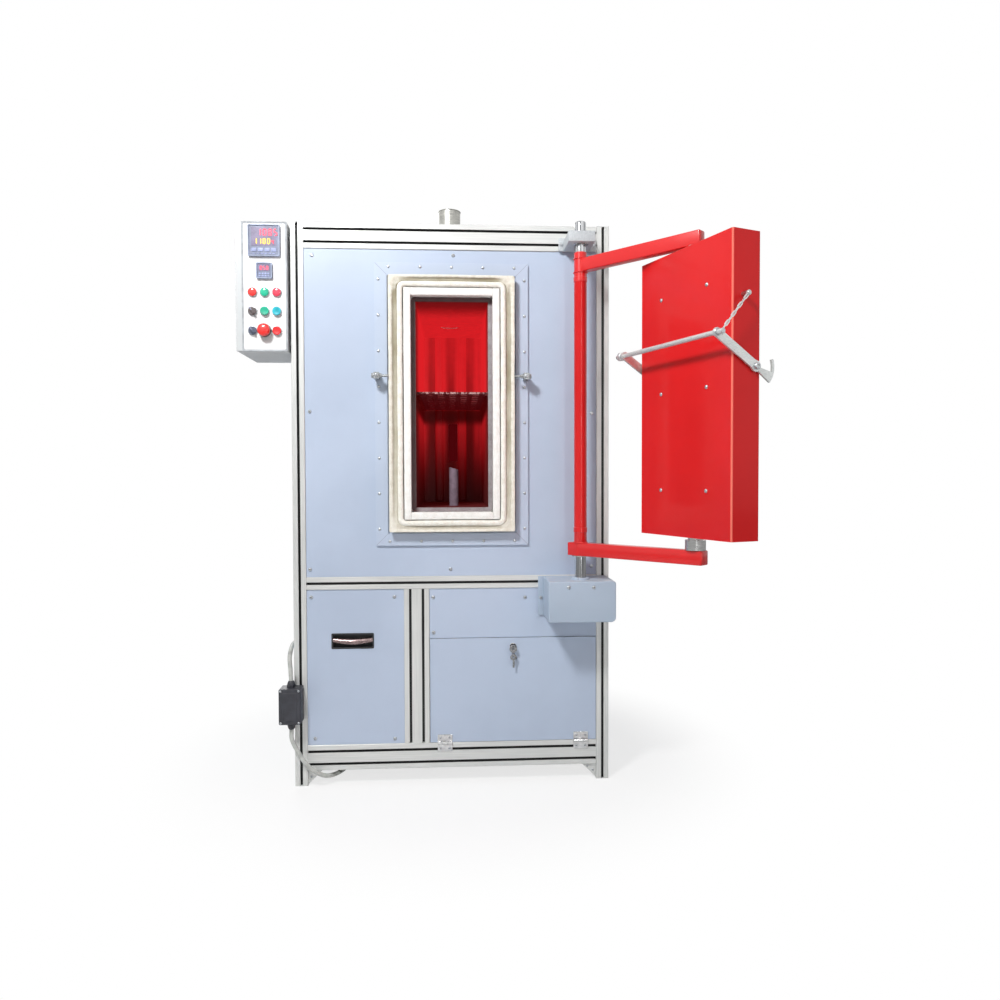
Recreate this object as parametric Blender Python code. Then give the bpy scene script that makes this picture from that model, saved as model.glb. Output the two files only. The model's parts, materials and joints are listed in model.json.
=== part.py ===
"""Burnout oven: a T-slot cabinet oven with a double-pivoted door, bail latch and lower service flap."""
import math
import bmesh
import bpy
from mathutils import Matrix, Vector

# Cabinet
CABINET_WIDTH = 1.000
CABINET_DEPTH = 0.950
CABINET_HEIGHT = 1.770
PROFILE = 0.040
FOOT_CLEARANCE = 0.049
MIDDLE_RAIL_Z = 0.6226
LEFT_BAY_SHARE = 0.345
DIVIDER_LEFT = CABINET_WIDTH * (LEFT_BAY_SHARE - 1 / 2)
SLOT_MOUTH = 0.0082
SLOT_LIP = 0.0045
SLOT_CAVITY = 0.020
SLOT_DEPTH = 0.0120
PROFILE_CHAMFER = 0.0015
GUSSET_LEG = 0.046
GUSSET_BACK = 0.008
GAP = 0.0003
SHEET = 0.002
DECK = 0.003
PANEL_RECESS = 0.004
SIDE_RECESS = 0.006

# Opening
FLANGE_ABOVE = 0.1220
FLANGE_BELOW = 0.1384
FLANGE_WIDTH = 0.481
FLANGE_HEIGHT = CABINET_HEIGHT - FLANGE_ABOVE - MIDDLE_RAIL_Z - FLANGE_BELOW
FLANGE_BAND = 0.0385
OPENING_Z = CABINET_HEIGHT - FLANGE_ABOVE - FLANGE_HEIGHT / 2
FLANGE_INNER_WIDTH = FLANGE_WIDTH - 2 * FLANGE_BAND
FLANGE_INNER_HEIGHT = FLANGE_HEIGHT - 2 * FLANGE_BAND
FLANGE_PROUD = 0.0035
RIVET_RADIUS = 0.0032
RIVET_HEIGHT = 0.0016
RIVET_INSET_X = 0.0115
RIVET_INSET_Z = 0.0130
RIVET_CORNER_X = 0.0435
RIVET_CORNER_Z = 0.0525
RIVETS_ACROSS = 5
RIVETS_UP = 8
RIVET_COLUMN_X = FLANGE_WIDTH / 2 - RIVET_INSET_X
RIVET_ROW_Z = FLANGE_HEIGHT / 2 - RIVET_INSET_Z
SEAL_FRONT = 0.0340
SEAL_MARGIN_X = 0.0050
SEAL_MARGIN_Z = 0.0051
SEAL_WIDTH = FLANGE_INNER_WIDTH - 2 * SEAL_MARGIN_X
SEAL_HEIGHT = FLANGE_INNER_HEIGHT - 2 * SEAL_MARGIN_Z
PANEL_HOLE_WIDTH = SEAL_WIDTH + 2 * GAP
PANEL_HOLE_HEIGHT = SEAL_HEIGHT + 2 * GAP
SEAL_CORNER = 0.006
SEAL_BAND_X = 0.0270
SEAL_BAND_Z = 0.0189
FACE_WIDTH = SEAL_WIDTH - 2 * SEAL_BAND_X
FACE_HEIGHT = SEAL_HEIGHT - 2 * SEAL_BAND_Z
FACE_FRONT = 0.0310
FACE_CORNER = 0.010
FACE_BAND_X = 0.0420
FACE_BAND_Z = 0.0435
THROAT_WIDTH = FACE_WIDTH - 2 * FACE_BAND_X
THROAT_HEIGHT = FACE_HEIGHT - 2 * FACE_BAND_Z
THROAT_CORNER = 0.012

# Chamber
THROAT_STEP_X = 0.0100
THROAT_STEP_Z = 0.0095
BEHIND_LINER = 0.310
LINER_WIDTH = THROAT_WIDTH - 2 * THROAT_STEP_X
LINER_HEIGHT = THROAT_HEIGHT - 2 * THROAT_STEP_Z
LINER_DEPTH = CABINET_DEPTH - BEHIND_LINER
LINER_WALL = 0.004
LINER_FLANGE = 0.0054
INSULATION_SIDE = 0.142
INSULATION_UNDER_LID = 0.090
BEHIND_INSULATION = 0.150
INSULATION_WIDTH = LINER_WIDTH + 2 * INSULATION_SIDE
INSULATION_TOP = CABINET_HEIGHT - INSULATION_UNDER_LID
INSULATION_BACK = CABINET_DEPTH - BEHIND_INSULATION
SHELF_RISE = 0.0385
SHELF_Z = OPENING_Z + SHELF_RISE
SHELF_THICKNESS = 0.006
SHELF_FRONT = 0.030
BEHIND_SHELF = 0.340
SHELF_BACK = CABINET_DEPTH - BEHIND_SHELF
SHELF_SLACK = 0.0012
SHELF_HOLE = 0.022
SHELF_HOLE_PITCH_X = 0.0380
SHELF_HOLE_PITCH_Y = 0.0700
SHELF_LEDGE = 0.008
SHELF_LEDGE_THICKNESS = 0.004
RISER_RADIUS = 0.0155
RISER_BORE = 0.0115
RISER_HEIGHT = 0.135
RISER_SLANT = 0.018
RISER_SOCKET = 0.012
RISER_Y = 0.170
RISER_X = 0.004
BACK_SLOT_WIDTH = 0.036
BACK_SLOT_HEIGHT = 0.150
BACK_SLOT_DROP = 0.0895
BACK_SLOT_Z = OPENING_Z - BACK_SLOT_DROP
FLUE_RADIUS = 0.040
FLUE_WALL = 0.003
FLUE_ABOVE_LID = 0.183
BEHIND_FLUE = 0.520
FLUE_TOP = CABINET_HEIGHT + FLUE_ABOVE_LID
FLUE_Y = CABINET_DEPTH - BEHIND_FLUE
FLUE_X = -0.009

# Keepers
KEEPER_Y = -0.040
KEEPER_RISE = 0.0860
KEEPER_FROM_SEAL = 0.0005
KEEPER_NUT_FROM_SEAL = 0.0195
KEEPER_BLOCK_FROM_SEAL = 0.0270
KEEPER_BLOCK = 0.0160
KEEPER_Z = OPENING_Z + KEEPER_RISE
KEEPER_STUD_RADIUS = 0.004
KEEPER_STUD_INNER = SEAL_WIDTH / 2 + KEEPER_FROM_SEAL
KEEPER_BLOCK_INNER = SEAL_WIDTH / 2 + KEEPER_BLOCK_FROM_SEAL
KEEPER_BLOCK_OUTER = KEEPER_BLOCK_INNER + KEEPER_BLOCK
KEEPER_BLOCK_HALF = 0.010
KEEPER_NUT_RADIUS = 0.0075
KEEPER_NUT_INNER = SEAL_WIDTH / 2 + KEEPER_NUT_FROM_SEAL

# Door size
DOOR_SIDE_MARGIN = 0.0020
DOOR_END_MARGIN = 0.0109
DOOR_DROP = 0.0043
DOOR_WIDTH = SEAL_WIDTH - 2 * DOOR_SIDE_MARGIN
DOOR_HEIGHT = SEAL_HEIGHT - 2 * DOOR_END_MARGIN
DOOR_BOTTOM = OPENING_Z - DOOR_HEIGHT / 2 - DOOR_DROP

# Door carrier
SHAFT_FROM_SIDE = 0.106
SHAFT_BELOW_TOP = 0.0172
SHAFT_BELOW_RAIL = 0.0626
SHAFT_X = CABINET_WIDTH / 2 - SHAFT_FROM_SIDE
SHAFT_Y = -0.090
SHAFT_RADIUS = 0.015
SHAFT_TOP = CABINET_HEIGHT - SHAFT_BELOW_TOP
SHAFT_BOTTOM = MIDDLE_RAIL_Z - SHAFT_BELOW_RAIL
SHAFT_COLLAR_RADIUS = 0.022
SHAFT_COLLAR = 0.012
SHAFT_PLAY = 0.0006
TUBE_RADIUS = 0.0195
COLLAR_RADIUS = 0.0225
COLLAR_HEIGHT = 0.016
ARM_REACH = SHAFT_X
ARM_OVERHANG = 0.028
ARM_SIZE = 0.040
ARM_ROUND = 0.003
ARM_ABOVE_DOOR = 0.0108
ARM_BELOW_DOOR = 0.0772
UPPER_ARM_Z = DOOR_BOTTOM + DOOR_HEIGHT + ARM_ABOVE_DOOR
LOWER_ARM_Z = DOOR_BOTTOM - ARM_BELOW_DOOR
TUBE_ABOVE_ARM = 0.060
TUBE_TOP = UPPER_ARM_Z + TUBE_ABOVE_ARM
COLLAR_UNDER_ARM = 0.030
COLLAR_OVER_ARM = 0.071
COLLAR_UPPER_Z = UPPER_ARM_Z - COLLAR_UNDER_ARM
COLLAR_LOWER_Z = LOWER_ARM_Z + COLLAR_OVER_ARM
ARM_REST_ANGLE = -46.4
BRACKET_HALF = 0.064
BRACKET_UNDER_TOP = 0.089
BRACKET_HEIGHT = 0.050
BRACKET_LEFT = SHAFT_X - BRACKET_HALF
BRACKET_RIGHT = SHAFT_X + BRACKET_HALF
BRACKET_BOTTOM = CABINET_HEIGHT - BRACKET_UNDER_TOP
BRACKET_TOP = BRACKET_BOTTOM + BRACKET_HEIGHT
BRACKET_PLATE = 0.012
BRACKET_BLOCK_HALF = 0.028
BRACKET_FRONT = -0.120
COVER_REACH_LEFT = 0.102
COVER_REACH_RIGHT = 0.091
COVER_UNDER_RAIL = 0.0876
COVER_HEIGHT = 0.1250
COVER_LEFT = SHAFT_X - COVER_REACH_LEFT
COVER_RIGHT = SHAFT_X + COVER_REACH_RIGHT
COVER_BOTTOM = MIDDLE_RAIL_Z - COVER_UNDER_RAIL
COVER_TOP = COVER_BOTTOM + COVER_HEIGHT
COVER_FRONT = -0.1450
COVER_WALL = 0.0025
COVER_CORNER = 0.010
COVER_EAR = 0.018
COVER_BOSS_RADIUS = 0.027
COVER_BOSS_HEIGHT = 0.007
COVER_SHAFT_PLAY = 0.0015
BEARING_HALF = 0.040
BEARING_UNDER_RAIL = 0.0506
BEARING_HEIGHT = 0.0730
BEARING_BOTTOM = MIDDLE_RAIL_Z - BEARING_UNDER_RAIL
BEARING_TOP = BEARING_BOTTOM + BEARING_HEIGHT
BEARING_FRONT = -0.125

# Door
DOOR_THICKNESS = 0.0887
DOOR_REST_ANGLE = -69.0
DOOR_EDGE_ROUND = 0.004
DOOR_SKIN = 0.003
DOOR_END_WALL = 0.018
SEAL_PLAY = 0.0008
HOT_FACE_MARGIN = 0.004
HOT_FACE_CORNER = 0.012
PIN_RADIUS = 0.010
PIN_PLAY = 0.0004
PIN_ENGAGEMENT = 0.012
PIN_END_PLAY = 0.0010
LOWER_PIVOT_RADIUS = 0.028
LOWER_PIVOT_NECK = 0.020
LOWER_PIVOT_NECK_HEIGHT = 0.008
UPPER_PIVOT_RADIUS = 0.024
PIVOT_FACE_GAP = 0.0010

# Bail latch
BAIL_PIVOT_BACK = 0.024
BAIL_UNDER_KEEPER = 0.0395
BAIL_PIVOT_Z = KEEPER_Z - BAIL_UNDER_KEEPER
BAIL_ROD_FORWARD = 0.1216
BAIL_ROD_RISE = 0.0757
BAIL_ROD_RADIUS = 0.0065
ROD_PAST_DOOR_RIGHT = 0.0280
ROD_PAST_DOOR_LEFT = 0.0170
GRIP_PAST_DOOR = 0.0420
LEVER_FROM_DOOR = 0.0035
LEVER_THICKNESS = 0.0060
BOLT_FROM_DOOR = 0.0155
BAIL_ROD_RIGHT = DOOR_WIDTH / 2 + ROD_PAST_DOOR_RIGHT
BAIL_ROD_LEFT = DOOR_WIDTH / 2 + ROD_PAST_DOOR_LEFT
BAIL_GRIP_RADIUS = 0.0105
BAIL_GRIP_END = DOOR_WIDTH / 2 + GRIP_PAST_DOOR
LEVER_INNER = DOOR_WIDTH / 2 + LEVER_FROM_DOOR
LEVER_OUTER = LEVER_INNER + LEVER_THICKNESS
LEVER_HALF = 0.0115
LEVER_BOSS = 0.0145
LEVER_BORE = 0.0048
PIVOT_BOLT_RADIUS = 0.0043
PIVOT_BOLT_HEAD = 0.0085
PIVOT_BOLT_END = DOOR_WIDTH / 2 + BOLT_FROM_DOOR
PIVOT_SPACER_RADIUS = 0.009
CLAW_INNER = 0.0518
CLAW_OUTER = 0.0586
CLAW_WEB_START = -42.0
CLAW_WEB_END = -14.0
CLAW_TIP = 21.0
BAIL_TRAVEL = 60.0

# Safety chain
CHAIN_ANCHOR_Y = -0.0121
CHAIN_OVER_PIVOT = 0.1764
CHAIN_FROM_DOOR = 0.0215
CHAIN_ANCHOR_Z = BAIL_PIVOT_Z + CHAIN_OVER_PIVOT
CHAIN_X = DOOR_WIDTH / 2 + CHAIN_FROM_DOOR
CHAIN_WIRE = 0.0016
CHAIN_CROSS_SHARE = 0.62
CHAIN_STEM = 0.010
CHAIN_LINK_WIDTH = 0.0085
CHAIN_LINKS = 7
CHAIN_SCREW_RADIUS = 0.0035
CHAIN_SCREW_HEAD = 0.0060
CHAIN_LENGTH = 0.1321
CHAIN_REST_ANGLE = 40.33
HOOK_CLEARANCE = 0.0006
HOOK_START = 100.0
HOOK_END = -24.0

# Lower front
PANEL_SLIT = 0.0015
STRIP_UNDER_RAIL = 0.1586
STRIP_BOTTOM = MIDDLE_RAIL_Z - STRIP_UNDER_RAIL
FLAP_THICKNESS = 0.003
FLAP_RIM = 0.012
FLAP_FOLD = 0.010
HINGE_FROM_DIVIDER = 0.048
HINGE_FROM_SIDE = 0.091
HINGE_LEFT_X = DIVIDER_LEFT + 2 * PROFILE + HINGE_FROM_DIVIDER
HINGE_RIGHT_X = CABINET_WIDTH / 2 - HINGE_FROM_SIDE
HINGE_OFFSETS = (HINGE_LEFT_X, HINGE_RIGHT_X)
HINGE_WIDTH = 0.046
HINGE_LEAF = 0.026
HINGE_PLATE = 0.0024
HINGE_BARREL = 0.0045
HINGE_PIN = 0.0022
HINGE_PLAY = 0.0003
HINGE_KNUCKLE = 0.016
HINGE_AXIS_Y = -0.0050
HINGE_END_GAP = 0.0005
LOCK_LEFT_OF_MIDDLE = 0.0015
LOCK_UNDER_STRIP = 0.028
LOCK_X = (DIVIDER_LEFT + PROFILE + CABINET_WIDTH / 2) / 2 - LOCK_LEFT_OF_MIDDLE
LOCK_Z = STRIP_BOTTOM - LOCK_UNDER_STRIP
LOCK_RADIUS = 0.0110
LOCK_BODY_RADIUS = 0.0090
LOCK_PROUD = 0.005
LOCK_BACK = 0.020
LOCK_SLOT_RADIUS = 0.0036
LOCK_SLOT_DEPTH = 0.018
KEY_SHANK_RADIUS = 0.0032
KEY_SHANK_OUT = 0.010
KEY_BOW_RADIUS = 0.0125
KEY_BOW_THICKNESS = 0.003
KEY_BOW_DROP = 0.006
KEY_TAG_LENGTH = 0.048
KEY_TAG_WIDTH = 0.014
HANDLE_FROM_SIDE = 0.119
HANDLE_WIDTH = 0.128
HANDLE_UNDER_RAIL = 0.1856
HANDLE_HEIGHT = 0.044
HANDLE_LEFT = -CABINET_WIDTH / 2 + HANDLE_FROM_SIDE
HANDLE_RIGHT = HANDLE_LEFT + HANDLE_WIDTH
HANDLE_BOTTOM = MIDDLE_RAIL_Z - HANDLE_UNDER_RAIL
HANDLE_TOP = HANDLE_BOTTOM + HANDLE_HEIGHT
HANDLE_DEPTH = 0.030
HANDLE_WALL = 0.002
HANDLE_LIP = 0.003
GRIP_RADIUS = 0.0065
GRIP_SAG = 0.008
POWER_WIDTH_SHARE = 0.360
POWER_SIDE_SHARE = 0.140
BEHIND_POWER = 0.250
POWER_DEPTH = 0.400
POWER_RIGHT = CABINET_WIDTH / 2 - CABINET_WIDTH * POWER_SIDE_SHARE
POWER_LEFT = POWER_RIGHT - CABINET_WIDTH * POWER_WIDTH_SHARE
POWER_BACK = CABINET_DEPTH - BEHIND_POWER
POWER_FRONT = POWER_BACK - POWER_DEPTH
POWER_HEIGHT = 0.230
POWER_FOOT = 0.030
POWER_RIB = 0.010
FLOOR_OVER_RAIL = 0.011
FLOOR_Z = FOOT_CLEARANCE + FLOOR_OVER_RAIL

# Control box
BOX_FROM_SIDE = 0.006
BOX_WIDTH = 0.156
BOX_UNDER_TOP = 0.0096
LARGE_UNDER_TOP = 0.0574
SMALL_UNDER_LARGE = 0.0920
FIRST_ROW_UNDER_SMALL = 0.0650
SECOND_ROW_UNDER_FIRST = 0.0580
THIRD_ROW_UNDER_SECOND = 0.0600
BOX_UNDER_THIRD_ROW = 0.0605
BOX_RIGHT = -CABINET_WIDTH / 2 - BOX_FROM_SIDE
BOX_LEFT = BOX_RIGHT - BOX_WIDTH
BOX_FRONT = -0.018
BOX_BACK = 0.230
BOX_TOP = CABINET_HEIGHT - BOX_UNDER_TOP
LARGE_Z = BOX_TOP - LARGE_UNDER_TOP
SMALL_Z = LARGE_Z - SMALL_UNDER_LARGE
FIRST_ROW_Z = SMALL_Z - FIRST_ROW_UNDER_SMALL
SECOND_ROW_Z = FIRST_ROW_Z - SECOND_ROW_UNDER_FIRST
THIRD_ROW_Z = SECOND_ROW_Z - THIRD_ROW_UNDER_SECOND
OPERATOR_ROWS = (FIRST_ROW_Z, SECOND_ROW_Z, THIRD_ROW_Z)
BOX_BOTTOM = THIRD_ROW_Z - BOX_UNDER_THIRD_ROW
BOX_WALL = 0.003
BOX_CORNER = 0.004
BOX_SPACER_RADIUS = 0.008
BOX_SPACER_INSET = 0.030
PLATE_INSET = 0.021
PLATE_LEFT = BOX_LEFT + PLATE_INSET
PLATE_THICKNESS = 0.002
CONTROL_FROM_EDGE = 0.067
CONTROL_X = BOX_RIGHT - CONTROL_FROM_EDGE
LARGE_SIZE = 0.096
SMALL_SIZE = 0.048
CONTROLLER_BODY_SHARE = 0.94
CONTROLLER_PROUD = 0.008
CONTROLLER_DEPTH = 0.070
CONTROLLER_ROUND = 0.003
SCREEN_INSET = 0.0015
OPERATOR_PITCH_X = 0.0370
BEZEL_RADIUS = 0.0145
BEZEL_BORE = 0.0112
BEZEL_PROUD = 0.004
CAP_RADIUS = 0.0108
CAP_PROUD = 0.0075
CAP_BACK = 0.018
CAP_TRAVEL = 0.003
LAMP_PROUD = 0.009
KNOB_PROUD = 0.016
KNOB_BAR = 0.0035
ESTOP_HEAD_RADIUS = 0.0190
ESTOP_HEAD_FRONT = 0.031
ESTOP_HEAD_BACK = 0.012
ESTOP_TRAVEL = 0.005

# Junction box and cables
JUNCTION_OUTSIDE = 0.038
JUNCTION_WIDTH = 0.067
JUNCTION_OVER_RAIL = 0.163
JUNCTION_HEIGHT = 0.111
JUNCTION_LEFT = -CABINET_WIDTH / 2 - JUNCTION_OUTSIDE
JUNCTION_RIGHT = JUNCTION_LEFT + JUNCTION_WIDTH
JUNCTION_BOTTOM = FOOT_CLEARANCE + JUNCTION_OVER_RAIL
JUNCTION_TOP = JUNCTION_BOTTOM + JUNCTION_HEIGHT
JUNCTION_FRONT = -0.050
JUNCTION_ROUND = 0.004
GLAND_RADIUS = 0.0115
GLAND_HEIGHT = 0.009
CABLE_RADIUS = 0.0068
CABLE_STRAIGHT = 0.016
CABLE_OUTSIDE = 0.0045
CABLE_X = -CABINET_WIDTH / 2 - CABLE_OUTSIDE
CABLE_Y = -0.0250
LOWER_CABLE_END_INSIDE = 0.160
LOWER_CABLE_END_X = -CABINET_WIDTH / 2 + LOWER_CABLE_END_INSIDE
LOWER_CABLE_END_Y = 0.150
UPPER_CABLE_END_Y = 0.110
UPPER_CABLE_END_Z = 0.440
# Points of the cables' ways, each as (to the right of the cabinet's left side, back, up)
LOWER_CABLE_WAY = (
    (-0.0035, -0.0255, 0.1580),
    (0.0140, -0.0270, 0.1220),
    (0.0380, -0.0270, 0.0830),
    (0.0680, -0.0200, 0.0520),
    (0.0980, 0.0000, 0.0320),
    (0.1250, 0.0350, 0.0255),
    (0.1450, 0.0850, 0.0245),
    (0.1570, 0.1300, 0.0295),
)
UPPER_CABLE_WAY = (
    (-0.0070, -0.0200, 0.3750),
    (-0.0130, -0.0020, 0.4080),
    (-0.0170, 0.0400, 0.4300),
    (-0.0180, 0.0850, 0.4380),
)

# Shares of a size, for rounded noses, necks and laps
DOME_EDGE_SHARE = 0.7
DOME_RISE_SHARE = 0.75
GRIP_FLAT_SHARE = 0.6
COVER_CORNER_SHARE = 0.3
SCREW_NECK_SHARE = 0.7
GRIP_END_SHARE = 0.8
LEVER_BLEND_SHARE = 0.8
LINK_THIN_SHARE = 0.94
LINK_ROUND_SHARE = 0.42
LINK_BORE_ROUND_SHARE = 0.3
LAP_SHARE = 1.1
HOOK_SHARE = 0.9
LOCK_EDGE_SHARE = 0.9
LEAF_START_SHARE = 0.35
RIB_PITCH_SHARE = 1.1
LENS_SHOULDER_SHARE = 0.85
LENS_CROWN_SHARE = 0.4
KNOB_LENGTH_SHARE = 0.94
KNOB_ROUND_SHARE = 0.8
STOP_NECK_SHARE = 0.92
STOP_EDGE_SHARE = 0.86
STOP_CROWN_SHARE = 0.5
CABLE_STEP_SHARE = 1.1
FLATNESS_SHARE = 0.001

ROUND_SEGMENTS = 36
SMALL_SEGMENTS = 16
TINY_SEGMENTS = 10
SHARP_ANGLE = math.radians(32)


# Mesh building
def clear_scene():
    for item in list(bpy.data.objects):
        bpy.data.objects.remove(item, do_unlink=True)


def new_mesh(bm):
    bmesh.ops.recalc_face_normals(bm, faces=bm.faces)
    mesh = bpy.data.meshes.new("mesh")
    bm.to_mesh(mesh)
    bm.free()
    return mesh


def block(x0, x1, y0, y1, z0, z1):
    bm = bmesh.new()
    corners = [(x, y, z) for x in (x0, x1) for y in (y0, y1) for z in (z0, z1)]
    verts = [bm.verts.new(c) for c in corners]
    for face in ((0, 1, 3, 2), (4, 6, 7, 5), (0, 4, 5, 1), (2, 3, 7, 6), (0, 2, 6, 4), (1, 5, 7, 3)):
        bm.faces.new([verts[i] for i in face])
    return new_mesh(bm)


def extrude(points, start, end, place):
    """Closed outline drawn in two coordinates, pushed along the third; place maps (u, v, w) to xyz."""
    bm = bmesh.new()
    near = [bm.verts.new(place(u, v, start)) for u, v in points]
    far = [bm.verts.new(place(u, v, end)) for u, v in points]
    count = len(points)
    bm.faces.new(near)
    bm.faces.new(list(reversed(far)))
    for i in range(count):
        j = (i + 1) % count
        bm.faces.new((near[i], near[j], far[j], far[i]))
    return new_mesh(bm)


def along_x(u, v, w):
    return (w, u, v)


def along_y(u, v, w):
    return (u, w, v)


def along_z(u, v, w):
    return (u, v, w)


def rounded(width, height, radius, cu=0.0, cv=0.0, steps=4):
    """Rectangle outline with rounded corners, centred on cu, cv."""
    points = []
    for index, (su, sv) in enumerate(((1, 1), (-1, 1), (-1, -1), (1, -1))):
        for step in range(steps + 1):
            angle = math.radians(90) * (index + step / steps)
            u = cu + su * (width / 2 - radius) + radius * math.cos(angle)
            v = cv + sv * (height / 2 - radius) + radius * math.sin(angle)
            points.append((u, v))
    return points


def flat_cap(tip, ring):
    """True when the tip lies in the plane of its ring, so that one face closes the end."""
    normal = (ring[1].co - ring[0].co).cross(ring[2].co - ring[0].co).normalized()
    return abs((tip.co - ring[0].co).dot(normal)) < GAP * FLATNESS_SHARE


def turned(profile, place, cu=0.0, cv=0.0, segments=ROUND_SEGMENTS):
    """Solid of revolution: profile is (radius, w) pairs that start and end on the axis or form a ring."""
    bm = bmesh.new()
    rings = []
    for radius, w in profile:
        if radius == 0:
            rings.append([bm.verts.new(place(cu, cv, w))])
            continue
        ring = []
        for i in range(segments):
            angle = 2 * math.pi * i / segments
            ring.append(bm.verts.new(place(cu + radius * math.cos(angle), cv + radius * math.sin(angle),
                                           w)))
        rings.append(ring)
    closed = profile[0][0] != 0
    pairs = list(zip(rings, rings[1:]))
    if closed:
        pairs.append((rings[-1], rings[0]))
    for a, b in list(pairs):
        tip, ring = (a, b) if len(a) == 1 else (b, a)
        if len(tip) == 1 and flat_cap(tip[0], ring):
            bm.faces.new(ring)
            bm.verts.remove(tip[0])
            pairs.remove((a, b))
    for a, b in pairs:
        for i in range(segments):
            j = (i + 1) % segments
            loop = [a[i % len(a)], a[j % len(a)], b[j % len(b)], b[i % len(b)]]
            unique = list(dict.fromkeys(loop))
            if len(unique) > 2:
                bm.faces.new(unique)
    return new_mesh(bm)


def rod(radius, start, end, place, cu=0.0, cv=0.0, segments=ROUND_SEGMENTS):
    return turned([(0, start), (radius, start), (radius, end), (0, end)], place, cu, cv, segments)


def moved(mesh, offset=(0, 0, 0), angle=0.0, axis="Z"):
    mesh.transform(Matrix.Translation(Vector(offset)) @ Matrix.Rotation(math.radians(angle), 4, axis))
    return mesh


def combine(base, added=(), cut=()):
    """One solid from a base mesh, meshes to join and meshes to take away, by exact booleans."""
    host = bpy.data.objects.new("host", base)
    bpy.context.scene.collection.objects.link(host)
    shelves = []
    for kind, group in (("UNION", added), ("DIFFERENCE", cut)):
        if not group:
            continue
        shelf = bpy.data.collections.new("helpers")
        bpy.context.scene.collection.children.link(shelf)
        for mesh in group:
            helper = bpy.data.objects.new("helper", mesh)
            helper.hide_render = True
            helper.display_type = "WIRE"
            shelf.objects.link(helper)
        modifier = host.modifiers.new("join", "BOOLEAN")
        modifier.operation = kind
        modifier.solver = "EXACT"
        modifier.operand_type = "COLLECTION"
        modifier.collection = shelf
        shelves.append(shelf)
    bpy.context.view_layer.update()
    graph = bpy.context.evaluated_depsgraph_get()
    result = bpy.data.meshes.new_from_object(host.evaluated_get(graph))
    for shelf in shelves:
        for item in list(shelf.objects):
            bpy.data.objects.remove(item, do_unlink=True)
        bpy.data.collections.remove(shelf)
    bpy.data.objects.remove(host, do_unlink=True)
    return result


def tidy(mesh):
    """Joins the coplanar strips that the booleans leave, then shades by angle."""
    bm = bmesh.new()
    bm.from_mesh(mesh)
    bmesh.ops.dissolve_limit(bm, angle_limit=math.radians(0.05), verts=bm.verts, edges=bm.edges)
    bmesh.ops.recalc_face_normals(bm, faces=bm.faces)
    for face in bm.faces:
        face.smooth = True
    for edge in bm.edges:
        edge.smooth = edge.calc_face_angle(0.0) < SHARP_ANGLE
    bm.to_mesh(mesh)
    bm.free()


# Materials
def material(name, color, metallic=0.0, roughness=0.5, emission=None):
    found = bpy.data.materials.get(name)
    if found:
        return found
    made = bpy.data.materials.new(name)
    made.use_nodes = True
    shader = made.node_tree.nodes["Principled BSDF"]
    shader.inputs["Base Color"].default_value = (*color, 1.0)
    shader.inputs["Metallic"].default_value = metallic
    shader.inputs["Roughness"].default_value = roughness
    if emission:
        shader.inputs["Emission Color"].default_value = (*emission, 1.0)
        shader.inputs["Emission Strength"].default_value = 1.0
    return made


def aluminium():
    return material("anodised_aluminium", (0.60, 0.61, 0.60), 0.9, 0.38)


def powder():
    return material("powder_coat_blue_grey", (0.36, 0.42, 0.55), 0.0, 0.5)


def steel():
    return material("bright_steel", (0.62, 0.62, 0.60), 1.0, 0.28)


def red_paint():
    return material("red_paint", (0.55, 0.035, 0.03), 0.0, 0.35)


def cream_fibre():
    return material("cream_ceramic_fibre", (0.75, 0.70, 0.58), 0.0, 0.95)


def white_fibre():
    return material("white_ceramic_fibre", (0.86, 0.85, 0.82), 0.0, 0.95)


def hot_steel():
    return material("glowing_heat_steel", (0.35, 0.08, 0.04), 0.3, 0.6, (0.8, 0.10, 0.03))


def ceramic():
    return material("grey_ceramic", (0.42, 0.38, 0.36), 0.0, 0.8)


def grey_cast():
    return material("light_grey_casting", (0.62, 0.62, 0.62), 0.2, 0.5)


def black_plastic():
    return material("black_plastic", (0.02, 0.02, 0.022), 0.0, 0.45)


def white_paint():
    return material("white_paint", (0.80, 0.80, 0.79), 0.0, 0.45)


def cable_grey():
    return material("grey_cable_jacket", (0.33, 0.33, 0.33), 0.0, 0.6)


def zinc():
    return material("zinc_sheet", (0.50, 0.51, 0.52), 0.8, 0.45)


def chrome():
    return material("chrome", (0.70, 0.70, 0.70), 1.0, 0.15)


def lens(name, color):
    return material(name, color, 0.0, 0.25)


# Tree
def empty(name, parent=None, location=(0, 0, 0), angle=0.0, axis=2):
    item = bpy.data.objects.new(name, None)
    bpy.context.scene.collection.objects.link(item)
    item.location = location
    turn = [0.0, 0.0, 0.0]
    turn[axis] = math.radians(angle)
    item.rotation_euler = turn
    item.parent = parent
    return item


def node(name, mesh, look, parent):
    tidy(mesh)
    mesh.name = name
    mesh.materials.clear()
    mesh.materials.append(look)
    item = bpy.data.objects.new(name, mesh)
    bpy.context.scene.collection.objects.link(item)
    item.parent = parent
    return item


# T-slot profiles
def slot_steps(simple):
    """One slot walked from its near lip to its far lip, as (along, into) pairs."""
    mouth = SLOT_MOUTH / 2
    if simple:
        return ((-mouth, 0), (-mouth, SLOT_DEPTH), (mouth, SLOT_DEPTH), (mouth, 0))
    cavity = SLOT_CAVITY / 2
    slope = (SLOT_LIP + SLOT_DEPTH) / 2
    return ((-mouth, 0), (-mouth, SLOT_LIP), (-cavity, SLOT_LIP), (-cavity, slope), (-mouth, SLOT_DEPTH),
            (mouth, SLOT_DEPTH), (cavity, slope), (cavity, SLOT_LIP), (mouth, SLOT_LIP), (mouth, 0))


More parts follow.
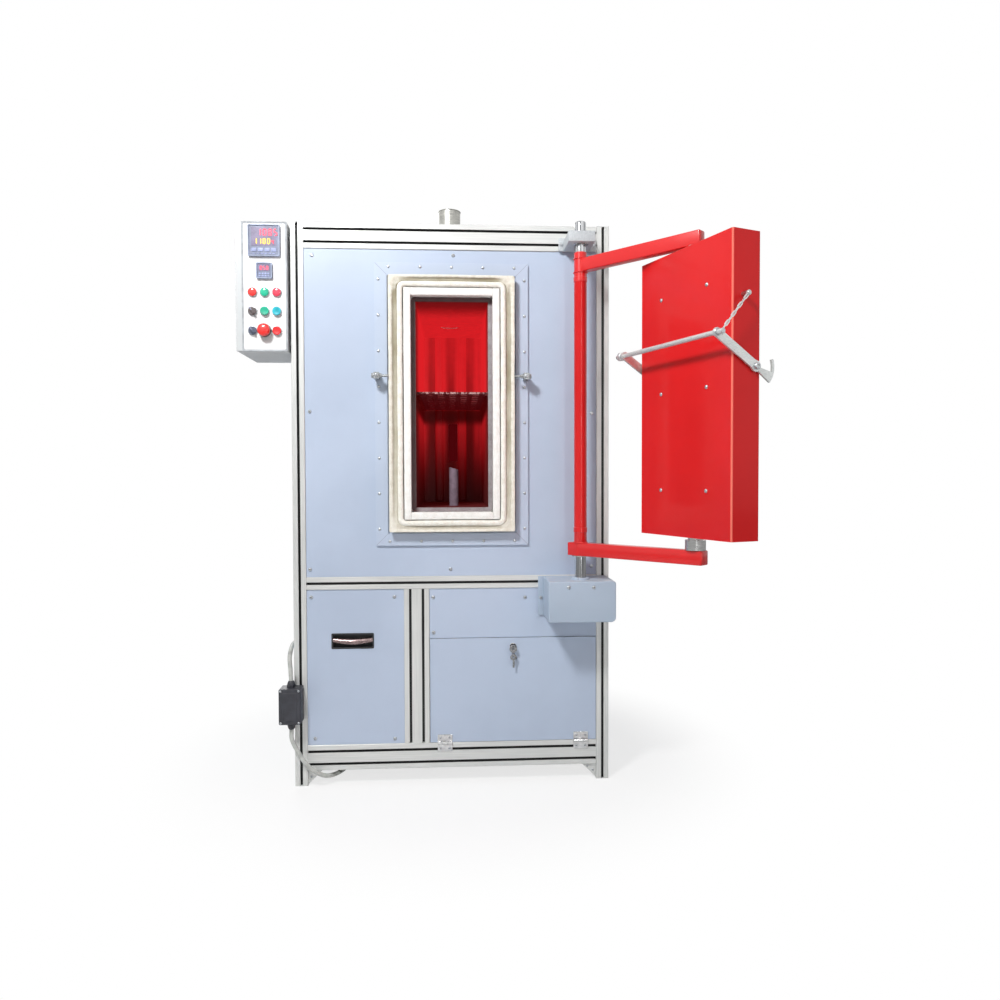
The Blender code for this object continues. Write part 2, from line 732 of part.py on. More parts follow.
def slot_outline(sides, grooved, simple=False):
    """Outline of a T-slot profile; sides counts modules, grooved names the slotted faces."""
    width = sides[0] * PROFILE
    depth = sides[1] * PROFILE
    outline = []
    edges = (
        ("front", (0, 0), (1, 0), (0, 1), sides[0]),
        ("right", (width, 0), (0, 1), (-1, 0), sides[1]),
        ("back", (width, depth), (-1, 0), (0, -1), sides[0]),
        ("left", (0, depth), (0, -1), (1, 0), sides[1]),
    )
    for name, start, way, inward, modules in edges:
        def at(along, into):
            return (start[0] + way[0] * along + inward[0] * into,
                    start[1] + way[1] * along + inward[1] * into)
        outline.append(at(PROFILE_CHAMFER, 0))
        if name in grooved:
            for module in range(modules):
                middle = (module + 0.5) * PROFILE
                for along, into in slot_steps(simple):
                    outline.append(at(middle + along, into))
        outline.append(at(modules * PROFILE - PROFILE_CHAMFER, 0))
    return outline


def shifted(points, du, dv):
    return [(u + du, v + dv) for u, v in points]


def swapped(points):
    return [(v, u) for u, v in points]


ALL_FACES = ("front", "right", "back", "left")


def upright(x0, y0, z0, z1, sides=(1, 1), grooved=ALL_FACES, simple=False):
    return extrude(shifted(slot_outline(sides, grooved, simple), x0, y0), z0, z1, along_z)


def crossbar(y0, z0, x0, x1, tall=1, grooved=ALL_FACES):
    """Bar along X; its outline's first coordinate runs up, so its front faces are left in the outline."""
    outline = slot_outline((tall, 1), grooved)
    return extrude(shifted(swapped(outline), y0, z0), x0, x1, along_x)


def sidebar(x0, z0, y0, y1, grooved=ALL_FACES):
    return extrude(shifted(slot_outline((1, 1), grooved, True), x0, z0), y0, y1, along_y)


def build_frame(root):
    half = CABINET_WIDTH / 2
    inner = half - PROFILE - GAP
    top = CABINET_HEIGHT
    double = 2 * PROFILE
    node("post_front_left", upright(-half, 0, 0, top), aluminium(), root)
    node("post_front_right", upright(half - PROFILE, 0, 0, top), aluminium(), root)
    node("top_rail_front", crossbar(0, top - double, -inner, inner, 2), aluminium(), root)
    node("middle_rail_front", crossbar(0, MIDDLE_RAIL_Z, -inner, inner), aluminium(), root)
    bottom = crossbar(0, FOOT_CLEARANCE, -inner, inner, 2)
    gussets = []
    for side in (-1, 1):
        points = [
            (side * inner, FOOT_CLEARANCE + PROFILE / 2),
            (side * inner, FOOT_CLEARANCE - GUSSET_LEG),
            (side * (inner - GUSSET_LEG), FOOT_CLEARANCE),
            (side * (inner - GUSSET_LEG), FOOT_CLEARANCE + PROFILE_CHAMFER * 2),
        ]
        gussets.append(extrude(points, GUSSET_BACK, PROFILE - GUSSET_BACK, along_y))
    leaves = [moved(fixed_leaf(x), (0, HINGE_AXIS_Y, FOOT_CLEARANCE + double)) for x in HINGE_OFFSETS]
    node("bottom_rail_front", combine(bottom, gussets + leaves), aluminium(), root)
    low = FOOT_CLEARANCE + double + GAP
    node("divider_post", upright(DIVIDER_LEFT, 0, low, MIDDLE_RAIL_Z - GAP, (2, 1)), aluminium(), root)
    node("rear_frame", rear_frame(half, top), aluminium(), root)


def rear_frame(half, top):
    """Rear posts with the side and rear rails: one welded frame, grooved on its outward faces."""
    back = CABINET_DEPTH - PROFILE
    left_post = upright(-half, back, 0, top, grooved=("left", "back"), simple=True)
    parts = [upright(half - PROFILE, back, 0, top, grooved=("right", "back"), simple=True)]
    start = PROFILE + GAP
    over = PROFILE / 2
    for z in (FOOT_CLEARANCE, top - PROFILE):
        parts.append(sidebar(-half, z, start, back + over, grooved=("left",)))
        parts.append(sidebar(half - PROFILE, z, start, back + over, grooved=("right",)))
    for z in (FOOT_CLEARANCE, MIDDLE_RAIL_Z, top - PROFILE):
        parts.append(crossbar(back, z, -half + over, half - over, 1, grooved=()))
    return combine(left_post, parts)


# Panels
def build_panels(root):
    half = CABINET_WIDTH / 2
    inner = half - PROFILE - GAP
    top = CABINET_HEIGHT
    double = 2 * PROFILE
    y0 = PANEL_RECESS
    y1 = PANEL_RECESS + SHEET
    upper_low = MIDDLE_RAIL_Z + PROFILE + GAP
    upper = block(-inner, inner, y0, y1, upper_low, top - double - GAP)
    hole = rounded(PANEL_HOLE_WIDTH, PANEL_HOLE_HEIGHT, SEAL_CORNER, 0, OPENING_Z)
    node("front_panel", combine(upper, cut=[extrude(hole, y0 - SHEET, y1 + SHEET, along_y)]), powder(),
         root)
    node("opening_flange", flange(), powder(), root)
    low = FOOT_CLEARANCE + double + GAP
    high = MIDDLE_RAIL_Z - GAP
    left = block(-inner, DIVIDER_LEFT - GAP, y0, y1, low, high)
    cup = block(HANDLE_LEFT, HANDLE_RIGHT, y0 - SHEET, y1 + SHEET, HANDLE_BOTTOM, HANDLE_TOP)
    node("lower_left_panel", combine(left, cut=[cup]), powder(), root)
    node("recessed_handle", handle(), black_plastic(), root)
    strip_left = DIVIDER_LEFT + double + GAP
    node("lower_fixed_strip", block(strip_left, inner, y0, y1, STRIP_BOTTOM, high), powder(), root)
    back = CABINET_DEPTH - PROFILE - GAP
    floor_top = FOOT_CLEARANCE + PROFILE + GAP
    ceiling = top - PROFILE - GAP
    for name, x0 in (("left_side_panel", -half + SIDE_RECESS),
                     ("right_side_panel", half - SIDE_RECESS - SHEET)):
        sheet = block(x0, x0 + SHEET, PROFILE + GAP, back, floor_top, ceiling)
        node(name, sheet, powder(), root)
    rear_y = CABINET_DEPTH + GAP
    rear = block(-half + SHEET, half - SHEET, rear_y, rear_y + SHEET, FOOT_CLEARANCE, top - SHEET)
    node("rear_panel", rear, powder(), root)
    deck = block(-inner, inner, y1 + GAP, CABINET_DEPTH - PROFILE / 2, upper_low, upper_low + DECK)
    node("oven_deck", deck, zinc(), root)
    lid_z = top - SIDE_RECESS
    lid = block(-inner, inner, PROFILE + GAP, back, lid_z - SHEET, lid_z)
    bore = rod(FLUE_RADIUS + GAP, lid_z - 2 * SHEET, lid_z + SHEET, along_z, FLUE_X, FLUE_Y)
    node("top_panel", combine(lid, cut=[bore]), zinc(), root)
    floor = block(-inner, inner, PROFILE + GAP, back, FLOOR_Z, FLOOR_Z + SHEET)
    node("floor_panel", floor, zinc(), root)


def flange():
    """Riveted frame round the opening, its rivets spaced evenly along each side."""
    y0 = -FLANGE_PROUD
    y1 = PANEL_RECESS - GAP
    outer = rounded(FLANGE_WIDTH, FLANGE_HEIGHT, SHEET, 0, OPENING_Z, 1)
    inner = rounded(FLANGE_INNER_WIDTH, FLANGE_INNER_HEIGHT, SHEET, 0, OPENING_Z, 1)
    row_half = FLANGE_WIDTH / 2 - RIVET_CORNER_X
    column_half = FLANGE_HEIGHT / 2 - RIVET_CORNER_Z
    spots = []
    for side in (-1, 1):
        for i in range(RIVETS_ACROSS):
            spots.append(((2 * i / (RIVETS_ACROSS - 1) - 1) * row_half, side * RIVET_ROW_Z))
        for i in range(RIVETS_UP):
            spots.append((side * RIVET_COLUMN_X, (2 * i / (RIVETS_UP - 1) - 1) * column_half))
    domes = []
    for x, z in spots:
        profile = [
            (0, y0 + SHEET / 2),
            (RIVET_RADIUS, y0 + SHEET / 2),
            (RIVET_RADIUS, y0),
            (RIVET_RADIUS * DOME_EDGE_SHARE, y0 - RIVET_HEIGHT * DOME_RISE_SHARE),
            (0, y0 - RIVET_HEIGHT),
        ]
        domes.append(turned(profile, along_y, x, OPENING_Z + z, 8))
    frame = combine(extrude(outer, y0, y1, along_y), cut=[extrude(inner, y0 - SHEET, y1 + SHEET, along_y)])
    return combine(frame, domes)


def handle():
    """Recessed cup with a lip over the panel and an arched grip across its mouth."""
    y0 = PANEL_RECESS - GAP
    mid_x = (HANDLE_LEFT + HANDLE_RIGHT) / 2
    mid_z = (HANDLE_BOTTOM + HANDLE_TOP) / 2
    width = HANDLE_RIGHT - HANDLE_LEFT - 2 * GAP
    height = HANDLE_TOP - HANDLE_BOTTOM - 2 * GAP
    lip = extrude(rounded(width + 2 * HANDLE_LIP, height + 2 * HANDLE_LIP, HANDLE_LIP, mid_x, mid_z, 2),
                  y0 - SHEET / 2, y0, along_y)
    body = block(mid_x - width / 2, mid_x + width / 2, y0 - SHEET / 4, HANDLE_DEPTH,
                 mid_z - height / 2, mid_z + height / 2)
    room = block(mid_x - width / 2 + HANDLE_WALL, mid_x + width / 2 - HANDLE_WALL, y0 - SHEET,
                 HANDLE_DEPTH - HANDLE_WALL,
                 mid_z - height / 2 + HANDLE_WALL, mid_z + height / 2 - HANDLE_WALL)
    cup = combine(lip, [body], [room])
    return combine(cup, [grip_bar(mid_x, mid_z, width)])


def grip_bar(mid_x, mid_z, width):
    bm = bmesh.new()
    rings = []
    steps = 12
    for i in range(steps + 1):
        share = i / steps
        x = mid_x + (share - 0.5) * (width - HANDLE_WALL)
        bulge = math.sin(math.pi * share)
        z = mid_z + HANDLE_WALL - GRIP_SAG * bulge
        y = GRIP_RADIUS + SHEET * 2 - SHEET * 3 * bulge
        ring = []
        for k in range(TINY_SEGMENTS):
            angle = 2 * math.pi * k / TINY_SEGMENTS
            ring.append(bm.verts.new((x, y + GRIP_RADIUS * GRIP_FLAT_SHARE * math.cos(angle),
                                      z + GRIP_RADIUS * math.sin(angle))))
        rings.append(ring)
    bm.faces.new(rings[0])
    bm.faces.new(list(reversed(rings[-1])))
    for a, b in zip(rings, rings[1:]):
        for k in range(TINY_SEGMENTS):
            j = (k + 1) % TINY_SEGMENTS
            bm.faces.new((a[k], a[j], b[j], b[k]))
    return new_mesh(bm)


# Chamber
def build_chamber(root):
    front = PANEL_RECESS + SHEET + GAP
    mid = OPENING_Z
    seal_back = front - GAP
    seal = combine(
        extrude(rounded(SEAL_WIDTH, SEAL_HEIGHT, SEAL_CORNER, 0, mid), -SEAL_FRONT, seal_back, along_y),
        cut=[extrude(rounded(FACE_WIDTH + 2 * GAP, FACE_HEIGHT + 2 * GAP, FACE_CORNER, 0, mid),
                     -SEAL_FRONT - SHEET, front + SHEET, along_y)])
    node("gasket_outer", seal, cream_fibre(), root)
    face = combine(
        extrude(rounded(FACE_WIDTH, FACE_HEIGHT, FACE_CORNER, 0, mid), -FACE_FRONT, seal_back, along_y),
        cut=[extrude(rounded(THROAT_WIDTH, THROAT_HEIGHT, THROAT_CORNER, 0, mid),
                     -FACE_FRONT - SHEET, front + SHEET, along_y)])
    node("gasket_inner", face, white_fibre(), root)
    node("insulation_lining", insulation(front, mid), white_fibre(), root)
    node("chamber_liner", liner(front, mid), hot_steel(), root)
    node("shelf_grid", shelf(front), ceramic(), root)
    node("riser_tube", riser(front, mid), ceramic(), root)
    flue = turned([(FLUE_RADIUS, INSULATION_TOP + GAP), (FLUE_RADIUS, FLUE_TOP),
                   (FLUE_RADIUS - FLUE_WALL, FLUE_TOP), (FLUE_RADIUS - FLUE_WALL, INSULATION_TOP + GAP)],
                  along_z, FLUE_X, FLUE_Y)
    node("flue_pipe", flue, steel(), root)


def insulation(front, mid):
    half = INSULATION_WIDTH / 2
    base = MIDDLE_RAIL_Z + PROFILE + DECK + 2 * GAP
    body = block(-half, half, front, INSULATION_BACK, base, INSULATION_TOP)
    room = block(-LINER_WIDTH / 2 - GAP, LINER_WIDTH / 2 + GAP, front - SHEET, front + LINER_DEPTH + GAP,
                 mid - LINER_HEIGHT / 2 - GAP, mid + LINER_HEIGHT / 2 + GAP)
    bore = rod(FLUE_RADIUS - FLUE_WALL, mid, INSULATION_TOP + SHEET, along_z, FLUE_X, FLUE_Y)
    foot = riser_foot(mid) - GAP
    return combine(body, cut=[room, bore, riser_hole(front, foot, foot + 2 * RISER_SOCKET)])


def liner(front, mid):
    """Heated liner with a front flange, a flue hole, ledges for the shelf and a slot in its back wall."""
    low = mid - LINER_HEIGHT / 2
    high = mid + LINER_HEIGHT / 2
    half = LINER_WIDTH / 2
    wall = LINER_WALL
    body = block(-half, half, front - LINER_FLANGE, front + LINER_DEPTH, low, high)
    lip = extrude(rounded(THROAT_WIDTH - 2 * GAP, THROAT_HEIGHT - 2 * GAP, THROAT_CORNER, 0, mid),
                  front - LINER_FLANGE, front - GAP, along_y)
    room = block(-half + wall, half - wall, front - 2 * LINER_FLANGE, front + LINER_DEPTH - wall,
                 low + wall, high - wall)
    bore = rod(FLUE_RADIUS - FLUE_WALL, mid, high + wall, along_z, FLUE_X, FLUE_Y)
    slot = block(-BACK_SLOT_WIDTH / 2, BACK_SLOT_WIDTH / 2, front + LINER_DEPTH - 2 * wall,
                 front + LINER_DEPTH + wall,
                 BACK_SLOT_Z - BACK_SLOT_HEIGHT / 2, BACK_SLOT_Z + BACK_SLOT_HEIGHT / 2)
    shell = combine(body, [lip], [room, bore, slot, riser_hole(front, low - wall, low + 2 * wall)])
    ledges = []
    for side in (-1, 1):
        xs = sorted((side * (half - wall / 2), side * (half - wall - SHELF_LEDGE)))
        ledges.append(block(xs[0], xs[1], front + SHELF_FRONT, front + SHELF_BACK,
                            SHELF_Z - SHELF_LEDGE_THICKNESS - GAP, SHELF_Z - GAP))
    return combine(shell, ledges)


def shelf(front):
    """Perforated shelf: rows of square holes across its width."""
    half = LINER_WIDTH / 2 - LINER_WALL - SHELF_SLACK
    plate = block(-half, half, front + SHELF_FRONT, front + SHELF_BACK, SHELF_Z, SHELF_Z + SHELF_THICKNESS)
    holes = []
    rows = int((SHELF_BACK - SHELF_FRONT) / SHELF_HOLE_PITCH_Y)
    for row in range(rows):
        y = front + SHELF_FRONT + (row + 0.5) * SHELF_HOLE_PITCH_Y
        for column in range(-2, 3):
            x = column * SHELF_HOLE_PITCH_X
            holes.append(block(x - SHELF_HOLE / 2, x + SHELF_HOLE / 2, y - SHELF_HOLE, y + SHELF_HOLE,
                               SHELF_Z - SHELF_THICKNESS, SHELF_Z + 2 * SHELF_THICKNESS))
    return combine(plate, cut=holes)


def riser_foot(mid):
    """Height of the tube's lower end, which stands in a socket under the liner's floor."""
    return mid - LINER_HEIGHT / 2 + LINER_WALL - RISER_SOCKET


def riser_hole(front, start, end):
    return rod(RISER_RADIUS + GAP, start, end, along_z, RISER_X, front + RISER_Y)


def riser(front, mid):
    base = riser_foot(mid)
    top = base + RISER_SOCKET + RISER_HEIGHT
    y = front + RISER_Y
    tube = turned([(RISER_RADIUS, base), (RISER_RADIUS, top), (RISER_BORE, top), (RISER_BORE, base)],
                  along_z, RISER_X, y)
    reach = RISER_RADIUS * 2
    wedge = [(RISER_X - reach, top + RISER_SLANT), (RISER_X + reach, top + RISER_SLANT),
             (RISER_X + reach, top - RISER_SLANT), (RISER_X - reach, top)]
    return combine(tube, cut=[extrude(wedge, y - reach, y + reach, along_y)])


# Keepers, shaft and bearings
def build_keepers(root):
    face = -FLANGE_PROUD - GAP
    for name, side in (("keeper_left", -1), ("keeper_right", 1)):
        xs = sorted((side * KEEPER_BLOCK_INNER, side * KEEPER_BLOCK_OUTER))
        foot = block(xs[0], xs[1], KEEPER_Y - KEEPER_BLOCK_HALF, face,
                     KEEPER_Z - KEEPER_BLOCK_HALF, KEEPER_Z + KEEPER_BLOCK_HALF)
        ends = sorted((side * KEEPER_STUD_INNER, side * (KEEPER_BLOCK_INNER + KEEPER_STUD_RADIUS)))
        stud = rod(KEEPER_STUD_RADIUS, ends[0], ends[1], along_x, KEEPER_Y, KEEPER_Z, SMALL_SEGMENTS)
        seat = sorted((side * KEEPER_NUT_INNER, side * (KEEPER_BLOCK_INNER + SHEET)))
        nut = rod(KEEPER_NUT_RADIUS, seat[0], seat[1], along_x, KEEPER_Y, KEEPER_Z, 6)
        node(name, combine(foot, [nut, stud]), steel(), root)


def build_shaft(root):
    r = SHAFT_RADIUS
    collar_top = LOWER_ARM_Z - GAP
    profile = [(0, SHAFT_BOTTOM), (r - SHEET, SHAFT_BOTTOM), (r, SHAFT_BOTTOM + SHEET),
               (r, collar_top - SHAFT_COLLAR), (SHAFT_COLLAR_RADIUS, collar_top - SHAFT_COLLAR),
               (SHAFT_COLLAR_RADIUS, collar_top), (r, collar_top), (r, SHAFT_TOP - SHEET),
               (r - SHEET, SHAFT_TOP), (0, SHAFT_TOP)]
    node("hinge_shaft", turned(profile, along_z, SHAFT_X, SHAFT_Y), steel(), root)
    plate = block(BRACKET_LEFT, BRACKET_RIGHT, -BRACKET_PLATE, -GAP, BRACKET_BOTTOM, BRACKET_TOP)
    nose = block(SHAFT_X - BRACKET_BLOCK_HALF, SHAFT_X + BRACKET_BLOCK_HALF, BRACKET_FRONT,
                 -BRACKET_PLATE / 2,
                 BRACKET_BOTTOM, BRACKET_TOP)
    bore = rod(r + GAP, BRACKET_BOTTOM - SHEET, BRACKET_TOP + SHEET, along_z, SHAFT_X, SHAFT_Y)
    node("top_shaft_bracket", combine(plate, [nose], [bore]), grey_cast(), root)
    lower = block(SHAFT_X - BEARING_HALF, SHAFT_X + BEARING_HALF, BEARING_FRONT, -GAP, BEARING_BOTTOM,
                  BEARING_TOP)
    seat = rod(r + GAP, BEARING_BOTTOM - SHEET, BEARING_TOP + SHEET, along_z, SHAFT_X, SHAFT_Y)
    node("lower_bearing_block", combine(lower, cut=[seat]), grey_cast(), root)
    node("bearing_cover", cover(), powder(), root)


def cover():
    """Box over the lower bearing, open at its back, with one screw ear and a boss round the shaft."""
    mid = (COVER_LEFT + COVER_RIGHT) / 2
    width = COVER_RIGHT - COVER_LEFT
    deep = -COVER_FRONT
    cut = COVER_CORNER * COVER_CORNER_SHARE
    outline = [
        (COVER_LEFT, 0),
        (COVER_LEFT, -deep + COVER_CORNER),
        (COVER_LEFT + cut, -deep + cut),
        (COVER_LEFT + COVER_CORNER, -deep),
        (COVER_RIGHT - COVER_CORNER, -deep),
        (COVER_RIGHT - cut, -deep + cut),
        (COVER_RIGHT, -deep + COVER_CORNER),
        (COVER_RIGHT, 0),
    ]
    outline = [(x, min(y, -GAP)) for x, y in outline]
    body = extrude(outline, COVER_BOTTOM, COVER_TOP, along_z)
    ear = block(COVER_LEFT - COVER_EAR, mid - width / 4, -COVER_WALL, -GAP, COVER_BOTTOM, COVER_TOP)
    boss = rod(COVER_BOSS_RADIUS, COVER_TOP - COVER_WALL / 2, COVER_TOP + COVER_BOSS_HEIGHT, along_z,
               SHAFT_X, SHAFT_Y)
    room = block(COVER_LEFT + COVER_WALL, COVER_RIGHT - COVER_WALL, COVER_FRONT + COVER_WALL, SHEET,
                 COVER_BOTTOM + COVER_WALL, COVER_TOP - COVER_WALL)
    hole = rod(SHAFT_RADIUS + COVER_SHAFT_PLAY, COVER_TOP - 2 * COVER_WALL,
               COVER_TOP + 2 * COVER_BOSS_HEIGHT,
               along_z, SHAFT_X, SHAFT_Y)
    return combine(body, [ear, boss], [room, hole])


# Carrier and door
def build_carrier(root):
    carrier = empty("carrier_axis", root, (SHAFT_X, SHAFT_Y, 0), ARM_REST_ANGLE)
    half = ARM_SIZE / 2
    far = ARM_REACH + ARM_OVERHANG
    tube = rod(TUBE_RADIUS, LOWER_ARM_Z + half, TUBE_TOP, along_z)
    added = []
    for z in (LOWER_ARM_Z, UPPER_ARM_Z):
        bar = rounded(ARM_SIZE, ARM_SIZE, ARM_ROUND, 0, z + half, 2)
        added.append(extrude(bar, -half, far, along_x))
    for z in (COLLAR_LOWER_Z, COLLAR_UPPER_Z):
        added.append(rod(COLLAR_RADIUS, z, z + COLLAR_HEIGHT, along_z))
    bore = rod(SHAFT_RADIUS + SHAFT_PLAY, LOWER_ARM_Z - SHEET, TUBE_TOP + SHEET, along_z)
    node("swing_arm", combine(tube, added, [bore]), red_paint(), carrier)
    top = LOWER_ARM_Z + ARM_SIZE + GAP
    shoulder = DOOR_BOTTOM - PIVOT_FACE_GAP
    pin_top = DOOR_BOTTOM + PIN_ENGAGEMENT - PIN_END_PLAY
    profile = [(0, top), (LOWER_PIVOT_RADIUS, top), (LOWER_PIVOT_RADIUS,
                                                     shoulder - LOWER_PIVOT_NECK_HEIGHT),
               (LOWER_PIVOT_NECK, shoulder - LOWER_PIVOT_NECK_HEIGHT), (LOWER_PIVOT_NECK, shoulder),
               (PIN_RADIUS, shoulder), (PIN_RADIUS, pin_top), (0, pin_top)]
    node("lower_pivot", turned(profile, along_z, ARM_REACH, 0), steel(), carrier)
    high = UPPER_ARM_Z - GAP
    ceiling = DOOR_BOTTOM + DOOR_HEIGHT
    tip = ceiling - PIN_ENGAGEMENT + PIN_END_PLAY
    profile = [(0, high), (UPPER_PIVOT_RADIUS, high), (UPPER_PIVOT_RADIUS, ceiling + PIVOT_FACE_GAP),
               (PIN_RADIUS, ceiling + PIVOT_FACE_GAP), (PIN_RADIUS, tip), (0, tip)]
    node("upper_pivot", turned(profile, along_z, ARM_REACH, 0), steel(), carrier)
    return carrier


def build_door(carrier):
    door = empty("door_axis", carrier, (ARM_REACH, 0, 0), DOOR_REST_ANGLE - ARM_REST_ANGLE)
    node("door_shell", door_shell(), red_paint(), door)
    node("door_hot_face", hot_face(), white_fibre(), door)
    return door


def door_shell():
    """Tray of folded sheet, open on the hot side, its end walls thick enough for the pivot bores."""
    half = DOOR_WIDTH / 2
    deep = DOOR_THICKNESS / 2
    top = DOOR_BOTTOM + DOOR_HEIGHT
    mid = DOOR_BOTTOM + DOOR_HEIGHT / 2
    body = extrude(rounded(DOOR_WIDTH, DOOR_THICKNESS, DOOR_EDGE_ROUND, 0, 0, 3), DOOR_BOTTOM, top, along_z)
    room = block(-half + DOOR_SKIN, half - DOOR_SKIN, -deep + DOOR_SKIN, deep + DOOR_SKIN,
                 DOOR_BOTTOM + DOOR_END_WALL, top - DOOR_END_WALL)
    bores = [
        rod(PIN_RADIUS + PIN_PLAY, DOOR_BOTTOM - SHEET, DOOR_BOTTOM + PIN_ENGAGEMENT, along_z, segments=32),
        rod(PIN_RADIUS + PIN_PLAY, top - PIN_ENGAGEMENT, top + SHEET, along_z, segments=32),
    ]
    return combine(body, [bail_bolt(-1), bail_bolt(1), chain_screw()], [room] + bores)


def hot_face():
    half = DOOR_WIDTH / 2 - DOOR_SKIN - GAP
    deep = DOOR_THICKNESS / 2
    low = DOOR_BOTTOM + DOOR_END_WALL + GAP
    high = DOOR_BOTTOM + DOOR_HEIGHT - DOOR_END_WALL - GAP
    slab = block(-half, half, -deep + DOOR_SKIN + GAP, deep - SHEET, low, high)
    margin = HOT_FACE_MARGIN
    mid = (low + high) / 2
    pad = extrude(rounded(2 * (half - margin), high - low - 2 * margin, HOT_FACE_CORNER, 0, mid),
                  0, -SHAFT_Y - SEAL_FRONT - SEAL_PLAY, along_y)
    return combine(slab, [pad])


def bail_bolt(side):
    """Shoulder bolt on the door's side: spacer, journal for the lever and a head."""
    start = DOOR_WIDTH / 2 - SHEET / 2
    spacer_end = LEVER_INNER - GAP
    head_start = LEVER_OUTER + GAP
    profile = [
        (0, side * start),
        (PIVOT_SPACER_RADIUS, side * start),
        (PIVOT_SPACER_RADIUS, side * spacer_end),
        (PIVOT_BOLT_RADIUS, side * spacer_end),
        (PIVOT_BOLT_RADIUS, side * head_start),
        (PIVOT_BOLT_HEAD, side * head_start),
        (PIVOT_BOLT_HEAD, side * PIVOT_BOLT_END),
        (0, side * PIVOT_BOLT_END),
    ]
    return turned(profile, along_x, BAIL_PIVOT_BACK, BAIL_PIVOT_Z, SMALL_SEGMENTS)


def chain_screw():
    """Screw that the chain's eye hangs from, with a shoulder behind the eye and a head before it."""
    start = DOOR_WIDTH / 2 - SHEET / 2
    seat = CHAIN_X - CHAIN_WIRE - GAP
    neck = CHAIN_X + CHAIN_WIRE + GAP
    neck_radius = CHAIN_SCREW_RADIUS * SCREW_NECK_SHARE
    profile = [
        (0, start),
        (CHAIN_SCREW_HEAD, start),
        (CHAIN_SCREW_HEAD, seat),
        (neck_radius, seat),
        (neck_radius, neck),
        (CHAIN_SCREW_HEAD, neck),
        (CHAIN_SCREW_HEAD * SCREW_NECK_SHARE, neck + SHEET),
        (0, neck + SHEET),
    ]
    return turned(profile, along_x, CHAIN_ANCHOR_Y, CHAIN_ANCHOR_Z, SMALL_SEGMENTS)


def build_bail(door):
    axis = empty("bail_axis", door, (0, BAIL_PIVOT_BACK, BAIL_PIVOT_Z))
    node("bail_latch", bail(), steel(), axis)
    grip = turned([(0, -BAIL_GRIP_END), (BAIL_GRIP_RADIUS * GRIP_END_SHARE, -BAIL_GRIP_END),
                   (BAIL_GRIP_RADIUS, -BAIL_GRIP_END + SHEET), (BAIL_GRIP_RADIUS, -BAIL_ROD_LEFT - GAP),
                   (0, -BAIL_ROD_LEFT - GAP)], along_x, -BAIL_ROD_FORWARD, BAIL_ROD_RISE, SMALL_SEGMENTS)
    node("bail_grip", grip, black_plastic(), axis)


def lever_outline():
    """Lever from the side: bar to the rod, round boss, and a claw that closes behind the keeper stud."""
    reach = math.hypot(BAIL_ROD_FORWARD, BAIL_ROD_RISE)
    up = math.atan2(BAIL_ROD_RISE, BAIL_ROD_FORWARD)
    way = Vector((-math.cos(up), math.sin(up)))
    side = Vector((way.y, -way.x))
    points = []
    for step in range(7):
        angle = math.radians(90 - 30 * step)
        centre = way * reach
        offset = way * math.cos(angle) * LEVER_HALF + side * math.sin(angle) * LEVER_HALF
        points.append(centre + offset)
    points.append(way * LEVER_BOSS * LEVER_BLEND_SHARE - side * LEVER_HALF)
    outline = [tuple(p) for p in points]
    def polar(radius, degrees):
        return (radius * math.cos(math.radians(degrees)), radius * math.sin(math.radians(degrees)))
    end = math.degrees(math.atan2(outline[-1][1], outline[-1][0])) % 360
    web_low = CLAW_WEB_START + 360
    steps = 6
    for step in range(1, steps):
        outline.append(polar(LEVER_BOSS, end + (web_low - end) * step / steps))
    steps = 9
    for step in range(steps + 1):
        outline.append(polar(CLAW_OUTER, CLAW_WEB_START + (CLAW_TIP - CLAW_WEB_START) * step / steps))
    steps = 5
    for step in range(steps + 1):
        outline.append(polar(CLAW_INNER, CLAW_TIP + (CLAW_WEB_END - CLAW_TIP) * step / steps))
    begin = way * LEVER_BOSS * LEVER_BLEND_SHARE + side * LEVER_HALF
    finish = math.degrees(math.atan2(begin.y, begin.x))
    steps = 7
    for step in range(steps):
        outline.append(polar(LEVER_BOSS, CLAW_WEB_END + (finish - CLAW_WEB_END) * step / steps))
    outline.append(tuple(begin))
    return outline


def bail():
    outline = lever_outline()
    parts = []
    for side in (-1, 1):
        ends = sorted((side * LEVER_INNER, side * LEVER_OUTER))
        plate = extrude(outline, ends[0], ends[1], along_x)
        hole = rod(LEVER_BORE, ends[0] - SHEET, ends[1] + SHEET, along_x, segments=SMALL_SEGMENTS)
        parts.append(combine(plate, cut=[hole]))
    bar = rod(BAIL_ROD_RADIUS, -BAIL_ROD_LEFT, BAIL_ROD_RIGHT, along_x, -BAIL_ROD_FORWARD,
              BAIL_ROD_RISE, SMALL_SEGMENTS)
    return combine(bar, parts)


# Safety chain
def build_chain(door):
    """Chain hung from a screw on the door's side; its local -Z runs along the chain to the rod."""
    axis = empty("chain_axis", door, (CHAIN_X, CHAIN_ANCHOR_Y, CHAIN_ANCHOR_Z), -CHAIN_REST_ANGLE, 0)
    node("safety_chain", chain(), steel(), axis)


def link(top, bottom, crossed):
    """One flat link with its hole; every second link lies across its neighbours."""
    wide = CHAIN_LINK_WIDTH
    tall = top - bottom
    middle = (top + bottom) / 2
    wire = CHAIN_WIRE
    thick = wire * (1 if crossed else LINK_THIN_SHARE)
    outer = rounded(wide, tall, wide * LINK_ROUND_SHARE, 0, middle, 2)
    inner = rounded(wide - 4 * wire, tall - 4 * wire, (wide - 4 * wire) * LINK_BORE_ROUND_SHARE, 0,
                    middle, 1)
    place = along_y if crossed else along_x
    if crossed:
        outer = [(u * CHAIN_CROSS_SHARE, v) for u, v in outer]
        inner = [(u * CHAIN_CROSS_SHARE / 2, v) for u, v in inner]
    ring = extrude(outer, -thick, thick, place)
    return combine(ring, cut=[extrude(inner, -2 * thick, 2 * thick, place)])


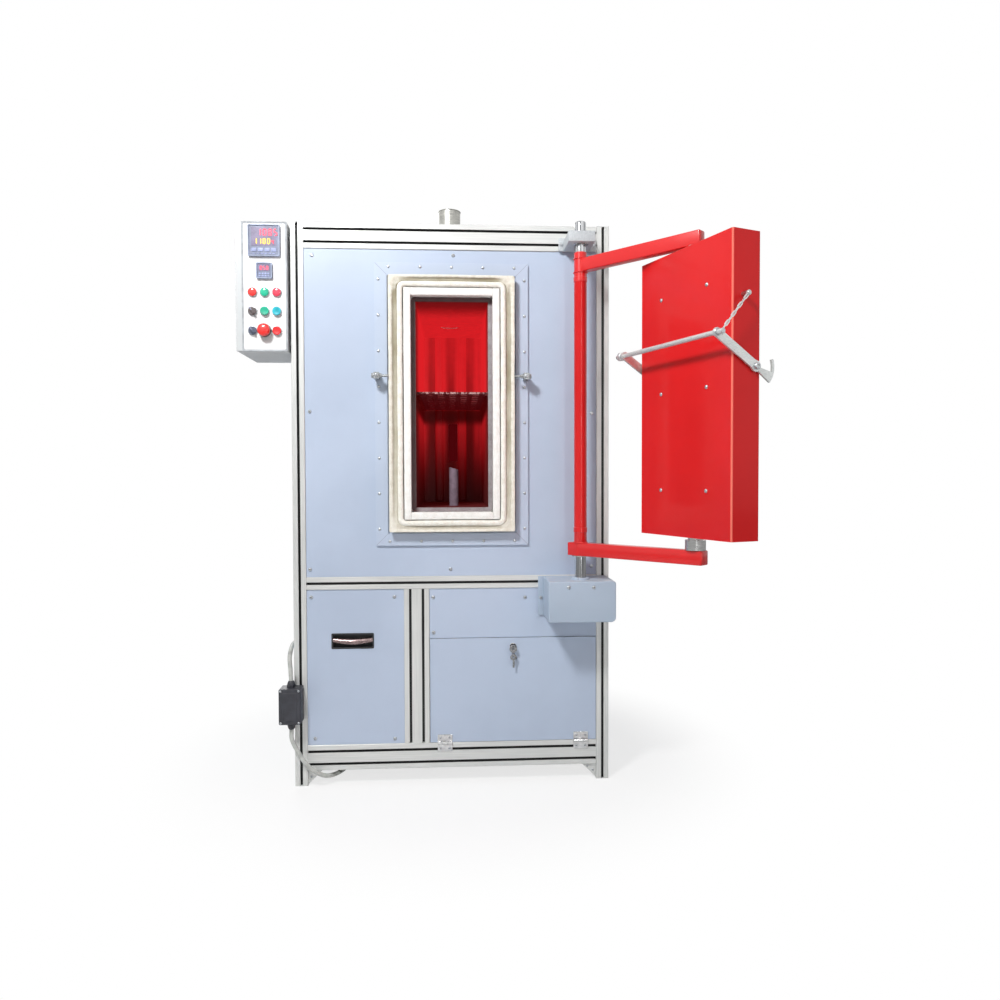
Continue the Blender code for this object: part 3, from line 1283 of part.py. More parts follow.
def chain():
    eye_outer = CHAIN_SCREW_RADIUS + 2 * CHAIN_WIRE
    eye = turned([(CHAIN_SCREW_RADIUS, -CHAIN_WIRE), (CHAIN_SCREW_RADIUS, CHAIN_WIRE),
                  (eye_outer, CHAIN_WIRE),
                  (eye_outer, -CHAIN_WIRE)], along_x, segments=SMALL_SEGMENTS)
    hook_inner = BAIL_ROD_RADIUS + HOOK_CLEARANCE
    hook_outer = hook_inner + 2 * CHAIN_WIRE
    start = -eye_outer + CHAIN_WIRE
    end = -CHAIN_LENGTH + hook_outer + CHAIN_STEM
    pitch = (start - end) / CHAIN_LINKS
    lap = CHAIN_WIRE * LAP_SHARE
    parts = []
    for index in range(CHAIN_LINKS):
        top = start - index * pitch + lap
        parts.append(link(top, top - pitch - 2 * lap, index % 2 == 1))
    parts.append(extrude(hook_outline(hook_inner, hook_outer, end), -CHAIN_WIRE * HOOK_SHARE,
                         CHAIN_WIRE * HOOK_SHARE, along_x))
    return combine(eye, parts)


def hook_outline(inner, outer, end):
    """Open hook beside and under the rod, in the chain's own plane, with its stem up to the last link."""
    outline = [(-CHAIN_WIRE, end + 2 * CHAIN_WIRE), (-CHAIN_WIRE, -CHAIN_LENGTH + inner + CHAIN_WIRE)]
    sweep = [HOOK_START + (HOOK_END - HOOK_START) * step / 6 for step in range(7)]
    for degrees in sweep:
        angle = math.radians(degrees)
        outline.append((inner * math.cos(angle), -CHAIN_LENGTH + inner * math.sin(angle)))
    for degrees in reversed(sweep[1:]):
        angle = math.radians(degrees)
        outline.append((outer * math.cos(angle), -CHAIN_LENGTH + outer * math.sin(angle)))
    outline.append((CHAIN_WIRE, -CHAIN_LENGTH + outer + CHAIN_WIRE))
    outline.append((CHAIN_WIRE, end + 2 * CHAIN_WIRE))
    return outline


# Lower flap, lock and key
def build_flap(root):
    inner = CABINET_WIDTH / 2 - PROFILE
    low = FOOT_CLEARANCE + 2 * PROFILE
    axis = empty("flap_axis", root, (0, HINGE_AXIS_Y, low))
    left = DIVIDER_LEFT + 2 * PROFILE + PANEL_SLIT
    right = inner - PANEL_SLIT
    y0 = -HINGE_AXIS_Y
    high = STRIP_BOTTOM - PANEL_SLIT - low
    sheet = block(left, right, y0, y0 + FLAP_THICKNESS, PANEL_SLIT, high)
    fold = block(left, right, y0, y0 + FLAP_FOLD, high - FLAP_THICKNESS, high)
    lock = rod(LOCK_BODY_RADIUS + GAP, y0 - SHEET, y0 + FLAP_FOLD, along_y, LOCK_X, LOCK_Z - low,
               SMALL_SEGMENTS)
    leaves = [moving_leaf(x) for x in HINGE_OFFSETS]
    node("lower_flap", combine(sheet, [fold] + leaves, [lock]), powder(), axis)
    profile = [
        (0, y0 - LOCK_PROUD),
        (LOCK_RADIUS * LOCK_EDGE_SHARE, y0 - LOCK_PROUD),
        (LOCK_RADIUS, y0 - LOCK_PROUD + SHEET / 2),
        (LOCK_RADIUS, y0 - GAP),
        (LOCK_BODY_RADIUS, y0 - GAP),
        (LOCK_BODY_RADIUS, y0 + LOCK_BACK),
        (0, y0 + LOCK_BACK),
    ]
    body = turned(profile, along_y, LOCK_X, LOCK_Z - low, SMALL_SEGMENTS)
    slot = rod(LOCK_SLOT_RADIUS, y0 - 2 * LOCK_PROUD, y0 - LOCK_PROUD + LOCK_SLOT_DEPTH, along_y,
               LOCK_X, LOCK_Z - low, SMALL_SEGMENTS)
    node("lock_barrel", combine(body, cut=[slot]), chrome(), axis)
    turn = empty("key_axis", axis, (LOCK_X, y0 - LOCK_PROUD, LOCK_Z - low))
    node("key", key(), steel(), turn)
    return axis


def leaf_plate(x, z0, z1):
    half = HINGE_WIDTH / 2
    back = -HINGE_AXIS_Y
    return block(x - half, x + half, back - HINGE_PLATE, back + HINGE_PLATE / 4, z0, z1)


def moving_leaf(x):
    """Flap leaf: plate and two outer knuckles, bored for the pin."""
    half = HINGE_WIDTH / 2
    start = HINGE_BARREL * LEAF_START_SHARE
    plate = leaf_plate(x, start, HINGE_LEAF)
    centre = block(x - HINGE_KNUCKLE / 2 - HINGE_END_GAP, x + HINGE_KNUCKLE / 2 + HINGE_END_GAP,
                   -HINGE_BARREL, 2 * HINGE_BARREL, -HINGE_BARREL, HINGE_BARREL + HINGE_END_GAP)
    knuckles = []
    for a, b in ((x - half, x - HINGE_KNUCKLE / 2 - HINGE_END_GAP),
                 (x + HINGE_KNUCKLE / 2 + HINGE_END_GAP, x + half)):
        knuckles.append(rod(HINGE_BARREL, a, b, along_x, segments=SMALL_SEGMENTS))
    bore = rod(HINGE_PIN + HINGE_PLAY, x - HINGE_WIDTH, x + HINGE_WIDTH, along_x, segments=SMALL_SEGMENTS)
    trimmed = combine(plate, cut=[centre])
    return combine(trimmed, knuckles, [bore])


def fixed_leaf(x):
    """Rail leaf: plate, middle knuckle and the pin that the flap's knuckles turn on."""
    half = HINGE_WIDTH / 2
    plate = leaf_plate(x, -HINGE_LEAF, -HINGE_BARREL * LEAF_START_SHARE)
    cuts = []
    for a, b in ((x - half - SHEET, x - HINGE_KNUCKLE / 2), (x + HINGE_KNUCKLE / 2, x + half + SHEET)):
        cuts.append(block(a, b, -HINGE_BARREL, 2 * HINGE_BARREL, -HINGE_BARREL - HINGE_END_GAP,
                          HINGE_BARREL))
    trimmed = combine(plate, cut=cuts)
    middle = rod(HINGE_BARREL, x - HINGE_KNUCKLE / 2, x + HINGE_KNUCKLE / 2, along_x,
                 segments=SMALL_SEGMENTS)
    pin = rod(HINGE_PIN, x - half, x + half, along_x, segments=SMALL_SEGMENTS)
    return combine(trimmed, [middle, pin])


def key():
    """Key in the lock with a second key hanging from its bow."""
    shank = rod(KEY_SHANK_RADIUS, -KEY_SHANK_OUT, LOCK_SLOT_DEPTH - LOCK_PROUD, along_y,
                segments=TINY_SEGMENTS)
    front = -KEY_SHANK_OUT - KEY_BOW_THICKNESS
    bow = rod(KEY_BOW_RADIUS, front, -KEY_SHANK_OUT + SHEET / 4, along_y, 0, -KEY_BOW_DROP, SMALL_SEGMENTS)
    start = -KEY_BOW_DROP - KEY_BOW_RADIUS + SHEET * 2
    tag = extrude([(-KEY_TAG_WIDTH / 2, start), (KEY_TAG_WIDTH / 2, start),
                   (KEY_TAG_WIDTH / 4, start - KEY_TAG_LENGTH / 2), (KEY_TAG_WIDTH / 4,
                                                                     start - KEY_TAG_LENGTH),
                   (-KEY_TAG_WIDTH / 4, start - KEY_TAG_LENGTH), (-KEY_TAG_WIDTH / 4,
                                                                  start - KEY_TAG_LENGTH / 2)],
                  front + SHEET / 4, -KEY_SHANK_OUT - SHEET / 4, along_y)
    return combine(shank, [bow, tag])


def build_power_unit(root):
    floor = FLOOR_Z + SHEET + GAP
    body = block(POWER_LEFT, POWER_RIGHT, POWER_FRONT, POWER_BACK, floor + POWER_FOOT,
                 floor + POWER_FOOT + POWER_HEIGHT)
    added = []
    for x in (POWER_LEFT + POWER_FOOT, POWER_RIGHT - 2 * POWER_FOOT):
        added.append(block(x, x + POWER_FOOT, POWER_FRONT, POWER_BACK, floor,
                           floor + POWER_FOOT + POWER_RIB))
    for i in range(9):
        x = POWER_LEFT + POWER_FOOT + i * POWER_FOOT * RIB_PITCH_SHARE
        added.append(block(x, x + POWER_RIB / 2, POWER_FRONT - POWER_RIB, POWER_FRONT + POWER_RIB,
                           floor + 2 * POWER_FOOT, floor + POWER_HEIGHT))
    node("power_unit", combine(body, added), zinc(), root)


# Control box
def build_control(root):
    back = BOX_BACK
    body = block(BOX_LEFT, BOX_RIGHT, BOX_FRONT, back, BOX_BOTTOM, BOX_TOP)
    room = block(PLATE_LEFT + BOX_WALL, BOX_RIGHT - BOX_WALL, BOX_FRONT - BOX_WALL, back - BOX_WALL,
                 BOX_BOTTOM + BOX_WALL, BOX_TOP - BOX_WALL)
    spacers = []
    reach = -CABINET_WIDTH / 2 - GAP
    for z in (BOX_BOTTOM + BOX_SPACER_INSET, BOX_TOP - BOX_SPACER_INSET):
        spacers.append(rod(BOX_SPACER_RADIUS, BOX_RIGHT - BOX_WALL / 2, reach, along_x, PROFILE / 2, z,
                           SMALL_SEGMENTS))
    node("control_box", combine(body, spacers, [room]), white_paint(), root)
    node("control_plate", control_plate(), white_paint(), root)
    for name, size, z in (("controller_large", LARGE_SIZE, LARGE_Z),
                          ("controller_small", SMALL_SIZE, SMALL_Z)):
        node(name, controller(size, z), black_plastic(), root)
    columns = [CONTROL_X - OPERATOR_PITCH_X, CONTROL_X, CONTROL_X + OPERATOR_PITCH_X]
    face = BOX_FRONT - GAP - PLATE_THICKNESS
    top, middle, low = OPERATOR_ROWS
    node("lamp_red", lamp(columns[0], top, face), lens("red_lens", (0.6, 0.02, 0.02)), root)
    node("lamp_green", lamp(columns[1], top, face), lens("green_lens", (0.02, 0.4, 0.1)), root)
    node("lamp_pink", lamp(columns[2], top, face), lens("pink_lens", (0.75, 0.15, 0.18)), root)
    knobs = (("selector_upper", columns[0], middle), ("selector_lower", columns[0], low))
    for name, x, z in knobs:
        axis = empty(name + "_axis", root, (x, face, z))
        node(name, knob(), black_plastic(), axis)
    buttons = (
        ("button_green", columns[1], middle, (0.02, 0.42, 0.12)),
        ("button_cyan", columns[2], middle, (0.05, 0.45, 0.55)),
        ("button_red", columns[2], low, (0.6, 0.03, 0.03)),
    )
    for name, x, z, color in buttons:
        axis = empty(name + "_axis", root, (x, face, z))
        node(name, cap(), lens(name + "_plastic", color), axis)
    axis = empty("estop_axis", root, (columns[1], face, low))
    node("estop_head", estop(), lens("estop_red", (0.62, 0.02, 0.03)), axis)


def control_plate():
    """Front plate with the controller cut-outs and a raised bezel round each operator hole."""
    y1 = BOX_FRONT - GAP
    y0 = y1 - PLATE_THICKNESS
    plate = block(PLATE_LEFT, BOX_RIGHT, y0, y1, BOX_BOTTOM, BOX_TOP)
    cuts = []
    for size, z in ((LARGE_SIZE, LARGE_Z), (SMALL_SIZE, SMALL_Z)):
        half = size * CONTROLLER_BODY_SHARE / 2 + GAP
        cuts.append(block(CONTROL_X - half, CONTROL_X + half, y0 - SHEET, y1 + SHEET, z - half, z + half))
    bezels = []
    for z in OPERATOR_ROWS:
        for column in (-1, 0, 1):
            x = CONTROL_X + column * OPERATOR_PITCH_X
            ring = turned([(0, y0 + PLATE_THICKNESS / 2), (BEZEL_RADIUS, y0 + PLATE_THICKNESS / 2),
                           (BEZEL_RADIUS, y0 - BEZEL_PROUD / 2), (BEZEL_RADIUS - BEZEL_PROUD / 2,
                                                                  y0 - BEZEL_PROUD),
                           (0, y0 - BEZEL_PROUD)], along_y, x, z, SMALL_SEGMENTS)
            bezels.append(ring)
            cuts.append(rod(BEZEL_BORE, y0 - 2 * BEZEL_PROUD, y1 + SHEET, along_y, x, z, SMALL_SEGMENTS))
    return combine(plate, bezels, cuts)


def controller(size, z):
    """Panel-mounted controller: bezel with a sunken face, body through the plate."""
    face = BOX_FRONT - GAP - PLATE_THICKNESS
    half = size * CONTROLLER_BODY_SHARE / 2
    front = extrude(rounded(size, size, CONTROLLER_ROUND, CONTROL_X, z, 3), face - CONTROLLER_PROUD,
                    face - GAP, along_y)
    body = block(CONTROL_X - half, CONTROL_X + half, face - CONTROLLER_PROUD / 2,
                 face + CONTROLLER_DEPTH, z - half, z + half)
    edge = size / 2 - CONTROLLER_ROUND
    well = block(CONTROL_X - edge, CONTROL_X + edge, face - 2 * CONTROLLER_PROUD,
                 face - CONTROLLER_PROUD + SCREEN_INSET,
                 z - edge, z + edge)
    return combine(front, [body], [well])


def lamp(x, z, face):
    front = face - LAMP_PROUD
    profile = [
        (0, face + CAP_BACK),
        (CAP_RADIUS, face + CAP_BACK),
        (CAP_RADIUS, front + LAMP_PROUD / 2),
        (CAP_RADIUS * LENS_SHOULDER_SHARE, front + LAMP_PROUD / 6),
        (CAP_RADIUS * LENS_CROWN_SHARE, front),
        (0, front),
    ]
    return turned(profile, along_y, x, z, SMALL_SEGMENTS)


def cap():
    profile = [
        (0, CAP_BACK),
        (CAP_RADIUS, CAP_BACK),
        (CAP_RADIUS, -CAP_PROUD + SHEET / 4),
        (CAP_RADIUS - SHEET / 4, -CAP_PROUD),
        (CAP_RADIUS / 2, -CAP_PROUD + SHEET / 4),
        (0, -CAP_PROUD + SHEET / 2),
    ]
    return turned(profile, along_y, segments=SMALL_SEGMENTS)


def knob():
    base = turned([(0, CAP_BACK), (CAP_RADIUS, CAP_BACK), (CAP_RADIUS, -CAP_PROUD), (0, -CAP_PROUD)],
                  along_y,
                  segments=SMALL_SEGMENTS)
    bar = extrude(rounded(2 * KNOB_BAR, 2 * CAP_RADIUS * KNOB_LENGTH_SHARE, KNOB_BAR * KNOB_ROUND_SHARE,
                          0, 0, 3), -KNOB_PROUD, 0, along_y)
    return combine(base, [bar])


def estop():
    """Mushroom head on a stem; the head stays clear of the bezel by more than its travel."""
    front = -ESTOP_HEAD_FRONT
    back = -ESTOP_HEAD_BACK
    r = ESTOP_HEAD_RADIUS
    profile = [
        (0, CAP_BACK),
        (CAP_RADIUS, CAP_BACK),
        (CAP_RADIUS, back),
        (r * STOP_NECK_SHARE, back),
        (r, back - SHEET),
        (r, front + ESTOP_HEAD_BACK / 2),
        (r * STOP_EDGE_SHARE, front + ESTOP_HEAD_BACK / 5),
        (r * STOP_CROWN_SHARE, front),
        (0, front),
    ]
    return turned(profile, along_y, segments=32)


# Junction box and cables
def build_junction(root):
    mid_x = (JUNCTION_LEFT + JUNCTION_RIGHT) / 2
    mid_z = (JUNCTION_BOTTOM + JUNCTION_TOP) / 2
    body = extrude(rounded(JUNCTION_RIGHT - JUNCTION_LEFT, JUNCTION_TOP - JUNCTION_BOTTOM,
                           JUNCTION_ROUND, mid_x, mid_z, 3),
                   JUNCTION_FRONT, -GAP, along_y)
    glands = [
        rod(GLAND_RADIUS, JUNCTION_BOTTOM - GLAND_HEIGHT, JUNCTION_BOTTOM + SHEET, along_z, CABLE_X,
            CABLE_Y, 6),
        rod(GLAND_RADIUS, JUNCTION_TOP - SHEET, JUNCTION_TOP + GLAND_HEIGHT, along_z, CABLE_X, CABLE_Y, 6),
    ]
    node("junction_box", combine(body, glands), black_plastic(), root)
    lower_start = (CABLE_X, CABLE_Y, JUNCTION_BOTTOM - GLAND_HEIGHT - GAP)
    lower_end = (LOWER_CABLE_END_X, LOWER_CABLE_END_Y, FLOOR_Z - GAP)
    cable("cable_lower", lower_start, (0, 0, -1), LOWER_CABLE_WAY, lower_end, (0, 0, 1), root)
    side_x = -CABINET_WIDTH / 2 + SIDE_RECESS - GAP
    upper_start = (CABLE_X, CABLE_Y, JUNCTION_TOP + GLAND_HEIGHT + GAP)
    upper_end = (side_x, UPPER_CABLE_END_Y, UPPER_CABLE_END_Z)
    cable("cable_upper", upper_start, (0, 0, 1), UPPER_CABLE_WAY, upper_end, (1, 0, 0), root)


def smooth_way(points, step):
    """Even points on a smooth curve through the way points."""
    points = [Vector(p) for p in points]
    fine = []
    padded = [points[0] * 2 - points[1]] + points + [points[-1] * 2 - points[-2]]
    for i in range(1, len(padded) - 2):
        a, b, c, d = padded[i - 1:i + 3]
        for k in range(20):
            t = k / 20
            fine.append(0.5 * ((2 * b) + (c - a) * t + (2 * a - 5 * b + 4 * c - d) * t * t
                               + (3 * b - a - 3 * c + d) * t * t * t))
    fine.append(points[-1])
    total = sum((q - p).length for p, q in zip(fine, fine[1:]))
    count = max(6, round(total / step))
    spaced = [fine[0]]
    walked = 0.0
    for p, q in zip(fine, fine[1:]):
        length = (q - p).length
        while len(spaced) < count and walked + length >= len(spaced) * total / count:
            share = (len(spaced) * total / count - walked) / length
            spaced.append(p.lerp(q, share))
        walked += length
    spaced.append(fine[-1])
    return spaced


def cable(name, start, leaving, between, end, arriving, root):
    """Cable with a straight length at both glands and a smooth curve through the points between."""
    start = Vector(start)
    end = Vector(end)
    first = start + Vector(leaving) * CABLE_STRAIGHT
    last = end - Vector(arriving) * CABLE_STRAIGHT
    between = [(x - CABINET_WIDTH / 2, y, z) for x, y, z in between]
    way = [start] + smooth_way([first] + between + [last], 2 * CABLE_RADIUS * CABLE_STEP_SHARE) + [end]
    curve = bpy.data.curves.new(name, "CURVE")
    curve.dimensions = "3D"
    curve.bevel_depth = CABLE_RADIUS
    curve.bevel_resolution = 3
    curve.use_fill_caps = True
    spline = curve.splines.new("POLY")
    spline.points.add(len(way) - 1)
    for point, place in zip(spline.points, way):
        point.co = (*place, 1.0)
    curve.materials.append(cable_grey())
    item = bpy.data.objects.new(name, curve)
    bpy.context.scene.collection.objects.link(item)
    item.parent = root
    return item


def centre_on_floor(root):
    """Moves the whole oven so that the middle of its box stands on the origin."""
    bpy.context.view_layer.update()
    places = []
    for item in bpy.data.objects:
        if item.type == "MESH":
            places += [item.matrix_world @ v.co for v in item.data.vertices]
    low = [min(p[i] for p in places) for i in range(3)]
    high = [max(p[i] for p in places) for i in range(3)]
    root.location = (-(low[0] + high[0]) / 2, -(low[1] + high[1]) / 2, -low[2])
    bpy.context.view_layer.update()


def build():
    clear_scene()
    root = empty("oven_root")
    build_frame(root)
    build_panels(root)
    build_chamber(root)
    build_keepers(root)
    build_shaft(root)
    carrier = build_carrier(root)
    door = build_door(carrier)
    build_bail(door)
    build_chain(door)
    build_flap(root)
    build_power_unit(root)
    build_control(root)
    build_junction(root)
    centre_on_floor(root)


build()
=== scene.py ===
# %% [markdown]
# # Burnout oven
# A tall oven for burning wax out of casting moulds: an aluminium T-slot frame filled with
# powder-coated sheet, a glowing chamber behind a soft fibre seal, a red door on a double-pivoted
# arm, and a control box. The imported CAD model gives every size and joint, so it is loaded first
# and this file only adds finishes and the small things that sheet metal and wiring carry.

# %% Load the frame
import json
import math

import bmesh
import bpy
from mathutils import Matrix, Vector, noise


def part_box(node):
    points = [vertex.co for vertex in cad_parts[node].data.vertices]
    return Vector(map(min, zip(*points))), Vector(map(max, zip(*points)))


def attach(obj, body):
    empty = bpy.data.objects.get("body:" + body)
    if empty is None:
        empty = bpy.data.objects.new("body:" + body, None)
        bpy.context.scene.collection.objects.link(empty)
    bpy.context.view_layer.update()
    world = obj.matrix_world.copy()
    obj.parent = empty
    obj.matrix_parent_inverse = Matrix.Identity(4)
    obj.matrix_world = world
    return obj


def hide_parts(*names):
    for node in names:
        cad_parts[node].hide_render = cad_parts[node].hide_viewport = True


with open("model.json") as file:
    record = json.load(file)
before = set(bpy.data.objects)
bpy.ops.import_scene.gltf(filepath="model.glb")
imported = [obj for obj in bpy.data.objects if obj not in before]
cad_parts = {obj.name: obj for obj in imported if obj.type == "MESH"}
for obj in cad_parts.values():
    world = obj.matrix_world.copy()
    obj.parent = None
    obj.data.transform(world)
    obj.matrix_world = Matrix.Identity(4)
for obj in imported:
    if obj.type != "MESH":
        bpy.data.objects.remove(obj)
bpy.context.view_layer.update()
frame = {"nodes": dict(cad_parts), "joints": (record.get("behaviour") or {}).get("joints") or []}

scene = bpy.context.scene

# %% [markdown]
# Every place below is given from the middle of the cabinet's front at floor level, because that is
# how the oven was measured: x to the right, y into the oven, z up. The door has its own directions,
# along its width and towards its hot side, and both are read from the joints, so nothing is typed
# twice.

# %% Places on the cabinet and on the door
left_post, right_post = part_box("post_front_left"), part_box("post_front_right")
MIDDLE, FRONT = (left_post[0].x + right_post[1].x) / 2, left_post[0].y
joints = {joint["name"]: joint for joint in frame["joints"]}
door_axis = Vector(joints["door_turn"]["pos_m"]) * Vector((1, 1, 0))
door_wide = Vector(joints["bail_lift"]["axis"]).normalized()
door_deep = Vector((0, 0, 1)).cross(door_wide)


def here(x, y, z):
    return Vector((MIDDLE + x, FRONT + y, z))


def on_door(wide, deep, z):
    return door_axis + door_wide * wide + door_deep * deep + Vector((0, 0, z))


print("front middle", round(MIDDLE, 4), round(FRONT, 4), "door axis", door_axis)

# %% [markdown]
# The camera stands where the photographer stood: 2.45 m in front, just under a metre high and
# turned a little to the right. A rotation matrix is filled with the three directions of the camera
# instead of angles, because the small roll and the turn then can't get mixed up.

# %% Camera
EYE = here(0.0124, -2.4541, 0.9716)
SENSOR_WIDTH, FOCAL_SHARE = 36, 0.773
YAW, PITCH, ROLL = 0.0598, 0.0277, -0.0027
ahead = Vector((math.sin(YAW) * math.cos(PITCH), math.cos(YAW) * math.cos(PITCH), -math.sin(PITCH)))
level = Vector((math.cos(YAW), -math.sin(YAW), 0))
over = level.cross(ahead)
right = level * math.cos(ROLL) + over * math.sin(ROLL)
above = over * math.cos(ROLL) - level * math.sin(ROLL)
camera_data = bpy.data.cameras.new("camera")
camera = bpy.data.objects.new("camera", camera_data)
scene.collection.objects.link(camera)
camera.matrix_world = Matrix.Translation(EYE) @ Matrix((right, above, -ahead)).transposed().to_4x4()
camera_data.sensor_width = SENSOR_WIDTH
camera_data.lens = SENSOR_WIDTH * FOCAL_SHARE
camera_data.shift_x = -0.00267
camera_data.clip_end = 100
scene.camera = camera
print("camera at", [round(v, 3) for v in camera.matrix_world.translation], "lens",
      round(camera_data.lens, 2))

# %% [markdown]
# Nodes are wired with a few small helpers, so that a material reads as a list of what happens to
# the surface. `put` adds a node and fills its sockets, `mixed` blends two values by a mask, `sums`
# is arithmetic, and `ramp` turns a distance or a noise into a soft mask.

# %% Helpers for wiring nodes
def linear(red, green, blue):
    """A colour as seen on screen, 0 to 255, turned into the shader's linear values."""
    return tuple(((c / 255 + 0.055) / 1.055) ** 2.4 if c > 10 else c / 255 / 12.92
                 for c in (red, green, blue)) + (1.0,)


def plug(tree, socket, value):
    if isinstance(value, bpy.types.NodeSocket):
        tree.links.new(value, socket)
    else:
        socket.default_value = value


def put(tree, kind, options=None, **values):
    made = tree.nodes.new("ShaderNode" + kind)
    for key, value in (options or {}).items():
        setattr(made, key, value)
    for key, value in values.items():
        plug(tree, made.inputs[key.replace("_", " ")], value)
    return made


def mixed(tree, share, first, second, kind="RGBA", mode="MIX"):
    made = put(tree, "Mix", {"data_type": kind})
    if kind == "RGBA":
        made.blend_type = mode
    a, b, out = (6, 7, 2) if kind == "RGBA" else (2, 3, 0)
    for index, value in ((0, share), (a, first), (b, second)):
        plug(tree, made.inputs[index], value)
    return made.outputs[out]


def sums(tree, operation, first, second=0.0, clamp=False):
    made = put(tree, "Math", {"operation": operation, "use_clamp": clamp})
    plug(tree, made.inputs[0], first)
    plug(tree, made.inputs[1], second)
    return made.outputs[0]


def ramp(tree, value, start, end, low=0.0, high=1.0):
    made = put(tree, "MapRange", {"interpolation_type": "SMOOTHSTEP"}, Value=value, From_Min=start,
               From_Max=end, To_Min=low, To_Max=high)
    return made.outputs[0]


def spot(tree, stretch=None, move=None):
    """Object coordinates, moved to a place and stretched where a pattern has a direction."""
    where = put(tree, "TexCoord").outputs["Object"]
    if stretch or move:
        mapping = put(tree, "Mapping", Vector=where)
        mapping.inputs["Location"].default_value = move or (0, 0, 0)
        mapping.inputs["Scale"].default_value = stretch or (1, 1, 1)
        where = mapping.outputs[0]
    return where


def cloud(tree, where, scale, detail=3.0, rough=0.55):
    return put(tree, "TexNoise", Vector=where, Scale=scale, Detail=detail, Roughness=rough).outputs[0]


def axes(tree, where):
    return put(tree, "SeparateXYZ", Vector=where).outputs


def raised(tree, height, strength, distance):
    return put(tree, "Bump", Height=height, Strength=strength, Distance=distance).outputs[0]


# %% [markdown]
# Some effects belong to many finishes: rubbed edges, painted shade in hollows, dust on top, and the
# fine skin of sprayed paint. Each is built once as a node group and gives out only masks and heights,
# so that every material can use it at its own strength.

# %% Shared effects
def new_effect(name, takes, gives):
    group = bpy.data.node_groups.new(name, "ShaderNodeTree")
    for label, kind, value in takes:
        socket = group.interface.new_socket(label, in_out="INPUT", socket_type="NodeSocket" + kind)
        if value is not None:
            socket.default_value = value
    for label in gives:
        group.interface.new_socket(label, in_out="OUTPUT", socket_type="NodeSocketFloat")
    return group, group.nodes.new("NodeGroupInput").outputs, group.nodes.new("NodeGroupOutput").inputs


def use(tree, group, **values):
    made = tree.nodes.new("ShaderNodeGroup")
    made.node_tree = group
    for key, value in values.items():
        plug(tree, made.inputs[key.replace("_", " ")], value)
    return made.outputs[0]


def build_rubbed_edge():
    """Mask of the corners that hands and cloths rub: the rounded normal leaves the true one there."""
    group, takes, gives = new_effect("rubbed_edge",
                                     [("Vector", "Vector", None), ("Radius", "Float", 0.002)], ["Mask"])
    soft = put(group, "Bevel", {"samples": 4}, Radius=takes["Radius"]).outputs[0]
    true = put(group, "NewGeometry").outputs["Normal"]
    angle = put(group, "VectorMath", {"operation": "DOT_PRODUCT"})
    plug(group, angle.inputs[0], soft)
    plug(group, angle.inputs[1], true)
    edge = ramp(group, sums(group, "SUBTRACT", 1.0, angle.outputs["Value"]), 0.02, 0.22)
    patchy = ramp(group, cloud(group, takes["Vector"], 22.0, 4.0, 0.7), 0.42, 0.62)
    plug(group, gives["Mask"], sums(group, "MULTIPLY", edge, patchy))
    return group


def build_hollow_shade():
    """Mask of slots and inner corners where little light gets in, used for painted shade."""
    group, takes, gives = new_effect("hollow_shade", [("Reach", "Float", 0.02), ("Depth", "Float", 0.6)],
                                     ["Mask"])
    open_air = put(group, "AmbientOcclusion", {"samples": 8, "only_local": True},
                   Distance=takes["Reach"]).outputs["AO"]
    shut = sums(group, "SUBTRACT", 1.0, open_air)
    plug(group, gives["Mask"], sums(group, "MULTIPLY", ramp(group, shut, 0.35, 0.85), takes["Depth"], True))
    return group


def build_settled_dust():
    group, takes, gives = new_effect("settled_dust", [("Vector", "Vector", None), ("Amount", "Float", 0.5)],
                                     ["Mask"])
    upward = put(group, "SeparateXYZ", Vector=put(group, "NewGeometry").outputs["Normal"]).outputs["Z"]
    flecks = cloud(group, takes["Vector"], 60.0, 5.0, 0.7)
    mask = sums(group, "MULTIPLY", ramp(group, upward, 0.6, 0.98), ramp(group, flecks, 0.35, 0.75))
    plug(group, gives["Mask"], sums(group, "MULTIPLY", mask, takes["Amount"], True))
    return group


def build_sprayed_skin():
    """Height of orange peel: two sizes of soft lumps."""
    group, takes, gives = new_effect("sprayed_skin",
                                     [("Vector", "Vector", None), ("Scale", "Float", 400.0)], ["Height"])
    fine = cloud(group, takes["Vector"], takes["Scale"], 2.0)
    broad = cloud(group, takes["Vector"], sums(group, "MULTIPLY", takes["Scale"], 0.22), 2.0)
    plug(group, gives["Height"], sums(group, "ADD", fine, sums(group, "MULTIPLY", broad, 0.7)))
    return group


rubbed_edge, hollow_shade, settled_dust, sprayed_skin = (
    build_rubbed_edge(), build_hollow_shade(), build_settled_dust(), build_sprayed_skin())
print("effects", sorted(group.name for group in bpy.data.node_groups))


# %% [markdown]
# Every finish starts from the same shader, so one function sets what is even all over the surface:
# how metallic, rough, clear-coated and shiny it is. The patterns are wired in afterwards.

# %% Starting a finish
def new_finish(name, metallic=0.0, roughness=0.5, coat=0.0, specular=0.5):
    look = bpy.data.materials.new(name)
    look.use_nodes = True
    shader = look.node_tree.nodes["Principled BSDF"]
    shader.inputs["Metallic"].default_value = metallic
    shader.inputs["Roughness"].default_value = roughness
    shader.inputs["Coat Weight"].default_value = coat
    shader.inputs["Coat Roughness"].default_value = 0.08
    shader.inputs["Specular IOR Level"].default_value = specular
    return look, look.node_tree, shader.inputs
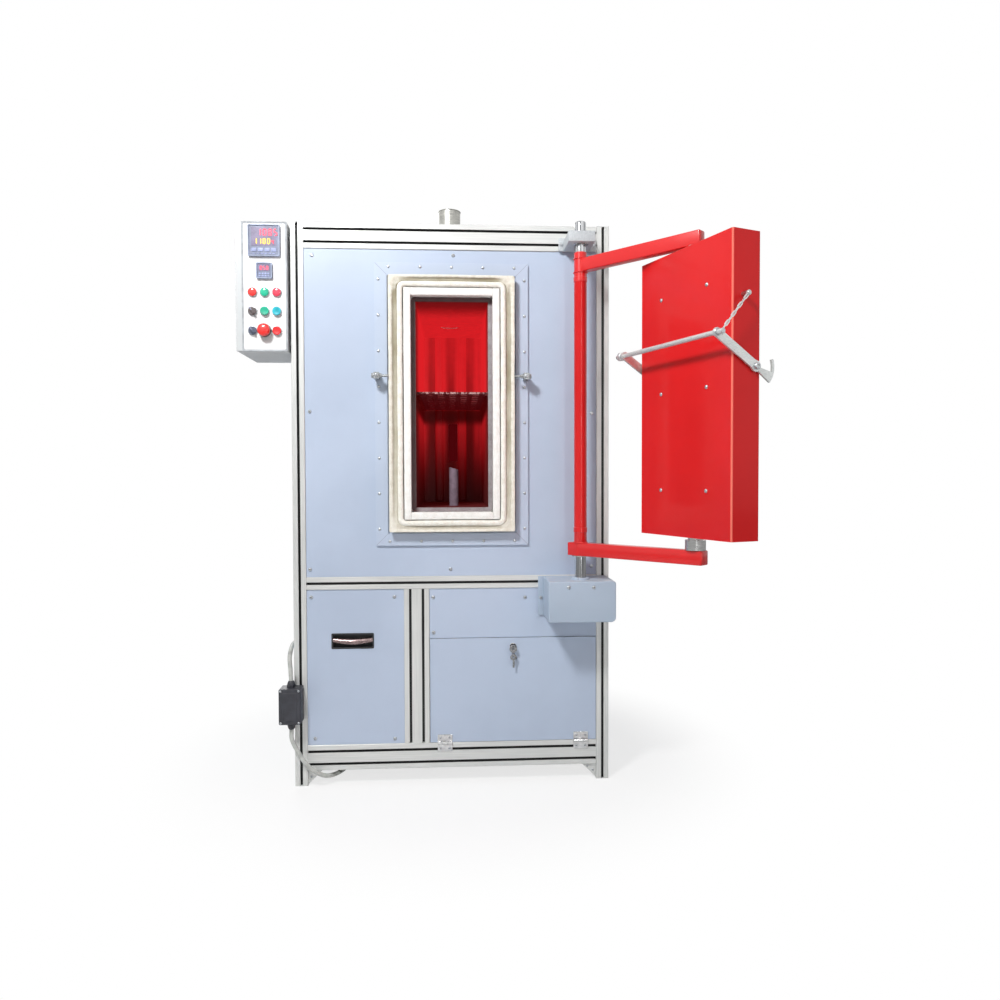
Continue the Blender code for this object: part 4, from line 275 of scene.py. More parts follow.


# %% [markdown]
# The frame is extruded aluminium, anodised satin. Extrusion leaves faint lines along each bar, so
# the noise is stretched along the bar's own direction. The slots are painted near black as shade:
# each bar gets its own finish, because what tells a slot from the skin is how deep a point lies
# below the bar's outer faces.

# %% Anodised aluminium
def slot_depth(tree, low, high, cross):
    """Mask of points more than a millimetre below the outer faces of a bar."""
    side = axes(tree, spot(tree, move=tuple(-(low + high) / 2)))
    below = [sums(tree, "SUBTRACT", (high[k] - low[k]) / 2, sums(tree, "ABSOLUTE", side["XYZ"[k]]))
             for k in cross]
    return ramp(tree, sums(tree, "MINIMUM", *below), 0.0009, 0.0021)


def extruded(name, stretch, bar=None, cross=(0, 1)):
    look, tree, shader = new_finish(name, metallic=0.25, roughness=0.4)
    where = spot(tree)
    lines = cloud(tree, spot(tree, stretch), 1.0, 4.0, 0.65)
    tone = mixed(tree, ramp(tree, lines, 0.3, 0.7), linear(202, 204, 202), linear(226, 227, 224))
    tone = mixed(tree, ramp(tree, cloud(tree, where, 3.0), 0.4, 0.7, 0.0, 0.25), tone,
                 linear(186, 188, 188))
    # Painted shade: hollows and the slots below the outer faces turn near black and lose their metal.
    slot_shade = use(tree, hollow_shade, Reach=0.014, Depth=0.6)
    if bar:
        slot_shade = sums(tree, "MAXIMUM", slot_shade, slot_depth(tree, *bar, cross))
    tone = mixed(tree, slot_shade, tone, linear(17, 18, 20))
    dust = sums(tree, "MULTIPLY", use(tree, settled_dust, Vector=where, Amount=0.35),
                sums(tree, "SUBTRACT", 1.0, slot_shade))
    plug(tree, shader["Base Color"], mixed(tree, dust, tone, linear(196, 192, 184)))
    plug(tree, shader["Metallic"], mixed(tree, slot_shade, 0.25, 0.0, "FLOAT"))
    rough = ramp(tree, lines, 0.3, 0.7, 0.30, 0.42)
    plug(tree, shader["Roughness"], sums(tree, "ADD", rough, sums(tree, "MULTIPLY", dust, 0.3)))
    plug(tree, shader["Normal"], raised(tree, lines, 0.12, 0.0006))
    return look


aluminium = {bar: extruded(bar + "_aluminium", (900, 900, 7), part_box(bar))
             for bar in ("post_front_left", "post_front_right", "divider_post")}
for bar in ("top_rail_front", "middle_rail_front"):
    aluminium[bar] = extruded(bar + "_aluminium", (7, 900, 900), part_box(bar), (1, 2))
lower_profile = (here(0, 0, 0.049), here(0, 0.040, 0.129))
aluminium["bottom_rail_front"] = extruded("bottom_rail_aluminium", (7, 900, 900), lower_profile, (1, 2))
aluminium["rear_frame"] = extruded("rear_frame_aluminium", (260, 260, 260))
print("aluminium finishes", len(aluminium))


# %% [markdown]
# The panels are steel sheet with a blue-grey powder coat. Baked powder has a fine orange peel and a
# satin gloss; it stays even in colour, so only wide, faint clouds and a little painted shade in the
# corners break it up. The flange has mitred corners, and its hairline joints are drawn by the finish.

# %% Powder coat
def powder_coated(name, colour, mitres=False):
    look, tree, shader = new_finish(name, roughness=0.42)
    where = spot(tree)
    light, dark = linear(*(c + 3 for c in colour)), linear(*(c - 5 for c in colour))
    tone = mixed(tree, ramp(tree, cloud(tree, where, 2.2, 4.0), 0.35, 0.68), light, dark)
    specks = ramp(tree, cloud(tree, where, 900.0, 1.0), 0.62, 0.75, 0.0, 0.16)
    tone = mixed(tree, specks, tone, linear(*(c - 34 for c in colour)))
    # Painted shade: corners and hollows darken towards a deep blue-grey.
    tone = mixed(tree, use(tree, hollow_shade, Reach=0.012, Depth=0.45), tone, linear(92, 98, 112))
    tone = mixed(tree, use(tree, rubbed_edge, Vector=where, Radius=0.0012), tone, linear(214, 218, 224))
    height = use(tree, sprayed_skin, Vector=where, Scale=520.0)
    if mitres:
        seam = mitre_line(tree)
        tone = mixed(tree, seam, tone, linear(138, 146, 164))
        height = sums(tree, "SUBTRACT", height, sums(tree, "MULTIPLY", seam, 2.0))
    dust = use(tree, settled_dust, Vector=where, Amount=0.5)
    plug(tree, shader["Base Color"], mixed(tree, dust, tone, linear(202, 200, 194)))
    plug(tree, shader["Roughness"], ramp(tree, cloud(tree, where, 14.0, 5.0), 0.3, 0.7, 0.38, 0.5))
    plug(tree, shader["Normal"], raised(tree, height, 0.22, 0.0004))
    return look


def mitre_line(tree):
    """Hairlines that run at 45 degrees from the flange's inner to its outer corners."""
    low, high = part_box("opening_flange")
    centre = (low + high) / 2
    side = axes(tree, spot(tree, move=tuple(-centre)))
    out_x = sums(tree, "SUBTRACT", sums(tree, "ABSOLUTE", side["X"]), (high.x - low.x) / 2)
    out_z = sums(tree, "SUBTRACT", sums(tree, "ABSOLUTE", side["Z"]), (high.z - low.z) / 2)
    off = sums(tree, "ABSOLUTE", sums(tree, "SUBTRACT", out_x, out_z))
    return ramp(tree, off, 0.0004, 0.0011, 1.0, 0.0)


panel_powder = powder_coated("panel_powder_coat", (180, 193, 213))
flange_powder = powder_coated("flange_powder_coat", (184, 196, 215), mitres=True)
cover_powder = powder_coated("cover_powder_coat", (168, 183, 200))
print("powder coats", panel_powder.name, flange_powder.name, cover_powder.name)


# %% [markdown]
# Door and swing arm are sprayed with a glossy red enamel. A clear coat on the shader gives the
# second, sharper reflection of enamel, the orange peel bends it, and the edges are a shade paler
# where the paint is thin. The bolts that are one piece with the door's shell stay bare steel, which
# a mask across the door's width takes care of; the folds beside its face get a painted highlight.

# %% Red enamel
def enamel(name, gloss, bare_beyond=None):
    look, tree, shader = new_finish(name, coat=gloss, specular=gloss)
    where = spot(tree)
    tone = mixed(tree, ramp(tree, cloud(tree, where, 2.6, 4.0), 0.35, 0.7), linear(214, 26, 28),
                 linear(205, 21, 23))
    # Painted shade: hollows darken to a deep red.
    tone = mixed(tree, use(tree, hollow_shade, Reach=0.02, Depth=0.4), tone, linear(110, 10, 12))
    tone = mixed(tree, use(tree, rubbed_edge, Vector=where, Radius=0.0025), tone, linear(230, 84, 74))
    scuffs = ramp(tree, cloud(tree, spot(tree, (60, 60, 9)), 1.0, 5.0, 0.75), 0.66, 0.74, 0.0, 0.08)
    tone = mixed(tree, scuffs, tone, linear(222, 84, 72))
    dust = use(tree, settled_dust, Vector=where, Amount=0.25)
    tone = mixed(tree, dust, tone, linear(214, 120, 112))
    rough = sums(tree, "ADD", ramp(tree, cloud(tree, where, 9.0, 5.0), 0.3, 0.7, 0.28, 0.36),
                 sums(tree, "MULTIPLY", dust, 0.3))
    if bare_beyond is not None:
        along = put(tree, "VectorMath", {"operation": "DOT_PRODUCT"})
        plug(tree, along.inputs[0], spot(tree, move=tuple(-door_axis)))
        plug(tree, along.inputs[1], tuple(door_wide))
        deep = put(tree, "VectorMath", {"operation": "DOT_PRODUCT"})
        plug(tree, deep.inputs[0], spot(tree, move=tuple(-door_axis)))
        plug(tree, deep.inputs[1], tuple(door_deep))
        wide = sums(tree, "ABSOLUTE", along.outputs["Value"])
        # Painted highlight: a pale line along the door's folded vertical edges.
        fold_highlight = sums(tree, "MULTIPLY", ramp(tree, wide, 0.1895, 0.1925),
                    ramp(tree, deep.outputs["Value"], -0.0425, -0.0395, 0.7, 0.0))
        tone = mixed(tree, fold_highlight, tone, linear(246, 136, 118))
        bare = ramp(tree, wide, bare_beyond, bare_beyond + 0.0004)
        tone = mixed(tree, bare, tone, linear(190, 192, 190))
        plug(tree, shader["Metallic"], bare)
        plug(tree, shader["Coat Weight"], mixed(tree, bare, gloss, 0.0, "FLOAT"))
    plug(tree, shader["Base Color"], tone)
    plug(tree, shader["Roughness"], rough)
    plug(tree, shader["Normal"], raised(tree, use(tree, sprayed_skin, Vector=where, Scale=260.0), 0.16,
                                        0.0006))
    return look


arm_enamel = enamel("arm_red_enamel", 0.4)
door_enamel = enamel("door_red_enamel", 0.18, bare_beyond=0.1953)
print("enamels", arm_enamel.name, door_enamel.name)


# %% [markdown]
# Bare metals differ in how they were worked: the pivots are turned, so rings run round them, while
# the chromed shaft gets dark lengthwise streaks as painted reflections; the bail is flat bar, drawn
# and plated; castings are grey and grainy. One function makes them all from a colour, a direction
# for the tool marks and a roughness.

# %% Bare metals
def worked_metal(name, dark, light, stretch, rough=(0.2, 0.36), metallic=1.0, marks=0.2):
    look, tree, shader = new_finish(name, metallic=metallic)
    where = spot(tree)
    lines = cloud(tree, spot(tree, stretch), 1.0, 5.0, 0.7)
    tone = mixed(tree, ramp(tree, lines, 0.3, 0.7), linear(*dark), linear(*light))
    tone = mixed(tree, ramp(tree, cloud(tree, where, 40.0, 4.0), 0.62, 0.8, 0.0, 0.35), tone,
                 linear(*(c * 0.7 for c in dark)))
    # Painted shade: hollows darken to near black.
    tone = mixed(tree, use(tree, hollow_shade, Reach=0.006, Depth=0.7), tone, linear(38, 36, 34))
    plug(tree, shader["Base Color"], tone)
    plug(tree, shader["Roughness"], ramp(tree, lines, 0.25, 0.75, rough[0], rough[1]))
    plug(tree, shader["Normal"], raised(tree, lines, marks, 0.0004))
    return look


turned_steel = worked_metal("turned_steel", (176, 177, 176), (214, 214, 212), (60, 60, 1500), (0.16, 0.30))
drawn_steel = worked_metal("drawn_bar_steel", (198, 202, 202), (230, 232, 230), (120, 120, 900),
                           (0.26, 0.42), 0.6)
zinc_plate = worked_metal("zinc_plated_steel", (168, 170, 170), (206, 207, 204), (200, 200, 200),
                          (0.3, 0.5), 0.85)
bright_chrome = worked_metal("bright_chrome", (196, 196, 196), (226, 226, 226), (90, 90, 90), (0.06, 0.16),
                             1.0, 0.05)
# Painted reflection: dark and light streaks along the shaft stand for what its chrome mirrors.
painted_reflection_chrome = worked_metal("shaft_chrome_painted_reflections", (52, 56, 60), (238, 240, 242), (420, 420, 1.5),
                            (0.06, 0.16), 0.9, 0.05)
keeper_steel = worked_metal("keeper_block_steel", (118, 122, 124), (188, 191, 192), (300, 300, 300),
                            (0.25, 0.4), 0.8)
grip_steel = worked_metal("grip_steel", (74, 60, 62), (176, 154, 152), (40, 700, 700), (0.18, 0.32), 0.85)
key_steel = worked_metal("worn_key_steel", (104, 106, 108), (160, 162, 164), (200, 200, 200), (0.25, 0.45),
                         0.9)
grey_casting = worked_metal("light_grey_casting", (172, 178, 182), (196, 200, 203), (300, 300, 300),
                            (0.42, 0.6), 0.15, 0.6)
flue_steel = worked_metal("flue_steel", (146, 146, 142), (196, 195, 188), (30, 30, 700), (0.25, 0.42), 0.7)
print("metals", len([m for m in bpy.data.materials if "steel" in m.name or "chrome" in m.name]))


# %% [markdown]
# Heat-proof fibre is matt and fluffy. Three sizes of noise give clumps, strands and pinholes, in
# the colour and in the bump. The seal's bed has a trough whose crease is painted a darker brown as
# shade, more towards the top: its depth picks that colour, so the painted shade follows the modelled
# shape.

# %% Ceramic fibre
def fibre(name, light, shade, crease_shade=None):
    look, tree, shader = new_finish(name, roughness=0.95, specular=0.2)
    where = spot(tree)
    clumps, strands = cloud(tree, where, 55.0, 5.0, 0.65), cloud(tree, where, 420.0, 4.0, 0.7)
    pits = ramp(tree, cloud(tree, where, 900.0, 2.0), 0.3, 0.42, 1.0, 0.0)
    tone = mixed(tree, ramp(tree, clumps, 0.35, 0.7), linear(*light), linear(*shade))
    tone = mixed(tree, sums(tree, "MULTIPLY", pits, 0.3), tone, linear(*(c - 60 for c in shade)))
    # Painted shade: the trough's crease turns darker brown, more towards the top.
    if crease_shade:
        depth = axes(tree, where)["Y"]
        deep = ramp(tree, sums(tree, "ADD", depth, sums(tree, "MULTIPLY", clumps, 0.003)), FRONT - 0.0315,
                    FRONT - 0.0275)
        upward_share = ramp(tree, axes(tree, where)["Z"], 0.80, 1.30, 0.5, 1.0)
        patchy = ramp(tree, cloud(tree, where, 9.0), 0.25, 0.75, 0.6, 1.0)
        tone = mixed(tree, sums(tree, "MULTIPLY", sums(tree, "MULTIPLY", deep, upward_share), patchy), tone,
                     linear(*crease_shade))
    # Painted shade: hollows darken.
    tone = mixed(tree, use(tree, hollow_shade, Reach=0.01, Depth=0.35), tone,
                 linear(*(c - 80 for c in shade)))
    plug(tree, shader["Base Color"], tone)
    height = sums(tree, "ADD", sums(tree, "MULTIPLY", clumps, 1.2), sums(tree, "SUBTRACT", strands, pits))
    plug(tree, shader["Normal"], raised(tree, height, 0.45, 0.0012))
    shader["Sheen Weight"].default_value = 0.25
    shader["Sheen Roughness"].default_value = 0.6
    return look


bed_fibre = fibre("seal_bed_fibre", (238, 235, 224), (224, 219, 204), crease_shade=(148, 139, 114))
rope_fibre = fibre("seal_rope_fibre", (244, 243, 235), (232, 228, 216))
board_fibre = fibre("face_board_fibre", (247, 247, 244), (238, 237, 232))
print("fibres", bed_fibre.name, rope_fibre.name, board_fibre.name)


# %% [markdown]
# Inside, heat-resisting steel glows dull red. The glow is emission, brightest on the two heating
# channels and near the sides of the back wall, and dying away towards the hearth, with a painted
# shadow just under the shelf; the lip at the mouth is in the cold air and stays grey, with painted
# shade darkening its left and top.

# %% Glowing chamber
OPENING_Z = (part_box("gasket_outer")[0].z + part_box("gasket_outer")[1].z) / 2


def glowing(name, ribs=False):
    look, tree, shader = new_finish(name, metallic=0.1, roughness=0.62)
    where = spot(tree)
    side = axes(tree, where)
    liner_low, liner_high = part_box("chamber_liner")
    shelf_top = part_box("shelf_grid")[1].z
    scale = cloud(tree, where, 26.0, 6.0, 0.7)
    streaks = cloud(tree, spot(tree, (60, 60, 3.0)), 1.0, 4.0)
    inside = ramp(tree, side["Y"], liner_low.y + 0.0062, liner_low.y + 0.0078)
    depth = ramp(tree, side["Y"], liner_low.y, liner_low.y + 0.30, 0.35, 1.0)
    upper = ramp(tree, side["Z"], shelf_top - 0.012, shelf_top + 0.012)
    lower = ramp(tree, side["Z"], liner_low.z, shelf_top - 0.05, 0.03, 0.62)
    # Painted shadow: the glow is dimmed just under the shelf.
    under = ramp(tree, side["Z"], shelf_top - 0.075, shelf_top - 0.035, 1.0, 0.25)
    lower = sums(tree, "MULTIPLY", lower, under)
    level = mixed(tree, upper, lower, 1.0, "FLOAT")
    glow = sums(tree, "MULTIPLY", sums(tree, "MULTIPLY", depth, level),
                ramp(tree, scale, 0.2, 0.8, 0.92, 1.06))
    glow = sums(tree, "MULTIPLY", glow, ramp(tree, streaks, 0.3, 0.7, 0.93, 1.05))
    if not ribs:
        across = sums(tree, "SUBTRACT", side["X"], MIDDLE)
        stripe = put(tree, "TexWave", {"wave_type": "BANDS", "bands_direction": "X", "wave_profile": "SIN"},
                     Scale=4.4, Distortion=0.4, Detail=1.0)
        plug(tree, stripe.inputs["Vector"], spot(tree, (1, 0.02, 0.02), (-MIDDLE + 0.008, 0, 0)))
        back = ramp(tree, side["Y"], liner_high.y - 0.03, liner_high.y - 0.012)
        fading = ramp(tree, side["Z"], shelf_top - 0.10, liner_high.z, 1.0, 0.4)
        bands = mixed(tree, fading, 1.0, ramp(tree, stripe.outputs[0], 0.0, 1.0, 0.5, 1.05), "FLOAT")
        glow = sums(tree, "MULTIPLY", glow, mixed(tree, back, 1.0, bands, "FLOAT"))
        edge = ramp(tree, sums(tree, "ABSOLUTE", across), 0.104, 0.112)
        glow = sums(tree, "MULTIPLY", glow, sums(tree, "ADD", sums(tree, "MULTIPLY", edge, 0.12), 0.95))
    hot = mixed(tree, ramp(tree, glow, 0.1, 0.9), linear(128, 6, 12), linear(204, 29, 35))
    power = sums(tree, "MULTIPLY", glow, inside)
    plug(tree, shader["Emission Color"], mixed(tree, power, (0, 0, 0, 1), hot))
    shader["Emission Strength"].default_value = 1.0
    # Painted shade: the lip is darker at its left and top.
    left_lip_shade = ramp(tree, side["X"], MIDDLE - 0.118, MIDDLE - 0.100, 0.85, 0.0)
    top_lip_shade = ramp(tree, side["Z"], OPENING_Z + 0.308, OPENING_Z + 0.322, 0.0, 0.9)
    lip_shade = sums(tree, "MAXIMUM", left_lip_shade, top_lip_shade)
    cold = mixed(tree, ramp(tree, scale, 0.35, 0.65), linear(134, 124, 126), linear(156, 150, 152))
    cold = mixed(tree, lip_shade, cold, linear(70, 42, 42))
    tone = mixed(tree, inside, cold, linear(88, 10, 12))
    plug(tree, shader["Base Color"], tone)
    plug(tree, shader["Normal"], raised(tree, scale, 0.3, 0.0008))
    return look


chamber_steel = glowing("glowing_chamber_steel")
rib_steel = glowing("heating_channel_steel", ribs=True)
print("chamber finishes", chamber_steel.name, rib_steel.name)


# %% [markdown]
# Plastics and paints are quieter. Moulded plastic has a fine spark-eroded grain, lenses are glossy
# and slightly lit from behind, and the control box and its plate wear the powder coat in greyish
# whites. The shelf is dark ceramic with a painted highlight along its front edge.

# %% Plastics, paint and lenses
def moulded(name, colour, rough=0.45, grain=900.0, coat=0.0, glow=None, strength=0.25):
    look, tree, shader = new_finish(name, roughness=rough, coat=coat)
    where = spot(tree)
    lift = tuple(min(255, c * 1.18 + 4) for c in colour)
    tone = mixed(tree, ramp(tree, cloud(tree, where, 35.0, 4.0), 0.3, 0.7), linear(*colour), linear(*lift))
    # Painted shade: hollows darken.
    tone = mixed(tree, use(tree, hollow_shade, Reach=0.005, Depth=0.5), tone,
                 linear(*(c * 0.35 for c in colour)))
    tone = mixed(tree, use(tree, rubbed_edge, Vector=where, Radius=0.0008), tone,
                 linear(*(min(255, c + 50) for c in colour)))
    plug(tree, shader["Base Color"], tone)
    if glow:
        facing = put(tree, "LayerWeight", Blend=0.35).outputs["Facing"]
        lit = ramp(tree, facing, 0.0, 0.8, strength, strength * 0.3)
        plug(tree, shader["Emission Color"], mixed(tree, lit, (0, 0, 0, 1), linear(*glow)))
        shader["Emission Strength"].default_value = 1.0
    grains = cloud(tree, where, grain, 2.0)
    plug(tree, shader["Roughness"], ramp(tree, grains, 0.3, 0.7, rough * 0.85, min(1.0, rough * 1.15)))
    plug(tree, shader["Normal"], raised(tree, grains, 0.18, 0.0003))
    return look


def shelf_finish():
    """Dark, hot ceramic whose front edge is painted pale and dotted as a highlight."""
    look, tree, shader = new_finish("shelf_ceramic", roughness=0.85)
    where = spot(tree)
    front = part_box("shelf_grid")[0].y
    # Painted highlight: the front edge is painted pale, broken into dots.
    edge = ramp(tree, axes(tree, where)["Y"], front + 0.0015, front + 0.0040, 1.0, 0.0)
    crumbs = ramp(tree, cloud(tree, spot(tree, (120, 60, 60)), 1.0, 2.0), 0.42, 0.56)
    tone = mixed(tree, ramp(tree, cloud(tree, where, 60.0, 4.0), 0.3, 0.7), linear(66, 10, 13),
                 linear(96, 16, 20))
    tone = mixed(tree, sums(tree, "MULTIPLY", edge, crumbs), tone, linear(178, 140, 138))
    plug(tree, shader["Base Color"], tone)
    plug(tree, shader["Emission Color"], mixed(tree, edge, linear(52, 3, 6), (0, 0, 0, 1)))
    shader["Emission Strength"].default_value = 1.0
    plug(tree, shader["Normal"], raised(tree, crumbs, 0.3, 0.0006))
    return look


plate_paint = powder_coated("white_plate_paint", (240, 240, 240))
box_paint = powder_coated("grey_white_box_paint", (200, 203, 204))
black_plastic = moulded("black_plastic", (30, 31, 34))
knob_brown = moulded("knob_brown_plastic", (88, 80, 80), 0.35)
knob_navy = moulded("knob_navy_plastic", (72, 78, 96), 0.35)
junction_plastic = moulded("junction_box_plastic", (44, 45, 51), 0.5)
controller_plastic = moulded("controller_plastic", (100, 107, 130), 0.4)
lens_red = moulded("red_lamp_lens", (206, 44, 40), 0.16, 300.0, 0.8, (230, 60, 50))
lens_green = moulded("green_lamp_lens", (20, 150, 118), 0.16, 300.0, 0.8, (40, 190, 150))
lens_pink = moulded("pink_lamp_lens", (196, 52, 74), 0.16, 300.0, 0.8, (226, 80, 100))
cap_green = moulded("green_button_plastic", (16, 150, 120), 0.3, 500.0, 0.4)
cap_cyan = moulded("cyan_button_plastic", (10, 160, 176), 0.3, 500.0, 0.4)
cap_red = moulded("red_button_plastic", (206, 26, 30), 0.3, 500.0, 0.4)
stop_red = moulded("emergency_stop_plastic", (214, 40, 36), 0.28, 500.0, 0.5)
jacket_grey = moulded("cable_jacket", (168, 170, 166), 0.55, 700.0)
tube_ceramic = moulded("riser_ceramic", (112, 96, 108), 0.75, 500.0)
shelf_ceramic = shelf_finish()
print("materials so far", len(bpy.data.materials))

# %% [markdown]
# The CAD nodes whose shape is right keep their mesh and only change their finish: one table says
# which node wears what.

# %% Finishes on the CAD nodes
finishes = {
    **{look: (bar,) for bar, look in aluminium.items()},
    panel_powder: ("front_panel", "lower_left_panel", "lower_fixed_strip", "lower_flap", "left_side_panel",
                   "right_side_panel", "rear_panel"),
    flange_powder: ("opening_flange",),
    cover_powder: ("bearing_cover",),
    arm_enamel: ("swing_arm",),
    door_enamel: ("door_shell",),
    turned_steel: ("hinge_shaft", "lower_pivot", "upper_pivot"),
    drawn_steel: ("bail_latch", "safety_chain"),
    keeper_steel: ("keeper_left", "keeper_right"),
    zinc_plate: ("oven_deck", "top_panel", "floor_panel", "power_unit"),
    bright_chrome: ("lock_barrel", "key"),
    grey_casting: ("top_shaft_bracket", "lower_bearing_block"),
    flue_steel: ("flue_pipe",),
    board_fibre: ("gasket_inner", "insulation_lining", "door_hot_face"),
    bed_fibre: ("gasket_outer",),
    chamber_steel: ("chamber_liner",),
    shelf_ceramic: ("shelf_grid",),
    tube_ceramic: ("riser_tube",),
    box_paint: ("control_box",),
    plate_paint: ("control_plate",),
    controller_plastic: ("controller_large", "controller_small"),
    black_plastic: ("recessed_handle", "bail_grip", "selector_upper", "selector_lower"),
    junction_plastic: ("junction_box",),
    lens_red: ("lamp_red",),
    lens_green: ("lamp_green",),
    lens_pink: ("lamp_pink",),
    cap_green: ("button_green",),
    cap_cyan: ("button_cyan",),
    cap_red: ("button_red",),
    stop_red: ("estop_head",),
}
for look, names in finishes.items():
    for name in names:
        frame["nodes"][name].data.materials.clear()
        frame["nodes"][name].data.materials.append(look)
dressed = {name for names in finishes.values() for name in names}
print("nodes still plain:", sorted(set(frame["nodes"]) - dressed))

# %% [markdown]
# Two grey cables leave the junction box. Each runs straight out of its gland, bends under its own
# weight and goes into the cabinet: the lower one round the foot and up through the floor, the upper
# one behind the post into the side. A curve with a round bevel keeps the thickness exact, and its
# points are the route of the CAD model.

# %% Cables
CABLE_RADIUS, STRAIGHT = 0.0068, 0.016


def smooth_way(points, step):
    """Even points on a smooth curve through the way points."""
    points = [Vector(p) for p in points]
    fine = []
    padded = [points[0] * 2 - points[1]] + points + [points[-1] * 2 - points[-2]]
    for i in range(1, len(padded) - 2):
        a, b, c, d = padded[i - 1:i + 3]
        for k in range(20):
            t = k / 20
            fine.append(0.5 * ((2 * b) + (c - a) * t + (2 * a - 5 * b + 4 * c - d) * t * t
                               + (3 * b - a - 3 * c + d) * t * t * t))
    fine.append(points[-1])
    total = sum((q - p).length for p, q in zip(fine, fine[1:]))
    count = max(6, round(total / step))
    spaced, walked = [fine[0]], 0.0
    for p, q in zip(fine, fine[1:]):
        length = (q - p).length
        while len(spaced) < count and walked + length >= len(spaced) * total / count:
            spaced.append(p.lerp(q, (len(spaced) * total / count - walked) / length))
        walked += length
    return spaced + [fine[-1]]


def cable(name, node, start, leaving, between, end, arriving):
    first, last = Vector(start) + Vector(leaving) * STRAIGHT, Vector(end) - Vector(arriving) * STRAIGHT
    way = [Vector(start)] + smooth_way([first] + list(between) + [last], CABLE_RADIUS * 0.9) + [Vector(end)]
    way = [here(*p) for p in way]
    curve = bpy.data.curves.new(name, "CURVE")
    curve.dimensions = "3D"
    curve.bevel_depth = CABLE_RADIUS
    curve.bevel_resolution = 5
    curve.use_fill_caps = True
    spline = curve.splines.new("POLY")
    spline.points.add(len(way) - 1)
    for point, spot_on_way in zip(spline.points, way):
        point.co = (*spot_on_way, 1.0)
    spline.use_smooth = True
    curve.materials.append(jacket_grey)
    piece = bpy.data.objects.new(name, curve)
    scene.collection.objects.link(piece)
    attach(piece, "cabinet")
    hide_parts(node)


LOWER_WAY = ((-0.5035, -0.0255, 0.1580), (-0.4860, -0.0270, 0.1220), (-0.4620, -0.0270, 0.0830),
             (-0.4320, -0.0200, 0.0520), (-0.4020, 0.0000, 0.0320), (-0.3750, 0.0350, 0.0255),
             (-0.3550, 0.0850, 0.0245), (-0.3430, 0.1300, 0.0295))
UPPER_WAY = ((-0.5070, -0.0200, 0.3750), (-0.5130, -0.0020, 0.4080), (-0.5170, 0.0400, 0.4300),
             (-0.5180, 0.0850, 0.4380))
cable("lower_cable", "cable_lower", (-0.5045, -0.0250, 0.2027), (0, 0, -1), LOWER_WAY,
      (-0.340, 0.150, 0.0597), (0, 0, 1))
cable("upper_cable", "cable_upper", (-0.5045, -0.0250, 0.3323), (0, 0, 1), UPPER_WAY,
      (-0.4943, 0.110, 0.440), (1, 0, 0))

# %% [markdown]
# New pieces are made in mesh code. `add_piece` closes a bmesh, points its faces outwards, smooths
# the rounded parts, lets the given body carry the piece and hides the CAD nodes it stands for.
# `outline` bevels the corners of a plane and keeps only its rim, and `band` bridges such rims into
# the soft rings round the opening.

# %% Helpers for making pieces
MERGED_WITHIN = 0.00002


def add_piece(name, bm, look, body="cabinet", covers=(), smooth=38):
    bmesh.ops.remove_doubles(bm, verts=bm.verts, dist=MERGED_WITHIN)
    bmesh.ops.recalc_face_normals(bm, faces=bm.faces)
    for face in bm.faces:
        face.smooth = True
    for edge in bm.edges:
        edge.smooth = edge.is_manifold and edge.calc_face_angle(0) < math.radians(smooth)
    mesh = bpy.data.meshes.new(name)
    bm.to_mesh(mesh)
    bm.free()
    piece = bpy.data.objects.new(name, mesh)
    scene.collection.objects.link(piece)
    mesh.materials.append(look)
    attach(piece, body)
    if covers:
        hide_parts(*covers)
    return piece


def outline(bm, half_x, half_z, radius, y, centre, cuts):
    """The rim of a rounded rectangle that faces the viewer, with its long sides cut for shaping."""
    corners = bmesh.ops.create_grid(bm, x_segments=1, y_segments=1, size=1)["verts"]
    bmesh.ops.scale(bm, verts=corners, vec=(half_x, half_z, 1))
    bmesh.ops.rotate(bm, verts=corners, matrix=Matrix.Rotation(math.pi / 2, 3, "X"))
    bmesh.ops.translate(bm, verts=corners, vec=here(centre[0], y, centre[1]))
    rim = bmesh.ops.bevel(bm, geom=corners, offset=radius, segments=4, profile=0.5,
                          affect="VERTICES", material=-1)["verts"]
    face = rim[0].link_faces[0]
    edges = sorted(face.edges, key=lambda edge: edge.calc_length())
    keep = list(edges)
    across = abs(edges[-1].verts[0].co.x - edges[-1].verts[1].co.x) > 1e-4
    bmesh.ops.delete(bm, geom=[face], context="FACES_ONLY")
    for pair, count in zip((edges[-2:], edges[-4:-2]), cuts if across else cuts[::-1]):
        keep += only(bmesh.types.BMEdge, bmesh.ops.subdivide_edges(bm, edges=pair, cuts=count)["geom"])
    return list({edge for edge in keep if edge.is_valid})


def only(kind, made):
    """The vertices, or the edges, among what an operator made."""
    return [item for item in made if isinstance(item, kind)]


def band(bm, rims):
    """Faces between neighbouring rims, and from the last rim back to the first."""
    for rim, following in zip(rims, rims[1:] + rims[:1]):
        bmesh.ops.bridge_loops(bm, edges=rim + following)


def box(bm, low, high, bevel=0.0, segments=2):
    low, high = Vector(low), Vector(high)
    verts = bmesh.ops.create_cube(bm, size=1)["verts"]
    bmesh.ops.scale(bm, verts=verts, vec=high - low)
    bmesh.ops.translate(bm, verts=verts, vec=(low + high) / 2)
    if bevel:
        edges = list({edge for vert in verts for edge in vert.link_edges})
        bmesh.ops.bevel(bm, geom=edges, offset=bevel, segments=segments, profile=0.5, affect="EDGES",
                        material=-1)


# %% [markdown]
# The seal between door and chamber is what a visitor sees first: a cream fibre bed with a trough
# that is painted darker as shade, a crowned rope that the door presses on, and a stiff white board
# round the throat. All are soft or crumbly, so after the rims are bridged the points wander a little
# with noise, and the trough grows shallower towards the corners, where the door presses least.

